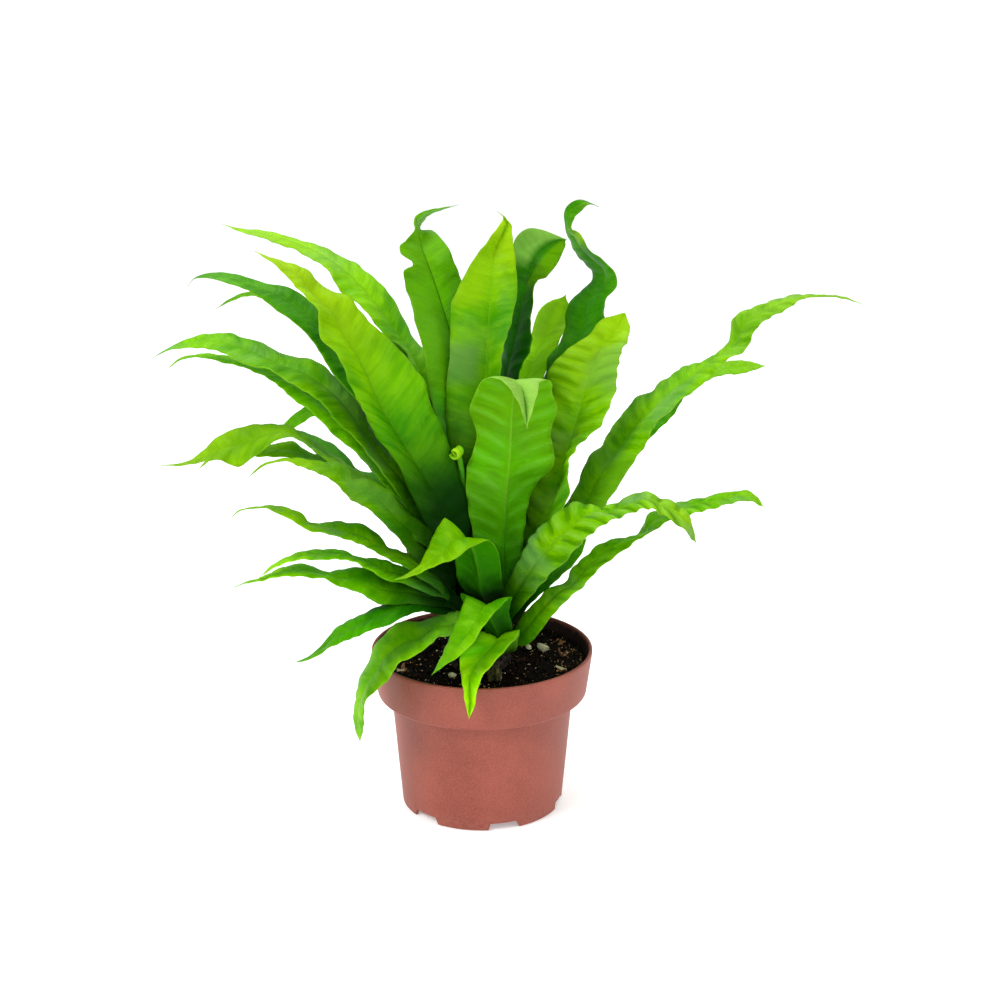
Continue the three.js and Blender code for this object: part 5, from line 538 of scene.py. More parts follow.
        [22.2, 45, 192.6, 14.8, 55.1, 189.8, 29.4, 32.5, 196],
        [24.2, 55, 212.8, 16.5, 65.1, 210.2, 31.6, 42.6, 215.9],
        [27.5, 62.4, 231.4, 18.2, 69.6, 228.6, 36.7, 53.1, 234.7],
        [34.2, 68.5, 243.4, 27.6, 73.2, 240.9, 40.7, 62.5, 246.1],
        [41.5, 73.3, 257.1, 35.9, 74.8, 258.7, 47, 71.8, 255.4],
        [46.4, 76.2, 268, 46.5, 76.7, 267.9, 46.4, 75.8, 268.1]]),
    "frond_33": ("dark", [
        [12, 13.7, 89.9, 10.4, 14.3, 90.2, 13.2, 12.2, 90.2],
        [21.5, 26.8, 114.8, 12.9, 30.5, 116.8, 27.4, 19.5, 116.6],
        [33.6, 45.5, 133.7, 22, 52.2, 137.7, 42.7, 35.5, 137.3],
        [47.8, 62.2, 137.7, 40.5, 69.5, 140.8, 56, 56, 141.1],
        [58.7, 74, 125.7, 58.4, 74.4, 125.8, 59.1, 73.8, 125.8]]),
    "frond_34": ("dark", [
        [6.7, 16.8, 90, 4.5, 16.8, 90.3, 8.5, 15.5, 90.2],
        [11.3, 30, 125, 1.3, 31, 126.5, 19.4, 24, 126.6],
        [18.9, 52.9, 154.9, 2.8, 56.3, 158.3, 31.9, 43.4, 159.4],
        [29.1, 76.8, 167.9, 13.9, 83.4, 171.5, 43.1, 70, 174.8],
        [39.4, 98.5, 157.9, 29.8, 104.4, 159, 49.8, 97, 162.3],
        [46.6, 110.7, 137.9, 46.2, 110.9, 137.9, 47.1, 110.7, 138.1]]),
    "frond_35": ("dark", [
        [-10.5, 14.1, 91.7, -12.2, 12.7, 92, -8.3, 14.4, 92],
        [-17.6, 31.3, 127.4, -25.3, 24.9, 129, -7.9, 33.1, 129.2],
        [-25.3, 58.6, 157.1, -38, 48.8, 161, -10, 62.9, 161.5],
        [-39.5, 85, 169.2, -53.6, 77.2, 174.5, -25.3, 92.8, 174.5],
        [-52.5, 107.5, 157.2, -63.1, 104.2, 160.3, -44.1, 115, 159.5],
        [-60.6, 119, 134.2, -61.1, 118.9, 134.3, -60.2, 119.4, 134.2]]),
    "frond_36": ("mid", [
        [-1.1, 11.5, 99.4, -3.3, 10.8, 99.5, 1.2, 10.9, 99.6],
        [-1.5, 26, 148.7, -11.9, 22.6, 149.7, 9, 23, 150],
        [-1.9, 49.9, 193.4, -18.8, 45.2, 195.8, 15, 45.8, 197.3],
        [-4.3, 79.6, 220.6, -21.8, 76.5, 224.3, 12.5, 78.3, 227.2],
        [-7.8, 113.2, 220.7, -19.6, 112.7, 223.2, 3, 116.1, 225.3],
        [-11, 136.8, 198.7, -11.5, 136.8, 198.8, -10.6, 137, 198.8]]),
    "frond_37": ("mid", [
        [0.6, 17.2, 91.9, -1.8, 16.6, 92.1, 2.9, 16.4, 92.1],
        [0.7, 30.8, 134.7, -9.4, 27.6, 136.1, 11, 28, 135.9],
        [0.7, 53.6, 174.5, -15.4, 48.6, 178.8, 17.7, 50.5, 177.3],
        [0.3, 85.9, 197.5, -16.9, 83.1, 205.1, 19, 85.2, 201.1],
        [-0.8, 120, 195.5, -13.8, 122.2, 201.9, 13.6, 121.4, 197.3],
        [-2.6, 149.9, 169.5, -3, 150.1, 169.7, -2.1, 149.9, 169.5]]),
    "frond_38": ("mid", [
        [-5.6, 17.4, 89.9, -7.5, 16, 90.2, -3.2, 17.4, 90.2],
        [-10.1, 33.1, 129.8, -18.9, 27.9, 131.2, 0.1, 32.8, 131.5],
        [-17, 58.4, 164.7, -32.1, 51.8, 167.7, -0.9, 58.2, 169.5],
        [-24.8, 89.4, 181.8, -41.9, 84.8, 184.9, -8.7, 91.8, 189.6],
        [-31.7, 120.7, 175.8, -44.9, 118.6, 176.8, -21.1, 126.3, 181.8],
        [-35.8, 144.3, 149.8, -36.3, 144.3, 149.8, -35.5, 144.6, 150]]),
    "frond_39": ("dark", [
        [4, 18.6, 87, 2, 18.6, 87.4, 5.7, 17.8, 87.3],
        [8.4, 37.2, 112, -0.5, 37.6, 114, 16.3, 33.1, 114.2],
        [15.4, 64.3, 128, 1.2, 67.3, 131.6, 28.5, 59.5, 133.3],
        [24.1, 95.1, 126, 12, 99.9, 128.3, 36.3, 93.8, 131.1],
        [31.1, 116, 104, 30.6, 116.2, 104, 31.5, 116.1, 104.1]]),
    "frond_40": ("dark", [
        [-8.9, 16.9, 86.9, -10.5, 15.9, 87.3, -7, 17.1, 87.4],
        [-16, 36.7, 107.8, -23.6, 31.8, 110.4, -7, 38.5, 110.1],
        [-23, 64.2, 121.8, -35.4, 57.8, 127.4, -9.4, 69.5, 125.3],
        [-34.8, 89.7, 117.8, -45.9, 87.2, 123, -24.1, 96, 119.3],
        [-43, 103.6, 97.8, -43.5, 103.5, 98, -42.6, 103.8, 97.8]]),
}

# What sets single fronds apart: shape values, then material values.
LOOKS = {
    "frond_04": ({}, {'base': (30, 52, 0.98), 'pale': (0.065, 0.38, 0.0008), 'tip': 0.3, 'black': True}),
    "frond_01": ({}, {'light': 1.12, 'base': (28, 64, 0.96), 'pale': (0.055, 0.28, 0.001), 'tip': 0.1, 'black': True}),
    "frond_02": ({}, {'light': 2.05, 'base': (18, 40, 0.95)}),
    "frond_03": ({}, {'light': 1.05, 'base': (14, 44, 0.75), 'tip': 0.0, 'sheen': 0.45}),
    "frond_05": ({}, {'light': 1.2, 'base': (42, 108, 0.95)}),
    "frond_06": ({}, {'shade': 'bright', 'light': 1.1, 'tip': 0.3, 'sheen': 0.6, 'base': (46, 104, 0.96), 'black': True}),
    "frond_07": ({}, {'shade': 'bright', 'light': 1.45, 'sheen': 0.75, 'base': (34, 90, 0.94)}),
    "frond_08": ({}, {'shade': 'bright', 'light': 0.98, 'sheen': 0.65, 'base': (30, 96, 0.93)}),
    "frond_09": ({'pleat': 0.6, 'pleat_gap': 10.5, 'slant': 0.3, 'ruffle': 0.03}, {'shade': 'bright', 'light': 0.92, 'base': (16, 56, 0.88), 'sheen': 0.75, 'bands': 0.42, 'rib_show': 0.5}),
    "frond_10": ({'ruffle': 0.06, 'pleat': 0.4}, {'shade': 'bright', 'light': 0.98, 'sheen': 0.6, 'tip': 0.05, 'base': (8, 34, 0.8), 'bands': 0.2}),
    "frond_11": ({}, {'shade': 'mid', 'light': 1.25, 'sheen': 0.5, 'base': (10, 60, 0.85), 'lobes_and_painted_light': [(-1, 0.5, 0.74, (0.13, 0.32, 0.035)), (1, 0.5, 0.74, (0.13, 0.32, 0.035))]}),
    "frond_12": ({}, {'shade': 'bright', 'light': 0.86, 'base': (50, 116, 0.96), 'tip': 0.3, 'sheen': 0.4, 'black': True}),
    "frond_13": ({}, {'shade': 'bright', 'light': 0.88, 'base': (46, 116, 0.95), 'sheen': 0.3}),
    "frond_14": ({}, {'shade': 'bright', 'light': 0.9}),
    "frond_15": ({'ruffle': 0.06, 'wave': 30.0, 'pleat': 0.34}, {'light': 1.14, 'tip': 0.75, 'brown': 0.45, 'turned': True, 'base': (20, 70, 0.8), 'pale': (0.36, 0.64, 0.1), 'bands': 0.16, 'rib_show': 0.5, 'deep': (0.105, 0.33, 0.0)}),
    "frond_16": ({'ruffle': 0.07, 'wave': 34.0, 'pleat': 0.35, 'pleat_gap': 12.0}, {'light': 1.08, 'tip': 0.8, 'tip_from': 0.45, 'base': (72, 142, 0.95), 'bands': 0.08, 'deep': (0.06, 0.36, 0.0), 'sheen': 0.0}),
    "frond_19": ({'ruffle': 0.04, 'pleat': 0.12}, {'shade': 'mid', 'light': 1.0, 'base': (28, 84, 0.86), 'tip': 0.1, 'sheen': 0.15}),
    "frond_20": ({}, {'shade': 'bright', 'light': 1.02, 'base': (46, 112, 0.96), 'tip': 0.0, 'sheen': 0.55}),
    "frond_21": ({}, {'shade': 'bright', 'light': 1.2, 'base': (44, 108, 0.93), 'sheen': 0.85}),
    "frond_22": ({}, {'shade': 'mid', 'light': 0.85, 'tip': 0.1, 'sheen': 0.25}),
    "frond_23": ({}, {'shade': 'mid', 'light': 1.3}),
    "frond_25": ({}, {'light': 1.12, 'base': (28, 100, 0.92), 'tip': 0.55, 'sheen': 0.25}),
    "frond_24": ({}, {'light': 0.6}),
    "frond_26": ({}, {'tip': 0.9, 'light': 1.1}),
    "frond_28": ({'bites': [(0.8, -1, 0.42, 2.6), (0.885, 1, 0.3, 1.8), (0.935, -1, 0.22, 1.4), (0.965, 1, 0.3, 1.6)]}, {'light': 1.12, 'tip': 0.6, 'sheen': 0.25, 'rib_dark': True, 'rib_show': 0.7, 'lobes_and_painted_light': [(-1, 0.5, 0.8, (0.14, 0.44, 0.003))]}),
    "frond_27": ({'ruffle': 0.06, 'pleat': 0.3}, {'light': 0.95, 'tip': 0.9, 'tip_from': 0.74, 'sheen': 0.15, 'base': (60, 140, 0.93), 'bands': 0.08, 'rib_show': 0.5, 'deep': (0.07, 0.38, 0.0), 'lobes_and_painted_light': [(-1, 0.55, 0.67, (0.2, 0.41, 0.08)), (-1, 0.73, 0.91, (0.32, 0.61, 0.003)), (-1, 0.92, 1.1, (0.6, 0.86, 0.01)), (1, 0.9, 1.1, (0.5, 0.8, 0.01))]}),
    "frond_31": ({'pleat': 0.3}, {'light': 1.2, 'tip': 0.2, 'rib_show': 0.12, 'base': (60, 160, 0.75), 'lobes_and_painted_light': [(-1, 0.86, 1.1, (0.4, 0.78, 0.12)), (1, 0.8, 1.1, (0.19, 0.5, 0.0))]}),
    "frond_29": ({}, {'shade': 'mid', 'light': 0.98, 'tip': 0.1, 'rib_show': 0.15, 'base': (60, 200, 0.55), 'lobes_and_painted_light': [(1, 0.83, 0.895, (0.5, 0.78, 0.03)), (1, 0.93, 1.1, (0.24, 0.52, 0.02))]}),
    "frond_18": ({'ruffle': 0.1, 'pleat': 0.55, 'wave': 26.0}, {'base': (20, 84, 0.86), 'bands': 0.2, 'tip': 0.5, 'sheen': 0.35, 'rib_show': 0.6}),
    "frond_17": ({'pleat': 0.35}, {'shade': 'bright', 'light': 0.94, 'base': (0, 20, 0.5), 'sheen': 0.5, 'bands': 0.16, 'lobes_and_painted_light': [(-1, 0.0, 0.4, (0.19, 0.5, 0.01)), (1, 0.0, 0.4, (0.19, 0.5, 0.01))]}),
    "frond_32": ({'full': 0.7}, {'light': 1.2, 'tip': 0.55, 'lobes_and_painted_light': [(-1, 0.84, 1.1, (0.3, 0.6, 0.02)), (1, 0.84, 1.1, (0.3, 0.6, 0.02))]}),
}

# ---------------------------------------------------------------- helpers


def unit(v):
    return v / np.maximum(np.linalg.norm(v, axis=-1, keepdims=True), 1e-12)


def smooth01(x, a, b):
    t = np.clip((x - a) / (b - a), 0.0, 1.0)
    return t * t * (3 - 2 * t)


def spline(P, u):
    """Catmull-Rom through the rows of P at the station numbers u."""
    P = np.asarray(P, float)
    m = len(P)
    k = np.clip(np.floor(u).astype(int), 0, m - 2)
    t = (u - k)[:, None]
    p0 = np.where((k == 0)[:, None], 2 * P[0] - P[1], P[np.maximum(k - 1, 0)])
    p1, p2 = P[k], P[k + 1]
    p3 = np.where((k == m - 2)[:, None], 2 * P[-1] - P[-2], P[np.minimum(k + 2, m - 1)])
    return 0.5 * (2 * p1 + (p2 - p0) * t + (2 * p0 - 5 * p1 + 4 * p2 - p3) * t * t + (3 * p1 - p0 - 3 * p2 + p3) * t ** 3)


def lattice(ix, iy, iz, seed):
    h = (ix * 374761393 + iy * 668265263 + iz * 2147483647 + seed * 1274126177) & 0xFFFFFFFF
    h = ((h ^ (h >> 13)) * 1103515245) & 0xFFFFFFFF
    h = ((h ^ (h >> 16)) * 2654435761) & 0xFFFFFFFF
    return ((h ^ (h >> 15)) & 0xFFFFFF) / float(0xFFFFFF)


def value_noise(p, seed=0):
    """Smooth noise from -1 to 1 at the points p."""
    p = np.asarray(p, float)
    i = np.floor(p).astype(np.int64)
    f = p - i
    f = f * f * (3 - 2 * f)
    out = np.zeros(len(p))
    for dx in (0, 1):
        for dy in (0, 1):
            for dz in (0, 1):
                w = (f[:, 0] if dx else 1 - f[:, 0]) * (f[:, 1] if dy else 1 - f[:, 1]) * (f[:, 2] if dz else 1 - f[:, 2])
                out += w * lattice(i[:, 0] + dx, i[:, 1] + dy, i[:, 2] + dz, seed)
    return out * 2 - 1


def fbm(p, octaves, seed):
    out, amp = 0.0, 1.0
    for o in range(octaves):
        out = out + amp * value_noise(np.asarray(p) * 2.0 ** o + 17.3 * o, seed + o)
        amp *= 0.5
    return out


def mesh_piece(name, verts, faces, material, smooth=True, attributes=None):
    """One mesh object from points in millimetres."""
    me = bpy.data.meshes.new(name)
    me.from_pydata((np.asarray(verts, float) * MM).tolist(), [], faces)
    me.update()
    if smooth:
        me.polygons.foreach_set("use_smooth", np.ones(len(me.polygons), bool))
    for key, values in (attributes or {}).items():
        layer = me.attributes.new(key, "FLOAT", "POINT")
        layer.data.foreach_set("value", np.asarray(values, np.float32))
    ob = bpy.data.objects.new(name, me)
    bpy.context.scene.collection.objects.link(ob)
    me.materials.append(material)
    return ob


def attach(ob, slot, *nodes):
    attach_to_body(ob, "root")
    if nodes:
        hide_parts(*nodes)
    return ob


# ---------------------------------------------------------------- node helpers


class Nodes:
    """Short hand for building a material."""

    def __init__(self, name):
        self.mat = bpy.data.materials.new(name)
        self.mat.use_nodes = True
        self.tree = self.mat.node_tree
        self.tree.nodes.clear()
        self.out = self.tree.nodes.new("ShaderNodeOutputMaterial")

    def put(self, socket, value):
        if isinstance(value, bpy.types.NodeSocket):
            self.tree.links.new(value, socket)
        elif isinstance(value, (tuple, list)) and len(value) == 3 and socket.type == "RGBA":
            socket.default_value = (*value, 1.0)
        else:
            socket.default_value = value

    def attr(self, name):
        n = self.tree.nodes.new("ShaderNodeAttribute")
        n.attribute_type = "GEOMETRY"
        n.attribute_name = name
        return n.outputs["Fac"]

    def math(self, op, *values, clamp=False):
        n = self.tree.nodes.new("ShaderNodeMath")
        n.operation = op
        n.use_clamp = clamp
        for s, v in zip(n.inputs, values):
            self.put(s, v)
        return n.outputs[0]

    def between(self, value, a, b, lo=0.0, hi=1.0, smooth=True):
        n = self.tree.nodes.new("ShaderNodeMapRange")
        n.interpolation_type = "SMOOTHSTEP" if smooth else "LINEAR"
        n.clamp = True
        self.put(n.inputs["Value"], value)
        n.inputs["From Min"].default_value = a
        n.inputs["From Max"].default_value = b
        n.inputs["To Min"].default_value = lo
        n.inputs["To Max"].default_value = hi
        return n.outputs["Result"]

    def combine(self, x, y, z):
        n = self.tree.nodes.new("ShaderNodeCombineXYZ")
        for s, v in zip(n.inputs, (x, y, z)):
            self.put(s, v)
        return n.outputs[0]

    def position(self):
        return self.tree.nodes.new("ShaderNodeTexCoord").outputs["Object"]

    def noise(self, vector, scale, detail=2.0, rough=0.5, distortion=0.0):
        n = self.tree.nodes.new("ShaderNodeTexNoise")
        self.put(n.inputs["Vector"], vector)
        n.inputs["Scale"].default_value = scale
        n.inputs["Detail"].default_value = detail
        n.inputs["Roughness"].default_value = rough
        n.inputs["Distortion"].default_value = distortion
        return n.outputs["Fac"]

    def voronoi(self, vector, scale, feature="F1", out="Distance", randomness=1.0):
        n = self.tree.nodes.new("ShaderNodeTexVoronoi")
        n.feature = feature
        self.put(n.inputs["Vector"], vector)
        n.inputs["Scale"].default_value = scale
        n.inputs["Randomness"].default_value = randomness
        return n.outputs[out]

    def mix(self, fac, a, b, mode="MIX"):
        n = self.tree.nodes.new("ShaderNodeMix")
        n.data_type = "RGBA"
        n.blend_type = mode
        n.clamp_result = False
        self.put(n.inputs[0], fac)
        self.put(n.inputs[6], a)
        self.put(n.inputs[7], b)
        return n.outputs[2]

    def ramp(self, fac, stops):
        n = self.tree.nodes.new("ShaderNodeValToRGB")
        self.put(n.inputs[0], fac)
        e = n.color_ramp.elements
        while len(e) > 1:
            e.remove(e[-1])
        e[0].position, e[0].color = stops[0][0], (*stops[0][1], 1)
        for p, c in stops[1:]:
            x = e.new(p)
            x.color = (*c, 1)
        return n.outputs[0]

    def bump(self, height, distance, strength=1.0, normal=None):
        n = self.tree.nodes.new("ShaderNodeBump")
        n.inputs["Strength"].default_value = strength
        n.inputs["Distance"].default_value = distance
        self.put(n.inputs["Height"], height)
        if normal is not None:
            self.put(n.inputs["Normal"], normal)
        return n.outputs[0]

    def principled(self, colour, roughness, normal=None, **fixed):
        n = self.tree.nodes.new("ShaderNodeBsdfPrincipled")
        self.put(n.inputs["Base Color"], colour)
        self.put(n.inputs["Roughness"], roughness)
        if normal is not None:
            self.put(n.inputs["Normal"], normal)
        for k, v in fixed.items():
            self.put(n.inputs[k.replace("_", " ")], v)
        return n.outputs[0]

    def finish(self, shader):
        self.tree.links.new(shader, self.out.inputs["Surface"])
        return self.mat


def lin(r, g, b):
    """A colour given in 0..255 screen values."""
    return tuple((c / 255 / 12.92) if c <= 10.31475 else ((c / 255 + 0.055) / 1.055) ** 2.4 for c in (r, g, b))


def scale(c, k):
    return tuple(min(1.0, x * k) for x in c)


# ---------------------------------------------------------------- frond material

UPPER = {
    "bright": (lin(84, 168, 0), lin(150, 216, 0)),
    "mid": (lin(44, 134, 0), lin(96, 184, 0)),
    "dark": (lin(6, 78, 0), lin(40, 132, 0)),
}
UNDER = {"bright": lin(156, 208, 58), "mid": lin(122, 184, 44), "dark": lin(80, 152, 34)}
TIP = {"bright": lin(186, 216, 14), "mid": lin(150, 206, 16), "dark": lin(104, 178, 10)}
# deeper, purer greens that the painted shade near the crown passes through before it turns nearly black
CROWN_SHADE_GREEN = {"bright": lin(50, 146, 0), "mid": lin(32, 128, 0), "dark": lin(10, 92, 0)}
TRANSMIT = {"bright": lin(176, 232, 0), "mid": lin(112, 204, 0), "dark": lin(36, 142, 0)}


def leaf_material(name, tone, seed, light=1.0, tip=0.35, pleat=1.0, through=0.36, brown=0.3, turned=False, sheen=0.05, base=(24, 98, 0.88), pale=None, veins=1.0, bands=0.07, rib_show=0.42, rib_dark=False, lobes_and_painted_light=(), deep=None, tip_from=0.55, black=False):
    """A frond's two faces. light scales its colours, tip is how much yellower its end is, brown how far up the midrib
    is dark, turned gives the underside the upper face's colours, sheen is how much of it carries greyish patches of
    painted sheen, base gives how near the crown, in mm, the painted shade is darkest and no longer dark, and how dark,
    pale is the colour of the underside, bands how much lighter the crests of the pleats are painted than the valleys,
    as painted highlight and painted shade, rib_show how clearly the midrib shows, rib_dark that it is dark all along,
    lobes_and_painted_light the side, the start and end along and the colour of lighter parts, partly turned-over lobes
    and partly painted highlights and painted light, deep the darker of the upper face's two colours, tip_from where the
    yellower end starts, black that its foot lies in the darkest part of the crown, so that its painted shade there is
    nearly black.
    """
    g = Nodes(name)
    along, across, lat, run, under = (g.attr(a) for a in ("f_along", "f_across", "f_lat", "f_run", "f_under"))
    here = g.combine(lat, run, float(seed) * 3.7)
    side = g.math("ABSOLUTE", lat)
    edge = g.math("ABSOLUTE", across)
    # veins leave the midrib at a steep angle, close together, and wander a little
    wander = g.noise(here, 0.09, 2.0, 0.5)
    slanted = g.math("ADD", g.math("MULTIPLY_ADD", side, -0.32, run), g.math("MULTIPLY", wander, 5.0))
    fine = g.math("PINGPONG", slanted, 0.62)
    fine = g.between(fine, 0.06, 0.5)
    broad = g.noise(g.combine(g.math("MULTIPLY", side, 0.05), g.math("MULTIPLY", slanted, 0.34), float(seed)), 1.0, 2.0, 0.55)
    patch = g.noise(here, 0.045, 3.0, 0.55)
    speck = g.noise(here, 0.9, 2.0, 0.6)
    deep, light_side = scale(deep or UPPER[tone][0], light), scale(UPPER[tone][1], light)
    below = scale(pale or UNDER[tone], light)
    mixed = g.math("ADD", g.math("MULTIPLY", g.between(patch, 0.34, 0.66), 0.66), g.math("MULTIPLY", g.between(broad, 0.32, 0.68), 0.34))
    upper = g.mix(mixed, deep, light_side)
    upper = g.mix(g.between(fine, 0, 1, 0.12 * veins, 0.0), upper, scale(deep, 0.62))
    upper = g.mix(g.between(speck, 0.62, 0.78, 0.0, 0.16), upper, scale(light_side, 1.15))
    # yellower towards the tip; the darkening towards the base is painted shade, further down
    upper = g.mix(g.between(along, tip_from, 1.0, 0.0, tip), upper, TIP[tone])
    # painted light on the pleats: the crests are painted lighter as a painted highlight, the valleys darker as painted
    # shade
    fold = g.math("ADD", g.attr("f_fold"), g.between(broad, 0.3, 0.7, -0.35, 0.35, smooth=False))
    pleat_highlight = g.mix(0.5, scale(light_side, 1.35), scale(lin(150, 196, 96), light))
    upper = g.mix(g.between(fold, 0.1, 1.1, 0.0, bands * 1.6), upper, pleat_highlight)
    upper = g.mix(g.between(fold, -1.1, -0.1, bands * 1.5, 0.0), upper, scale(deep, 0.55))
    lower = g.mix(mixed, scale(below, 0.72), below)
    lower = g.mix(g.between(fine, 0, 1, 0.13 * veins, 0.0), lower, scale(below, 0.45))
    # patches of painted sheen, greyer and duller in colour
    sheen_spots = g.between(g.noise(here, 0.03, 2.0, 0.5), 0.5, 0.68)
    upper = g.mix(g.math("MULTIPLY", sheen_spots, sheen), upper, scale(lin(126, 178, 96), light))
    colour = g.mix(g.math("SUBTRACT", 1.0, under) if turned else under, upper, lower)
    # painted shade: darker towards the crown, where the fronds' feet lie in the shadow of the rosette
    gap = g.tree.nodes.new("ShaderNodeVectorMath")
    gap.operation = "DISTANCE"
    g.put(gap.inputs[0], g.position())
    gap.inputs[1].default_value = (0.0, -0.004, 0.104)
    near = g.math("ADD", gap.outputs["Value"], g.between(patch, 0.2, 0.8, -0.008, 0.008, smooth=False))
    # midrib: pale green above, brown near the base and underneath
    rib_w = g.between(along, 0.0, 1.0, 1.35, 0.22, smooth=False)
    on_rib = g.between(g.math("DIVIDE", side, rib_w), 0.42, 0.95, 1.0, 0.0)
    rib = g.mix(g.between(along, brown * 0.5, brown * 1.25 + 0.04), lin(34, 22, 10), scale(lin(132, 186, 44), light))
    if rib_dark:
        rib = g.mix(g.between(along, 0.8, 0.95), lin(16, 40, 4), rib)
    colour = g.mix(g.math("MULTIPLY", on_rib, rib_show), colour, rib)
    # lighter parts along a margin: partly turned-over lobes in their own lighter colour, partly painted highlights and
    # painted light on parts in shade
    for which, start, end, tint in lobes_and_painted_light:
        over = g.between(across, 0.05, 0.4) if which > 0 else g.between(across, -0.4, -0.05, 1.0, 0.0)
        over = g.math("MULTIPLY", over, g.math("MULTIPLY", g.between(along, start, start + 0.04), g.between(along, end - 0.03, end + 0.01, 1.0, 0.0)))
        over = g.math("MULTIPLY", over, g.between(patch, 0.3, 0.6, 0.6, 0.92))
        colour = g.mix(over, colour, g.mix(mixed, scale(tint, 0.8), tint))
    # thin bright margin
    colour = g.mix(g.between(edge, 0.955, 0.995, 0.0, 0.26), colour, lin(176, 214, 60))
    # painted shade near the crown: first a deeper, purer green, then nearly black
    colour = g.mix(g.between(near, base[0] * MM, base[1] * 1.45 * MM, 0.8, 0.0), colour, scale(CROWN_SHADE_GREEN[tone], light))
    colour = g.mix(g.between(near, base[0] * MM, base[1] * 0.9 * MM, base[2], 0.0), colour, lin(1, 24, 1) if black else lin(0, 46, 0))
    rough = g.between(g.math("ADD", speck, g.math("MULTIPLY", under, 0.5)), 0.2, 1.2, 0.34, 0.52, smooth=False)
    bump = g.bump(broad, 1.1 * MM, 0.35 * pleat)
    bump = g.bump(fine, 0.05 * MM, 0.5 * veins, bump)
    bump = g.bump(speck, 0.1 * MM, 0.35, bump)
    face = g.principled(colour, rough, bump, IOR=1.36)
    face.node.inputs["Specular IOR Level"].default_value = 0.10
    # the light let through is darkened near the crown as well: painted shade
    glow = g.tree.nodes.new("ShaderNodeBsdfTranslucent")
    g.put(glow.inputs["Color"], g.mix(1.0, g.mix(0.5, scale(TRANSMIT[tone], light), colour), g.mix(g.between(near, base[0] * MM, base[1] * MM, base[2], 0.0), lin(250, 255, 120), lin(34, 96, 10)), "MULTIPLY"))
    g.put(glow.inputs["Normal"], bump)
    both = g.tree.nodes.new("ShaderNodeMixShader")
    both.inputs[0].default_value = through
    g.tree.links.new(face, both.inputs[1])
    g.tree.links.new(glow.outputs[0], both.inputs[2])
    return g.finish(both.outputs[0])


# ---------------------------------------------------------------- fronds


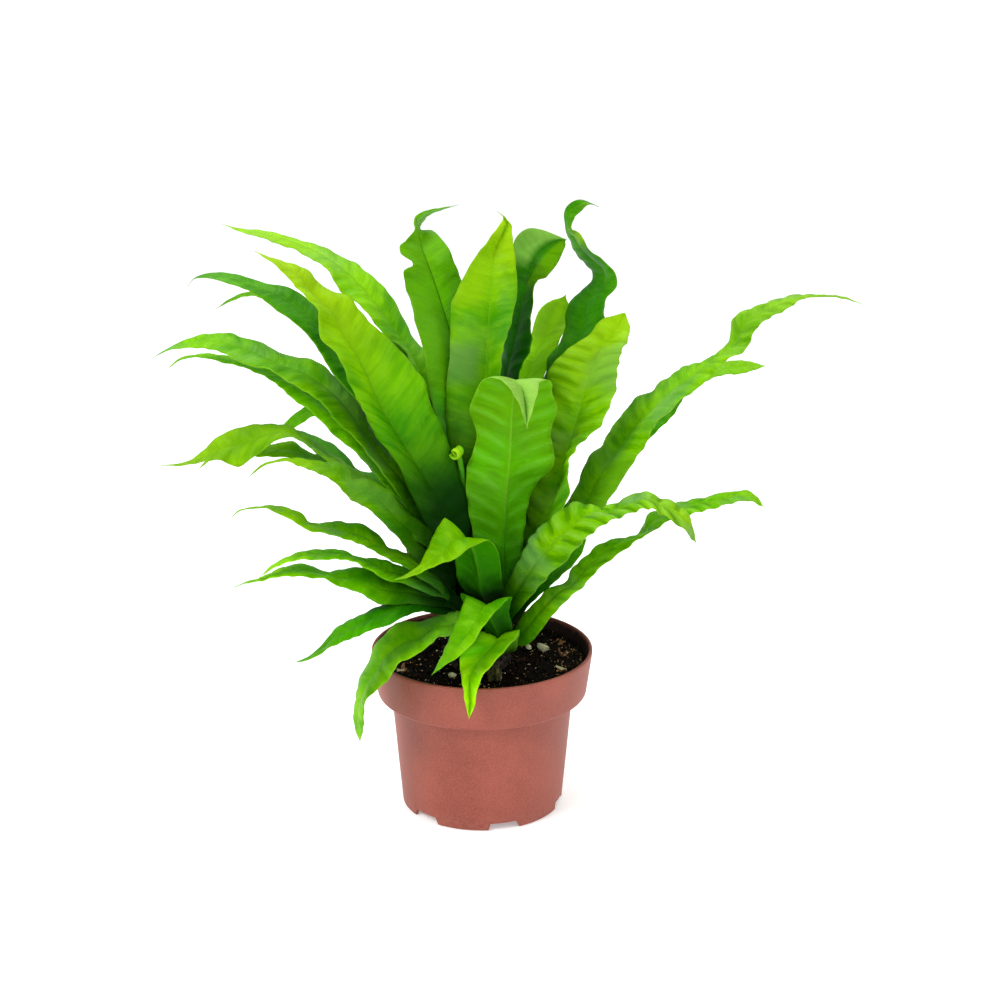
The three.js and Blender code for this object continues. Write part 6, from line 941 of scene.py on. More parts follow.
def blade(name, rows, seed, ruffle=0.12, wave=30.0, pleat=0.22, pleat_gap=9.5, slant=0.45, arch=0.07, curl=0.0, bites=(), full=0.0, cols=12, step=1.3):
    """The fine mesh of one frond from its stations: points, faces and the attributes that its material reads."""
    rows = np.asarray(rows, float)
    rnd = np.random.RandomState(seed)
    u = np.linspace(0, len(rows) - 1, 500)
    M, A, B = spline(rows[:, 0:3], u), spline(rows[:, 3:6], u), spline(rows[:, 6:9], u)
    arc = np.r_[0, np.cumsum(np.linalg.norm(np.diff(M, axis=0), axis=1))]
    L = arc[-1]
    n = int(np.clip(L / step, 60, 190))
    s = L * (1 - (1 - np.linspace(0, 1, n)) ** 1.12)
    M, A, B = (np.stack([np.interp(s, arc, C[:, k]) for k in range(3)], -1) for C in (M, A, B))
    T = unit(np.gradient(M, axis=0))
    a, b = A - M, B - M
    t = s / L
    side = b - a
    side = unit(side - T * np.sum(side * T, -1, keepdims=True))
    la, lb = np.linalg.norm(a, axis=1), np.linalg.norm(b, axis=1)
    least = 1.5 * (1 - t) ** 0.5 + 0.12
    a = np.where((la < least)[:, None], -side * least[:, None], a)
    b = np.where((lb < least)[:, None], side * least[:, None], b)
    taper = np.clip((1 - t) / 0.03, 0, 1) ** 0.6
    la, lb = np.maximum(la, least), np.maximum(lb, least)
    a, b = a * (0.1 + 0.9 * taper)[:, None], b * (0.1 + 0.9 * taper)[:, None]
    up = np.cross(side, T)                                            # towards the upper face
    if full:                                                          # a blunter tip
        swell = 1 + full * smooth01(t, 0.72, 0.93)
        a, b, la, lb = a * swell[:, None], b * swell[:, None], la * swell, lb * swell
    # places where the margin is torn: how far along, which side, how deep, how long in mm
    for at, which, deep, long in bites:
        dent = 1 - deep * np.exp(-np.abs((s - at * L) / long) ** 3)
        if which < 0:
            a, la = a * dent[:, None], la * dent
        else:
            b, lb = b * dent[:, None], lb * dent
    q = (np.arange(cols + 1) / cols) ** 1.35
    lateral = np.r_[-q[:0:-1], q]                                     # -1 .. 1
    m = len(lateral)
    P = np.zeros((n, m, 3))
    ridge = np.zeros((n, m))
    n1, n2 = unit(np.cross(T, -a)), unit(np.cross(T, b))
    n1 *= np.sign(np.sum(n1 * up, -1, keepdims=True) + 1e-9)
    n2 *= np.sign(np.sum(n2 * up, -1, keepdims=True) + 1e-9)
    nm = unit(n1 + n2)
    env = smooth01(t, 0.06, 0.28) * (1 - 0.75 * smooth01(t, 0.86, 1.0))
    for which, (e, length, ne) in enumerate(((a, la, n1), (b, lb, n2))):
        zero = 0 * s
        drift = value_noise(np.stack([s / 23.0, zero + 3.1 * which, zero + seed], -1), seed)
        broad = value_noise(np.stack([s / (0.52 * wave) + 40 * rnd.rand(), zero + 7.7 * which, zero + seed], -1), seed + 5)
        small = value_noise(np.stack([s / (0.24 * wave) + 40 * rnd.rand(), zero + 5.3 * which, zero + seed], -1), seed + 9)
        swing = 1.25 * broad + 0.32 * small
        for j, v in enumerate(lateral):
            if (v < 0) != (which == 0) and v != 0:
                continue
            d = abs(v)
            nn = unit(nm * (1 - d) + ne * d)
            lift = arch * 4 * d * (1 - d) * length + curl * d ** 2 * length
            lift = lift + ruffle * length * env * swing * d ** 1.6
            phase = (s - slant * d * length) / pleat_gap + 0.35 * which + 0.6 * drift
            fold = np.sin(2 * math.pi * phase) + 0.25 * np.sin(4 * math.pi * phase + 1.0)
            lift = lift + pleat * env * fold * smooth01(d, 0.04, 0.35)
            ridge[:, j] = env * fold * smooth01(d, 0.04, 0.35)
            stretch = 1 + 0.045 * env * small * d
            P[:, j] = M + e * (d * stretch)[:, None] + nn * lift[:, None]
    du, dv = np.gradient(P, axis=0), np.gradient(P, axis=1)
    N = unit(np.cross(du, dv))
    N[-2:] = N[-3:-2]
    flip = np.sign(np.sum(N[:, m // 2] * nm, -1))
    N = N * np.where(np.median(flip) < 0, -1, 1)
    d = np.abs(lateral)
    lat = np.where(lateral[None] < 0, -d[None] * la[:, None], d[None] * lb[:, None])
    half = 0.5 * (0.52 - 0.2 * d)[None] * (0.35 + 0.65 * np.clip((1 - t) / 0.1, 0, 1))[:, None]
    rib = np.exp(-(lat / (0.95 - 0.55 * t)[:, None]) ** 2)
    keel = rib * (0.95 * (1 - t) ** 0.8 + 0.05)[:, None] * smooth01(1 - t, 0, 0.1)[:, None]
    groove = np.exp(-(lat / (1.3 - 0.7 * t)[:, None]) ** 2) * (0.22 * (1 - t))[:, None]
    top = P + N * (half - groove + 0.1 * rib * (1 - t)[:, None])[..., None]
    low = P - N * (half + keel)[..., None]
    V = np.concatenate([top.reshape(-1, 3), low.reshape(-1, 3)])
    idx = np.arange(n * m).reshape(n, m)
    o = n * m
    F = []
    quads = np.stack([idx[:-1, :-1], idx[1:, :-1], idx[1:, 1:], idx[:-1, 1:]], -1).reshape(-1, 4)
    # outward on the upper side
    p = V[quads[len(quads) // 2]]
    if np.dot(np.cross(p[1] - p[0], p[2] - p[0]), N.reshape(-1, 3)[quads[len(quads) // 2][0]]) < 0:
        quads = quads[:, ::-1]
    F += quads.tolist()
    F += (quads[:, ::-1] + o).tolist()
    border = [idx[:, 0], idx[-1, :], idx[::-1, -1], idx[0, ::-1]]
    ring = np.concatenate([x[:-1] for x in border])
    nxt = np.roll(ring, -1)
    wall = np.stack([ring, nxt, nxt + o, ring + o], -1)
    edges = set()
    for f in quads.tolist():
        for k in range(4):
            edges.add((f[k], f[(k + 1) % 4]))
    if (int(ring[0]), int(nxt[0])) in edges:
        wall = wall[:, ::-1]
    F += wall.tolist()
    along = np.repeat(t[:, None], m, 1).ravel()
    across = np.repeat(lateral[None], n, 0).ravel()
    run = np.repeat(s[:, None], m, 1).ravel()
    attributes = {
        "f_along": np.r_[along, along], "f_across": np.r_[across, across], "f_lat": np.r_[lat.ravel(), lat.ravel()],
        "f_run": np.r_[run, run], "f_under": np.r_[0 * along, 0 * along + 1], "f_fold": np.r_[ridge.ravel(), -ridge.ravel()],
    }
    return V, F, attributes


for number, (node, (tone, rows)) in enumerate(FRONDS.items(), 1):
    shape, look = LOOKS.get(node, ({}, {}))
    look = dict(look)
    shade = look.pop("shade", tone)
    V, F, at = blade(node, rows, 100 + number, **shape)
    mat = leaf_material(node + "_leaf", shade, number, **look)
    attach(mesh_piece(node + "_blade", V, F, mat, attributes=at), "frond_" + tone, node)

# ---------------------------------------------------------------- pot


def rounded(profile, radius, steps=4):
    """The closed or open polyline with each marked corner turned into a small arc."""
    out = []
    for i, (r, z, *rad) in enumerate(profile):
        rr = rad[0] if rad else radius
        if i in (0, len(profile) - 1) or rr == 0:
            out.append((r, z))
            continue
        p, a, b = np.array([r, z]), np.array(profile[i - 1][:2], float), np.array(profile[i + 1][:2], float)
        ua, ub = a - p, b - p
        la, lb = np.linalg.norm(ua), np.linalg.norm(ub)
        cut = min(rr, la * 0.45, lb * 0.45)
        p1, p2 = p + ua / la * cut, p + ub / lb * cut
        for k in range(steps + 1):
            x = k / steps
            out.append(tuple((1 - x) ** 2 * p1 + 2 * x * (1 - x) * p + x * x * p2))
    return out


POT = [
    (0, 0), (22, 0), (25.6, 4), (31, 4, 0), (39, 4, 0), (41.9, 4), (42.3, 0), (44.1, 0),
    (44.45, 4.0, 0), (45.0, 10.5, 0), (46.4, 26, 0), (48.0, 45, 0), (49.3, 60, 0),
    (49.62, 63.0, 0.5), (50.5, 63.6, 0.6), (56.1, 63.6, 1.1), (57.0, 64.6, 0.7), (57.9, 71, 0), (59.0, 79, 0), (60.0, 86.2, 0.5), (60.0, 88.1, 0.7),
    (59.5, 88.5, 0.4), (58.5, 88.5, 0.5), (58.0, 87.7, 0.5), (56.6, 76, 0), (55.3, 65.7, 0.6), (54.5, 65.1, 0.6), (49, 65.1, 0.8), (48.1, 64, 0.5),
    (46.3, 45, 0), (42.6, 6.6, 0.6), (41.6, 5.6, 0.6), (39, 5.6, 0), (31, 5.6, 0), (26.6, 5.6), (23.2, 1.6), (0, 1.6),
]
NOTCH_TURNS = [-90 + 16 + 60 * i for i in range(6)]
NOTCH_HALF, NOTCH_HIGH = 8.0, 3.6


def pot_mesh(segments=288):
    prof = rounded(POT, 0.35)
    ang = np.arange(segments) * 2 * math.pi / segments
    V, ring_of = [], []
    # height of the foot's lower edge at each angle: raised over each notch, with rounded corners
    arcs = np.min([np.abs((np.degrees(ang) - t + 180) % 360 - 180) for t in NOTCH_TURNS], axis=0) * math.pi / 180 * 44.0
    lift = NOTCH_HIGH * (1 - smooth01(arcs, NOTCH_HALF - 0.55, NOTCH_HALF + 0.55))
    for r, z in prof:
        if r < 1e-6:
            ring_of.append([len(V)] * segments)
            V.append((0, 0, z))
            continue
        zz = np.full(segments, float(z))
        if r > 42.1 and z < 7.9:
            zz = lift + (z) * (7.9 - lift) / 7.9
        wob = 0.05 * np.sin(2 * ang + 0.7) + 0.03 * np.sin(3 * ang + 2.1) if z > 60 else 0 * ang
        rr = r + wob
        ring_of.append(list(range(len(V), len(V) + segments)))
        V += list(zip(rr * np.cos(ang), rr * np.sin(ang), zz))
    prof = np.array(prof)
    # drainage slots through the raised floor
    slots = set()
    bottom = [i for i in range(len(prof) - 1) if abs(prof[i, 1] - 4) < 0.01 and abs(prof[i + 1, 1] - 4) < 0.01 and prof[i, 0] > 30.9 and prof[i + 1, 0] < 39.1]
    above = [i for i in range(len(prof) - 1) if abs(prof[i, 1] - 5.6) < 0.01 and abs(prof[i + 1, 1] - 5.6) < 0.01 and prof[i + 1, 0] > 30.9 and prof[i, 0] < 39.1]
    open_seg = set()
    for t in NOTCH_TURNS:
        for j in range(segments):
            mid = math.degrees(ang[j]) + 180 / segments
            if abs((mid - t + 180) % 360 - 180) * math.pi / 180 * 35 < 3.5:
                open_seg.add(j)
    F = []
    for i in range(len(prof) - 1):
        for j in range(segments):
            k = (j + 1) % segments
            if (i in bottom or i in above) and j in open_seg:
                continue
            a, b, c, d = ring_of[i][j], ring_of[i][k], ring_of[i + 1][k], ring_of[i + 1][j]
            f = [a, b, c, d]
            f = [x for n_, x in enumerate(f) if x not in f[:n_]]
            if len(f) >= 3:
                F.append(f[::-1])
    bi, bo = ring_of[bottom[0]], ring_of[bottom[0] + 1]                # lower sheet: inner and outer ring
    to, ti = ring_of[above[0]], ring_of[above[0] + 1]                  # upper sheet: outer and inner ring
    for j in open_seg:
        k = (j + 1) % segments
        F.append([bi[j], ti[j], ti[k], bi[k]][::-1])
        F.append([bo[k], to[k], to[j], bo[j]][::-1])
        if (j - 1) % segments not in open_seg:
            F.append([bo[j], to[j], ti[j], bi[j]][::-1])
        if k not in open_seg:
            F.append([bi[k], ti[k], to[k], bo[k]][::-1])
    return V, F


def pot_material():
    g = Nodes("moulded_pot_plastic")
    p = g.position()
    stipple = g.voronoi(p, 1500.0)
    grain = g.noise(p, 1050.0, 3.0, 0.7)
    cloud = g.noise(p, 26.0, 3.0, 0.55)
    dust = g.noise(p, 420.0, 3.0, 0.65)
    sep = g.tree.nodes.new("ShaderNodeSeparateXYZ")
    g.put(sep.inputs[0], p)
    high = sep.outputs[2]
    colour = g.mix(g.between(cloud, 0.3, 0.72), lin(132, 58, 44), lin(150, 72, 56))
    colour = g.mix(g.between(grain, 0.42, 0.66, 0.0, 0.2), colour, lin(186, 112, 92))
    colour = g.mix(g.between(grain, 0.34, 0.5, 0.14, 0.0), colour, lin(108, 44, 34))
    colour = g.mix(g.between(dust, 0.66, 0.76, 0.0, 0.35), colour, lin(112, 48, 38))
    # a little pale dust and splashed water line low on the wall, and soil dust at the lip
    colour = g.mix(g.math("MULTIPLY", g.between(high, 0.0, 0.012, 0.35, 0.0), g.between(dust, 0.4, 0.7)), colour, lin(150, 104, 84))
    colour = g.mix(g.math("MULTIPLY", g.between(high, 0.0815, 0.0875, 0.0, 0.25), g.between(dust, 0.45, 0.7)), colour, lin(120, 76, 60))
    flat = g.combine(sep.outputs[0], sep.outputs[1], 0.0)
    reach = g.tree.nodes.new("ShaderNodeVectorMath")
    reach.operation = "LENGTH"
    g.put(reach.inputs[0], flat)
    # the inside of the rim is darkened nearly to black from the growing medium up to near the lip
    edge = g.math("ADD", high, g.between(g.noise(p, 150.0, 3.0, 0.6), 0.3, 0.7, -0.0018, 0.0018, smooth=False))
    inward = g.math("MULTIPLY_ADD", high, -0.1227, reach.outputs["Value"])
    inner_rim_dark = g.math("MULTIPLY", g.between(inward, 0.0479, 0.0484, 0.96, 0.0), g.between(edge, 0.0858, 0.0878, 1.0, 0.35))
    inner_rim_dark = g.math("MULTIPLY", inner_rim_dark, g.between(high, 0.0662, 0.0672))
    colour = g.mix(inner_rim_dark, colour, g.mix(g.between(dust, 0.4, 0.7), lin(14, 9, 6), lin(40, 24, 16)))
    fleck = g.between(g.voronoi(p, 160.0), 0.03, 0.05, 1.0, 0.0)
    keep = g.between(g.noise(p, 31.0, 1.0, 0.5), 0.5, 0.62)
    colour = g.mix(g.math("MULTIPLY", g.math("MULTIPLY", fleck, keep), 0.55), colour, lin(120, 50, 46))
    rough = g.between(g.math("ADD", g.math("MULTIPLY", grain, 0.6), g.math("MULTIPLY", cloud, 0.4)), 0.3, 0.75, 0.46, 0.62)
    bump = g.bump(stipple, 0.10 * MM, 0.5)
    bump = g.bump(grain, 0.06 * MM, 0.5, bump)
    bump = g.bump(g.noise(p, 90.0, 2.0, 0.5), 0.25 * MM, 0.35, bump)
    return g.finish(g.principled(colour, rough, bump, IOR=1.46))


V, F = pot_mesh()
pot = mesh_piece("pot_shell", V, F, pot_material())
attach(pot, "pot_plastic", "pot")

# ---------------------------------------------------------------- growing medium


def soil_material(name="peat", tone=1.0):
    g = Nodes(name)
    p = g.position()
    coarse = g.noise(p, 220.0, 4.0, 0.6)
    fine = g.noise(p, 1300.0, 3.0, 0.7)
    colour = g.ramp(coarse, [(0.3, scale(lin(4, 3, 2), tone)), (0.55, scale(lin(12, 9, 6), tone)), (0.75, scale(lin(26, 18, 11), tone))])
    colour = g.mix(g.between(fine, 0.58, 0.72, 0.0, 0.5), colour, lin(58, 38, 22))
    speck = g.between(g.voronoi(p, 520.0), 0.10, 0.2, 1.0, 0.0)
    keep = g.between(g.noise(p, 170.0, 1.0, 0.5), 0.56, 0.64)
    colour = g.mix(g.math("MULTIPLY", speck, keep), colour, lin(120, 88, 58))
    bump = g.bump(coarse, 1.2 * MM, 0.8)
    bump = g.bump(fine, 0.35 * MM, 0.8, bump)
    rough = g.between(fine, 0.3, 0.8, 0.72, 0.97)
    face = g.principled(colour, rough, bump, IOR=1.3)
    face.node.inputs["Specular IOR Level"].default_value = 0.1
    return g.finish(face)


def soil_height(x, y):
    """Level of the growing medium in mm."""
    r = np.hypot(x, y)
    p = np.stack([x, y, 0 * x], -1)
    base = 82.0 - 0.9 * smooth01(r, 34, 56) + 0.7 * fbm(p / 13.0, 2, 4) * smooth01(r, 12, 30)
    return base + 0.75 * fbm(p / 3.4, 3, 9) + 0.28 * value_noise(p / 0.9, 21) - 0.35


def soil_mesh():
    radii = np.r_[0.0, np.linspace(1.2, 56.9, 84)]
    segs = 200
    ang = np.arange(segs) * 2 * math.pi / segs
    V, rings = [(0, 0, float(soil_height(np.array([0.0]), np.array([0.0]))[0]))], [[0] * segs]
    for r in radii[1:]:
        x, y = r * np.cos(ang + 0.01 * r), r * np.sin(ang + 0.01 * r)
        z = soil_height(x, y)
        rings.append(list(range(len(V), len(V) + segs)))
        V += list(zip(x, y, z))
    for r, z in [(56.6, 79.5), (54.6, 66.8), (48.4, 65.4), (47.6, 64.0), (42.2, 7.0), (41.2, 5.95)]:
        rings.append(list(range(len(V), len(V) + segs)))
        turn = ang + 0.01 * 56.9
        V += list(zip(r * np.cos(turn), r * np.sin(turn), np.full(segs, z)))
    rings.append([len(V)] * segs)
    V.append((0, 0, 5.95))
    F = []
    for i in range(len(rings) - 1):
        for j in range(segs):
            k = (j + 1) % segs
            f = [rings[i][j], rings[i + 1][j], rings[i + 1][k], rings[i][k]]
            f = [x for n_, x in enumerate(f) if x not in f[:n_]]
            if len(f) >= 3:
                F.append(f)
    return V, F


V, F = soil_mesh()
attach(mesh_piece("soil_bed", V, F, soil_material()), "soil", "soil")


def icosphere():
    import bmesh
    bm = bmesh.new()
    bmesh.ops.create_icosphere(bm, subdivisions=1, radius=1.0)
    bm1 = bmesh.new()
    bmesh.ops.create_icosphere(bm1, subdivisions=2, radius=1.0)
    out = []
    for b in (bm, bm1):
        out.append((np.array([v.co[:] for v in b.verts]), [[v.index for v in f.verts] for f in b.faces]))
        b.free()
    return out


(BALL1, BALL1F), (BALL2, BALL2F) = icosphere()


def scatter(name, count, sizes, squash, seed, material, fine, where, sink, tones):
    """Many small lumps lying on the growing medium, as one piece. tones gives each lump a shade from 0 to 1."""
    rnd = np.random.RandomState(seed)
    ball, faces = (BALL2, BALL2F) if fine else (BALL1, BALL1F)
    V, F, tone = [], [], []
    made = 0
    while made < count:
        r, a = 57.0 * math.sqrt(rnd.rand()), 2 * math.pi * rnd.rand()
        x, y = r * math.cos(a), r * math.sin(a)
        if not where(x, y, r, rnd):
            continue
        size = sizes[0] + (sizes[1] - sizes[0]) * rnd.rand() ** 2.2
        if r + size > 56.6:
            continue
        dims = size * np.array([1.0, squash[0] + (1 - squash[0]) * rnd.rand(), squash[1] + (1 - squash[1]) * rnd.rand() * 0.6])
        bumpy = 1 + 0.34 * value_noise(ball * 1.7 + rnd.rand(3) * 50, seed + made)[:, None]
        q = ball * bumpy * dims / 2
        yaw, tilt, roll = 2 * math.pi * rnd.rand(), 0.5 * rnd.randn(), 0.5 * rnd.randn()
        cz, sz, cx, sx, cy, sy = math.cos(yaw), math.sin(yaw), math.cos(tilt), math.sin(tilt), math.cos(roll), math.sin(roll)
        R = np.array([[cz, -sz, 0], [sz, cz, 0], [0, 0, 1]]) @ np.array([[1, 0, 0], [0, cx, -sx], [0, sx, cx]]) @ np.array([[cy, 0, sy], [0, 1, 0], [-sy, 0, cy]])
        q = q @ R.T
        z = float(soil_height(np.array([x]), np.array([y]))[0]) - q[:, 2].min() - sink * size * 0.5
        base = len(V) * len(ball)
        V.append(q + [x, y, z])
        F += [[i + base for i in f] for f in faces]
        tone.append(np.full(len(ball), tones(rnd)))
        made += 1
    return mesh_piece(name, np.concatenate(V), F, material, smooth=False, attributes={"f_tone": np.concatenate(tone)})


def crumb_material(name, stops, rough=(0.7, 0.95)):
    g = Nodes(name)
    p = g.position()
    fine = g.noise(p, 1500.0, 3.0, 0.65)
    tone = g.math("ADD", g.attr("f_tone"), g.between(fine, 0.25, 0.75, -0.08, 0.08, smooth=False))
    colour = g.ramp(tone, stops)
    colour = g.mix(g.between(fine, 0.55, 0.75, 0.0, 0.35), colour, stops[0][1])
    bump = g.bump(fine, 0.3 * MM, 0.8)
    face = g.principled(colour, g.between(fine, 0.3, 0.8, *rough), bump, IOR=1.3)
    face.node.inputs["Specular IOR Level"].default_value = 0.12
    return g.finish(face)


crumbs = scatter("soil_crumbs", 1000, (0.6, 2.5), (0.6, 0.45), 5, crumb_material("peat_crumb", [(0.0, lin(5, 4, 3)), (0.6, lin(15, 10, 7)), (1.0, lin(44, 28, 16))]), True,
                 lambda x, y, r, rnd: r > 8, 0.45, lambda rnd: rnd.rand() ** 1.6)
attach(crumbs, "soil")
specks = scatter("soil_specks", 950, (0.45, 1.6), (0.35, 0.25), 6, crumb_material("fibre_speck", [(0.0, lin(92, 58, 32)), (0.4, lin(150, 108, 70)), (0.8, lin(206, 172, 128)), (1.0, lin(244, 230, 202))]), False,
                 lambda x, y, r, rnd: r > 14 and rnd.rand() < 0.35 + 0.65 * (r / 57) ** 2, 0.1, lambda rnd: rnd.rand() ** 1.3)
attach(specks, "soil")

# ---------------------------------------------------------------- loose bark, chips, stub


def lump(node, slot, material, seed, rough=0.16, flat=0.3):
    """A weathered piece that fills the box of its CAD node."""
    lo, hi = (np.array(v[:]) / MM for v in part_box(node))
    import bmesh
    bm = bmesh.new()
    bmesh.ops.create_icosphere(bm, subdivisions=4, radius=1.0)
    ball = np.array([v.co[:] for v in bm.verts])
    faces = [[v.index for v in f.verts] for f in bm.faces]
    bm.free()
    # angular: the ball is cut by a few random planes, then roughened
    rnd = np.random.RandomState(seed)
    q = ball.copy()
    for _ in range(9):
        nrm = unit(rnd.randn(3))
        d = 0.55 + 0.3 * rnd.rand()
        over = q @ nrm - d
        q = np.where((over > 0)[:, None], q - over[:, None] * nrm * 0.92, q)
    q = q * (1 + rough * fbm(q * 2.2, 3, seed)[:, None] * 0.5)
    q = q - q.min(0)
    q = q / q.max(0)
    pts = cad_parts[node].data
    co = np.array([v.co[:] for v in pts.vertices]) / MM
    mid = co.mean(0)
    xy = co[:, :2] - mid[:2]
    w, vec = np.linalg.eigh(xy.T @ xy)
    major, minor = vec[:, 1], vec[:, 0]
    ext1, ext2 = xy @ major, xy @ minor
    x = ext1.min() + q[:, 0] * np.ptp(ext1)
    y = ext2.min() + q[:, 1] * np.ptp(ext2)
    z = lo[2] - 0.5 + q[:, 2] * (hi[2] - lo[2] + 0.5)
    P = np.stack([mid[0] + x * major[0] + y * minor[0], mid[1] + x * major[1] + y * minor[1], z], -1)
    return attach(mesh_piece(node + "_bit", P, faces, material, smooth=False), slot, node)


def flakes(node, slot, material, seed, count=7):
    """Slivers of bark lying together, within the footprint of their CAD node."""
    lo, hi = (np.array(v[:]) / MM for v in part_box(node))
    mid, half = (lo + hi) / 2, (hi - lo) / 2
    rnd = np.random.RandomState(seed)
    V, F, tone = [], [], []
    for k in range(count):
        long = (0.75 + 0.5 * rnd.rand()) * (1.9 if k else 2.6)
        dims = np.array([long, long * (0.26 + 0.2 * rnd.rand()), long * (0.16 + 0.14 * rnd.rand())])
        q = BALL2 * (1 + 0.4 * value_noise(BALL2 * 1.9 + 9.0 * k, seed + k)[:, None]) * dims
        yaw, tilt = math.pi * rnd.rand(), 0.45 * rnd.randn()
        c, d, e, f = math.cos(yaw), math.sin(yaw), math.cos(tilt), math.sin(tilt)
        q = q @ np.array([[e, 0, f], [0, 1, 0], [-f, 0, e]]) @ np.array([[c, d, 0], [-d, c, 0], [0, 0, 1]])
        a, r = 2 * math.pi * rnd.rand(), 0.85 * math.sqrt(rnd.rand()) if k else 0.0
        x, y = mid[0] + r * half[0] * math.cos(a), mid[1] + r * half[1] * math.sin(a)
        z = float(soil_height(np.array([x]), np.array([y]))[0]) - q[:, 2].min() * 0.7
        F += [[i + len(V) * len(BALL2) for i in face] for face in BALL2F]
        V.append(q + [x, y, z])
        tone.append(np.full(len(BALL2), rnd.rand()))
    return attach(mesh_piece(node + "_bits", np.concatenate(V), F, material, smooth=False, attributes={"f_tone": np.concatenate(tone)}), slot, node)


def bark_material():
    g = Nodes("bark_bit")
    p = g.position()
    layer = g.noise(p, 520.0, 4.0, 0.65, 0.6)
    wide = g.noise(p, 130.0, 2.0, 0.5)
    colour = g.ramp(layer, [(0.3, lin(60, 34, 16)), (0.48, lin(132, 84, 40)), (0.68, lin(192, 140, 84))])
    colour = g.mix(g.between(wide, 0.45, 0.7, 0.0, 0.5), colour, lin(84, 46, 22))
    colour = g.mix(g.between(g.attr("f_tone"), 0.7, 0.8, 0.0, 0.75), colour, lin(222, 206, 166))
    bump = g.bump(layer, 0.7 * MM, 0.9)
    return g.finish(g.principled(colour, g.between(layer, 0.3, 0.8, 0.65, 0.9), bump))


def chip_material():
    g = Nodes("pale_chip")
    p = g.position()
    grain = g.noise(p, 700.0, 3.0, 0.6, 0.4)
    wide = g.noise(p, 170.0, 2.0, 0.5)
    colour = g.ramp(grain, [(0.28, lin(120, 114, 78)), (0.44, lin(204, 196, 156)), (0.66, lin(240, 232, 206))])
    colour = g.mix(g.between(wide, 0.52, 0.68, 0.0, 0.5), colour, lin(112, 116, 74))
    bump = g.bump(grain, 0.5 * MM, 0.8)
    return g.finish(g.principled(colour, 0.8, bump))


BARK, CHIP = bark_material(), chip_material()
for i in range(1, 5):
    flakes("bark_%d" % i, "bark", BARK, 30 + i)
for i in range(1, 4):
    lump("chip_%d" % i, "chip", CHIP, 40 + i)


def tube(points, radii, sides=8):
    """A closed tube along points, with a radius at each."""
    P = np.asarray(points, float)
    T = unit(np.gradient(P, axis=0))
    ref = np.array([0.0, 0.0, 1.0]) if abs(T[0, 2]) < 0.8 else np.array([1.0, 0.0, 0.0])
    V, F = [], []
    x = unit(np.cross(T[0], ref))
    for k in range(len(P)):
        x = unit(x - T[k] * (x @ T[k]))
        y = np.cross(T[k], x)
        for j in range(sides):
            a = 2 * math.pi * j / sides
            V.append(P[k] + radii[k] * (math.cos(a) * x + math.sin(a) * y))
    for k in range(len(P) - 1):
        for j in range(sides):
            p, q_ = k * sides + j, k * sides + (j + 1) % sides
            F.append([p, q_, q_ + sides, p + sides])
    F.append(list(range(sides))[::-1])
    F.append([(len(P) - 1) * sides + j for j in range(sides)])
    return np.array(V), F


def gather(parts):
    V, F, base = [], [], 0
    for v, f in parts:
        V.append(np.asarray(v, float))
        F += [[i + base for i in x] for x in f]
        base += len(v)
    return np.concatenate(V), F


def stub_material():
    g = Nodes("old_stub")
    p = g.position()
    fibre = g.noise(p, 600.0, 3.0, 0.65, 0.5)
    wide = g.noise(p, 150.0, 2.0, 0.5)
    colour = g.ramp(fibre, [(0.3, lin(30, 28, 10)), (0.5, lin(84, 80, 34)), (0.72, lin(136, 130, 74))])
    colour = g.mix(g.between(wide, 0.5, 0.7, 0.0, 0.6), colour, lin(44, 60, 16))
    return g.finish(g.principled(colour, 0.8, g.bump(fibre, 0.6 * MM, 0.9)))


def old_stub():
    lo, hi = (np.array(v[:]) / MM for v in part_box("leaf_stub"))
    mid = (lo + hi) / 2
    rnd = np.random.RandomState(77)
    parts = []
    for k in range(34):
        a, r = 2 * math.pi * rnd.rand(), 3.2 * math.sqrt(rnd.rand())
        x, y = mid[0] + r * math.cos(a), mid[1] + 1.2 * r * math.sin(a)
        tall = (hi[2] - lo[2]) * (0.45 + 0.55 * rnd.rand())
        lean = rnd.randn(2) * 0.9
        t = np.linspace(0, 1, 6)[:, None]
        pts = np.array([x, y, lo[2] - 0.6]) + t * np.array([lean[0], lean[1], tall + 0.6]) + 0.4 * np.sin(3 * t + k) * np.array([1, 0.6, 0])
        parts.append(tube(pts, np.linspace(0.75, 0.22, 6) * (0.7 + 0.6 * rnd.rand()), 6))
    V, F = gather(parts)
    attach(mesh_piece("leaf_stub_fibres", V, F, stub_material()), "stub", "leaf_stub")


old_stub()

# ---------------------------------------------------------------- crown


def crown_material():
    g = Nodes("crown_scales")
    p = g.position()
    fibre = g.noise(p, 480.0, 3.0, 0.6, 0.4)
    wide = g.noise(p, 90.0, 2.0, 0.5)
    colour = g.ramp(fibre, [(0.3, lin(12, 8, 4)), (0.52, lin(38, 26, 12)), (0.75, lin(78, 54, 28))])
    colour = g.mix(g.between(wide, 0.5, 0.7, 0.0, 0.5), colour, lin(24, 34, 10))
    return g.finish(g.principled(colour, 0.8, g.bump(fibre, 0.6 * MM, 0.9)))


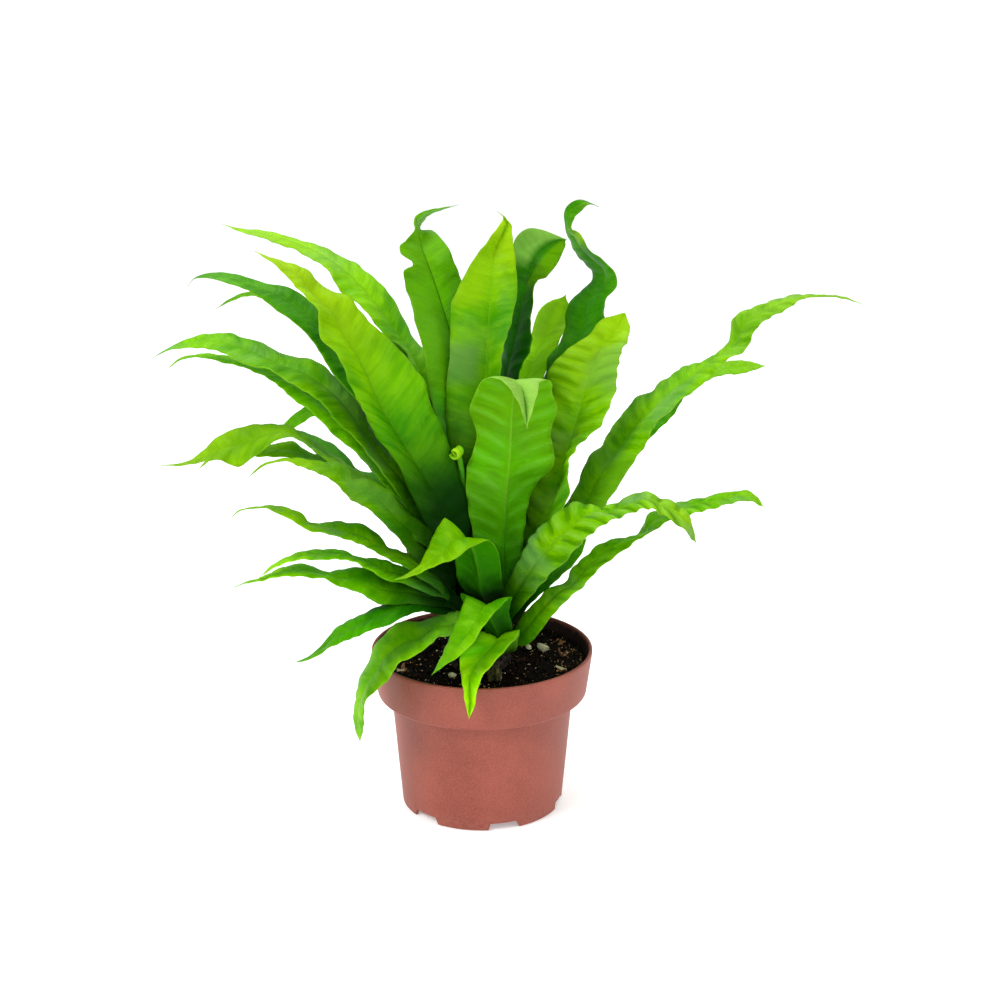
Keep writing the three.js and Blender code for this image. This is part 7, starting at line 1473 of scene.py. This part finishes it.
def crown():
    lo, hi = (np.array(v[:]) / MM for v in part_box("crown"))
    mid, ext = (lo + hi) / 2, (hi - lo) / 2
    rnd = np.random.RandomState(12)
    parts = []
    # the rhizome itself
    segs, levels = 64, 20
    V, rings = [], []
    for k in range(levels):
        f = k / levels
        w = (1 - f ** 1.7) ** 0.62
        a = np.arange(segs) * 2 * math.pi / segs
        x, y = np.cos(a) * w, np.sin(a) * w
        p = np.stack([x * 3, y * 3, 0 * x + f * 3], -1)
        k_ = 0.93 + 0.06 * fbm(p * 2, 3, 3)
        rings.append(list(range(len(V), len(V) + segs)))
        V += list(zip(mid[0] + ext[0] * x * k_, mid[1] + ext[1] * y * k_, lo[2] - 0.4 + (hi[2] - lo[2]) * f + 0 * x))
    rings.append([len(V)] * segs)
    V.append((mid[0], mid[1], hi[2] - 0.6))
    bottom = len(V)
    V.append((mid[0], mid[1], lo[2] - 0.4))
    F = []
    for i in range(levels):
        for j in range(segs):
            k = (j + 1) % segs
            f = [rings[i][j], rings[i][k], rings[i + 1][k], rings[i + 1][j]]
            f = [x for n_, x in enumerate(f) if x not in f[:n_]]
            F.append(f)
    for j in range(segs):
        F.append([bottom, rings[0][(j + 1) % segs], rings[0][j]])
    parts.append((V, F))
    # narrow scales and rootlets that clothe it
    for k in range(420):
        f = rnd.rand() ** 0.8
        a = 2 * math.pi * rnd.rand()
        w = (1 - min(f, 0.97) ** 1.7) ** 0.62 * 0.95
        base = np.array([mid[0] + ext[0] * w * math.cos(a), mid[1] + ext[1] * w * math.sin(a), lo[2] + (hi[2] - lo[2]) * f * 0.97])
        out = np.array([math.cos(a), math.sin(a), 0.0])
        long = 2.5 + 5.5 * rnd.rand()
        tip = base + out * (0.9 + 1.3 * rnd.rand()) + np.array([0.5 * rnd.randn(), 0.5 * rnd.randn(), long if rnd.rand() < 0.75 else -0.4 * long])
        t = np.linspace(0, 1, 5)[:, None]
        pts = base * (1 - t) + tip * t + 0.4 * np.sin(math.pi * t) * out
        parts.append(tube(pts, np.array([0.32, 0.36, 0.28, 0.18, 0.06]) * (0.6 + 0.6 * rnd.rand()), 4))
    V, F = gather(parts)
    attach(mesh_piece("crown_rhizome", V, F, crown_material()), "crown", "crown")


crown()

# ---------------------------------------------------------------- young frond


def young_material():
    g = Nodes("young_frond_skin")
    p = g.position()
    run = g.attr("f_along")
    streak = g.noise(p, 380.0, 3.0, 0.6)
    colour = g.ramp(run, [(0.0, lin(12, 56, 2)), (0.35, lin(16, 84, 0)), (0.6, lin(30, 108, 0)), (0.74, lin(54, 136, 0)), (0.82, lin(112, 180, 4)), (0.92, lin(156, 208, 12)), (1.0, lin(110, 176, 8))])
    colour = g.mix(g.between(streak, 0.4, 0.7, 0.0, 0.4), colour, lin(96, 160, 20))
    fleck = g.between(g.voronoi(p, 900.0), 0.12, 0.2, 1.0, 0.0)
    colour = g.mix(g.math("MULTIPLY", fleck, 0.35), colour, lin(96, 66, 30))
    face = g.principled(colour, 0.45, g.bump(streak, 0.3 * MM, 0.6))
    face.node.inputs["Specular IOR Level"].default_value = 0.15
    return g.finish(face)


def young():
    """A slim stalk whose tip is still rolled up into a short scroll."""
    stalk = [[-1.4, 1.0, 96], [-1.4, -0.5, 103], [-1.4, -4.6, 119], [-1.2, -7.6, 137], [-3.4, -7.5, 151], [-6.2, -6.4, 164], [-8.8, -6, 178], [-10.4, -7.6, 190], [-11.3, -8.9, 197.5]]
    centre, axis, steps, turns, pitch = np.array([-11.0, -9.8, 202.3]), unit(np.array([-0.52, -0.81, -0.27])), 20, 2.0, 3.0
    x = unit(np.array([axis[1], -axis[0], 0.0]))
    y = np.cross(x, axis)
    roll = []
    for k in range(steps + 1):
        t = k / steps
        turn, r = 2 * math.pi * turns * t, 1.8 + 0.6 * t
        roll.append(centre + axis * pitch * turns * t + r * (math.cos(turn) * x + math.sin(turn) * y))
    path = np.vstack([stalk, roll])
    P = spline(path, np.linspace(0, len(path) - 1, 260))
    n = len(P)
    arc = np.r_[0, np.cumsum(np.linalg.norm(np.diff(P, axis=0), axis=1))]
    t = arc / arc[-1]
    rad = 1.1 + 0.5 * smooth01(t, 0.05, 0.3) - 0.85 * smooth01(t, 0.7, 0.82) - 0.25 * smooth01(t, 0.97, 1.0)
    sides = 24
    V, F = tube(P, rad, sides)
    # the rolled blade shows as overlapping edges and spiral ridges
    a = np.tile(np.arange(sides) * 2 * math.pi / sides, n)
    run = np.repeat(t, sides)
    middle = np.repeat(P, sides, axis=0)
    edge = np.exp(-((np.mod(a - run * 9 + math.pi, 2 * math.pi) - math.pi) / 0.35) ** 2)
    ridge = 0.14 * edge - 0.10 * np.cos(2 * (a - run * 9)) * smooth01(run, 0.1, 0.4)
    V = middle + (V - middle) * (1 + ridge[:, None])
    # the scroll is a flat blade wound up, so it is wider along the scroll's axis than it is thick
    V = V + axis * ((V - middle) @ axis * 0.95 * smooth01(run, 0.74, 0.84))[:, None]
    attach(mesh_piece("young_frond_coil", V, F, young_material(), attributes={"f_along": run}), "frond_young", "young_frond")


young()

# ---------------------------------------------------------------- floor, light, camera


def stage():
    me = bpy.data.meshes.new("floor")
    n, wide = 96, 2.4
    me.from_pydata([(wide * math.cos(2 * math.pi * k / n), wide * math.sin(2 * math.pi * k / n), -0.0004) for k in range(n)], [], [list(range(n))])
    floor = bpy.data.objects.new("floor", me)
    bpy.context.scene.collection.objects.link(floor)
    g = Nodes("pale_floor")
    face = g.principled((0.9, 0.9, 0.9), 0.9)
    face.node.inputs["Emission Color"].default_value = (1, 1, 1, 1)
    face.node.inputs["Emission Strength"].default_value = 0.3
    me.materials.append(g.finish(face))
    w = bpy.data.worlds.new("studio")
    bpy.context.scene.world = w
    w.use_nodes = True
    t = w.node_tree
    t.nodes.clear()
    out = t.nodes.new("ShaderNodeOutputWorld")
    # what lights the object: brightest overhead, dim from below the horizon; what is seen behind it: plain white
    tc = t.nodes.new("ShaderNodeTexCoord")
    sep = t.nodes.new("ShaderNodeSeparateXYZ")
    mr = t.nodes.new("ShaderNodeMapRange")
    t.links.new(tc.outputs["Generated"], sep.inputs[0])
    t.links.new(sep.outputs[2], mr.inputs["Value"])
    mr.inputs["From Min"].default_value = -0.2
    mr.inputs["From Max"].default_value = 0.95
    mr.inputs["To Min"].default_value = WORLD_LOW
    mr.inputs["To Max"].default_value = WORLD_HIGH
    soft, white = t.nodes.new("ShaderNodeBackground"), t.nodes.new("ShaderNodeBackground")
    soft.inputs["Color"].default_value = (1, 1, 1, 1)
    t.links.new(mr.outputs["Result"], soft.inputs["Strength"])
    white.inputs["Color"].default_value = (1, 1, 1, 1)
    white.inputs["Strength"].default_value = 1.08
    rays, pick = t.nodes.new("ShaderNodeLightPath"), t.nodes.new("ShaderNodeMixShader")
    t.links.new(rays.outputs["Is Camera Ray"], pick.inputs[0])
    t.links.new(soft.outputs[0], pick.inputs[1])
    t.links.new(white.outputs[0], pick.inputs[2])
    t.links.new(pick.outputs[0], out.inputs[0])

    def area(name, where, at, size, power, colour=(1, 1, 1)):
        from mathutils import Vector
        d = bpy.data.lights.new(name, "AREA")
        d.shape = "RECTANGLE"
        d.size, d.size_y = size
        d.energy = power
        d.color = colour
        o = bpy.data.objects.new(name, d)
        bpy.context.scene.collection.objects.link(o)
        o.location = where
        o.rotation_euler = (Vector(at) - Vector(where)).to_track_quat("-Z", "Y").to_euler()
        return o

    for row in LIGHTS:
        area(*row)


WORLD_LOW, WORLD_HIGH = 0.22, 0.86
LIGHTS = [
    ("key_left", (-1.1, -0.9, 1.35), (0, 0, 0.15), (0.7, 0.7), 21.0),
    ("fill_right", (1.4, -0.6, 0.9), (0, 0, 0.12), (0.9, 0.9), 6.0),
    ("front_fill", (0.35, -1.7, 0.45), (0, 0, 0.12), (1.2, 0.9), 4.5),
    ("top_back", (0.1, 0.8, 1.6), (0, 0, 0.15), (1.0, 0.8), 16.0),
]
stage()

cam = bpy.data.cameras.new("camera")
cam.sensor_width = 36.0
cam.lens = 36.0 * 1884.0 / 1000.0
cam.clip_start, cam.clip_end = 0.05, 60.0
eye = bpy.data.objects.new("camera", cam)
bpy.context.scene.collection.objects.link(eye)
eye.location = (0.0098, -0.957, 0.467)
eye.rotation_euler = (math.radians(90 - 17.14), 0, 0)
bpy.context.scene.camera = eye

view = bpy.context.scene.view_settings
view.view_transform = "Standard"
view.look = "None"
view.exposure = 0.0
view.gamma = 1.0

bpy.context.view_layer.update()
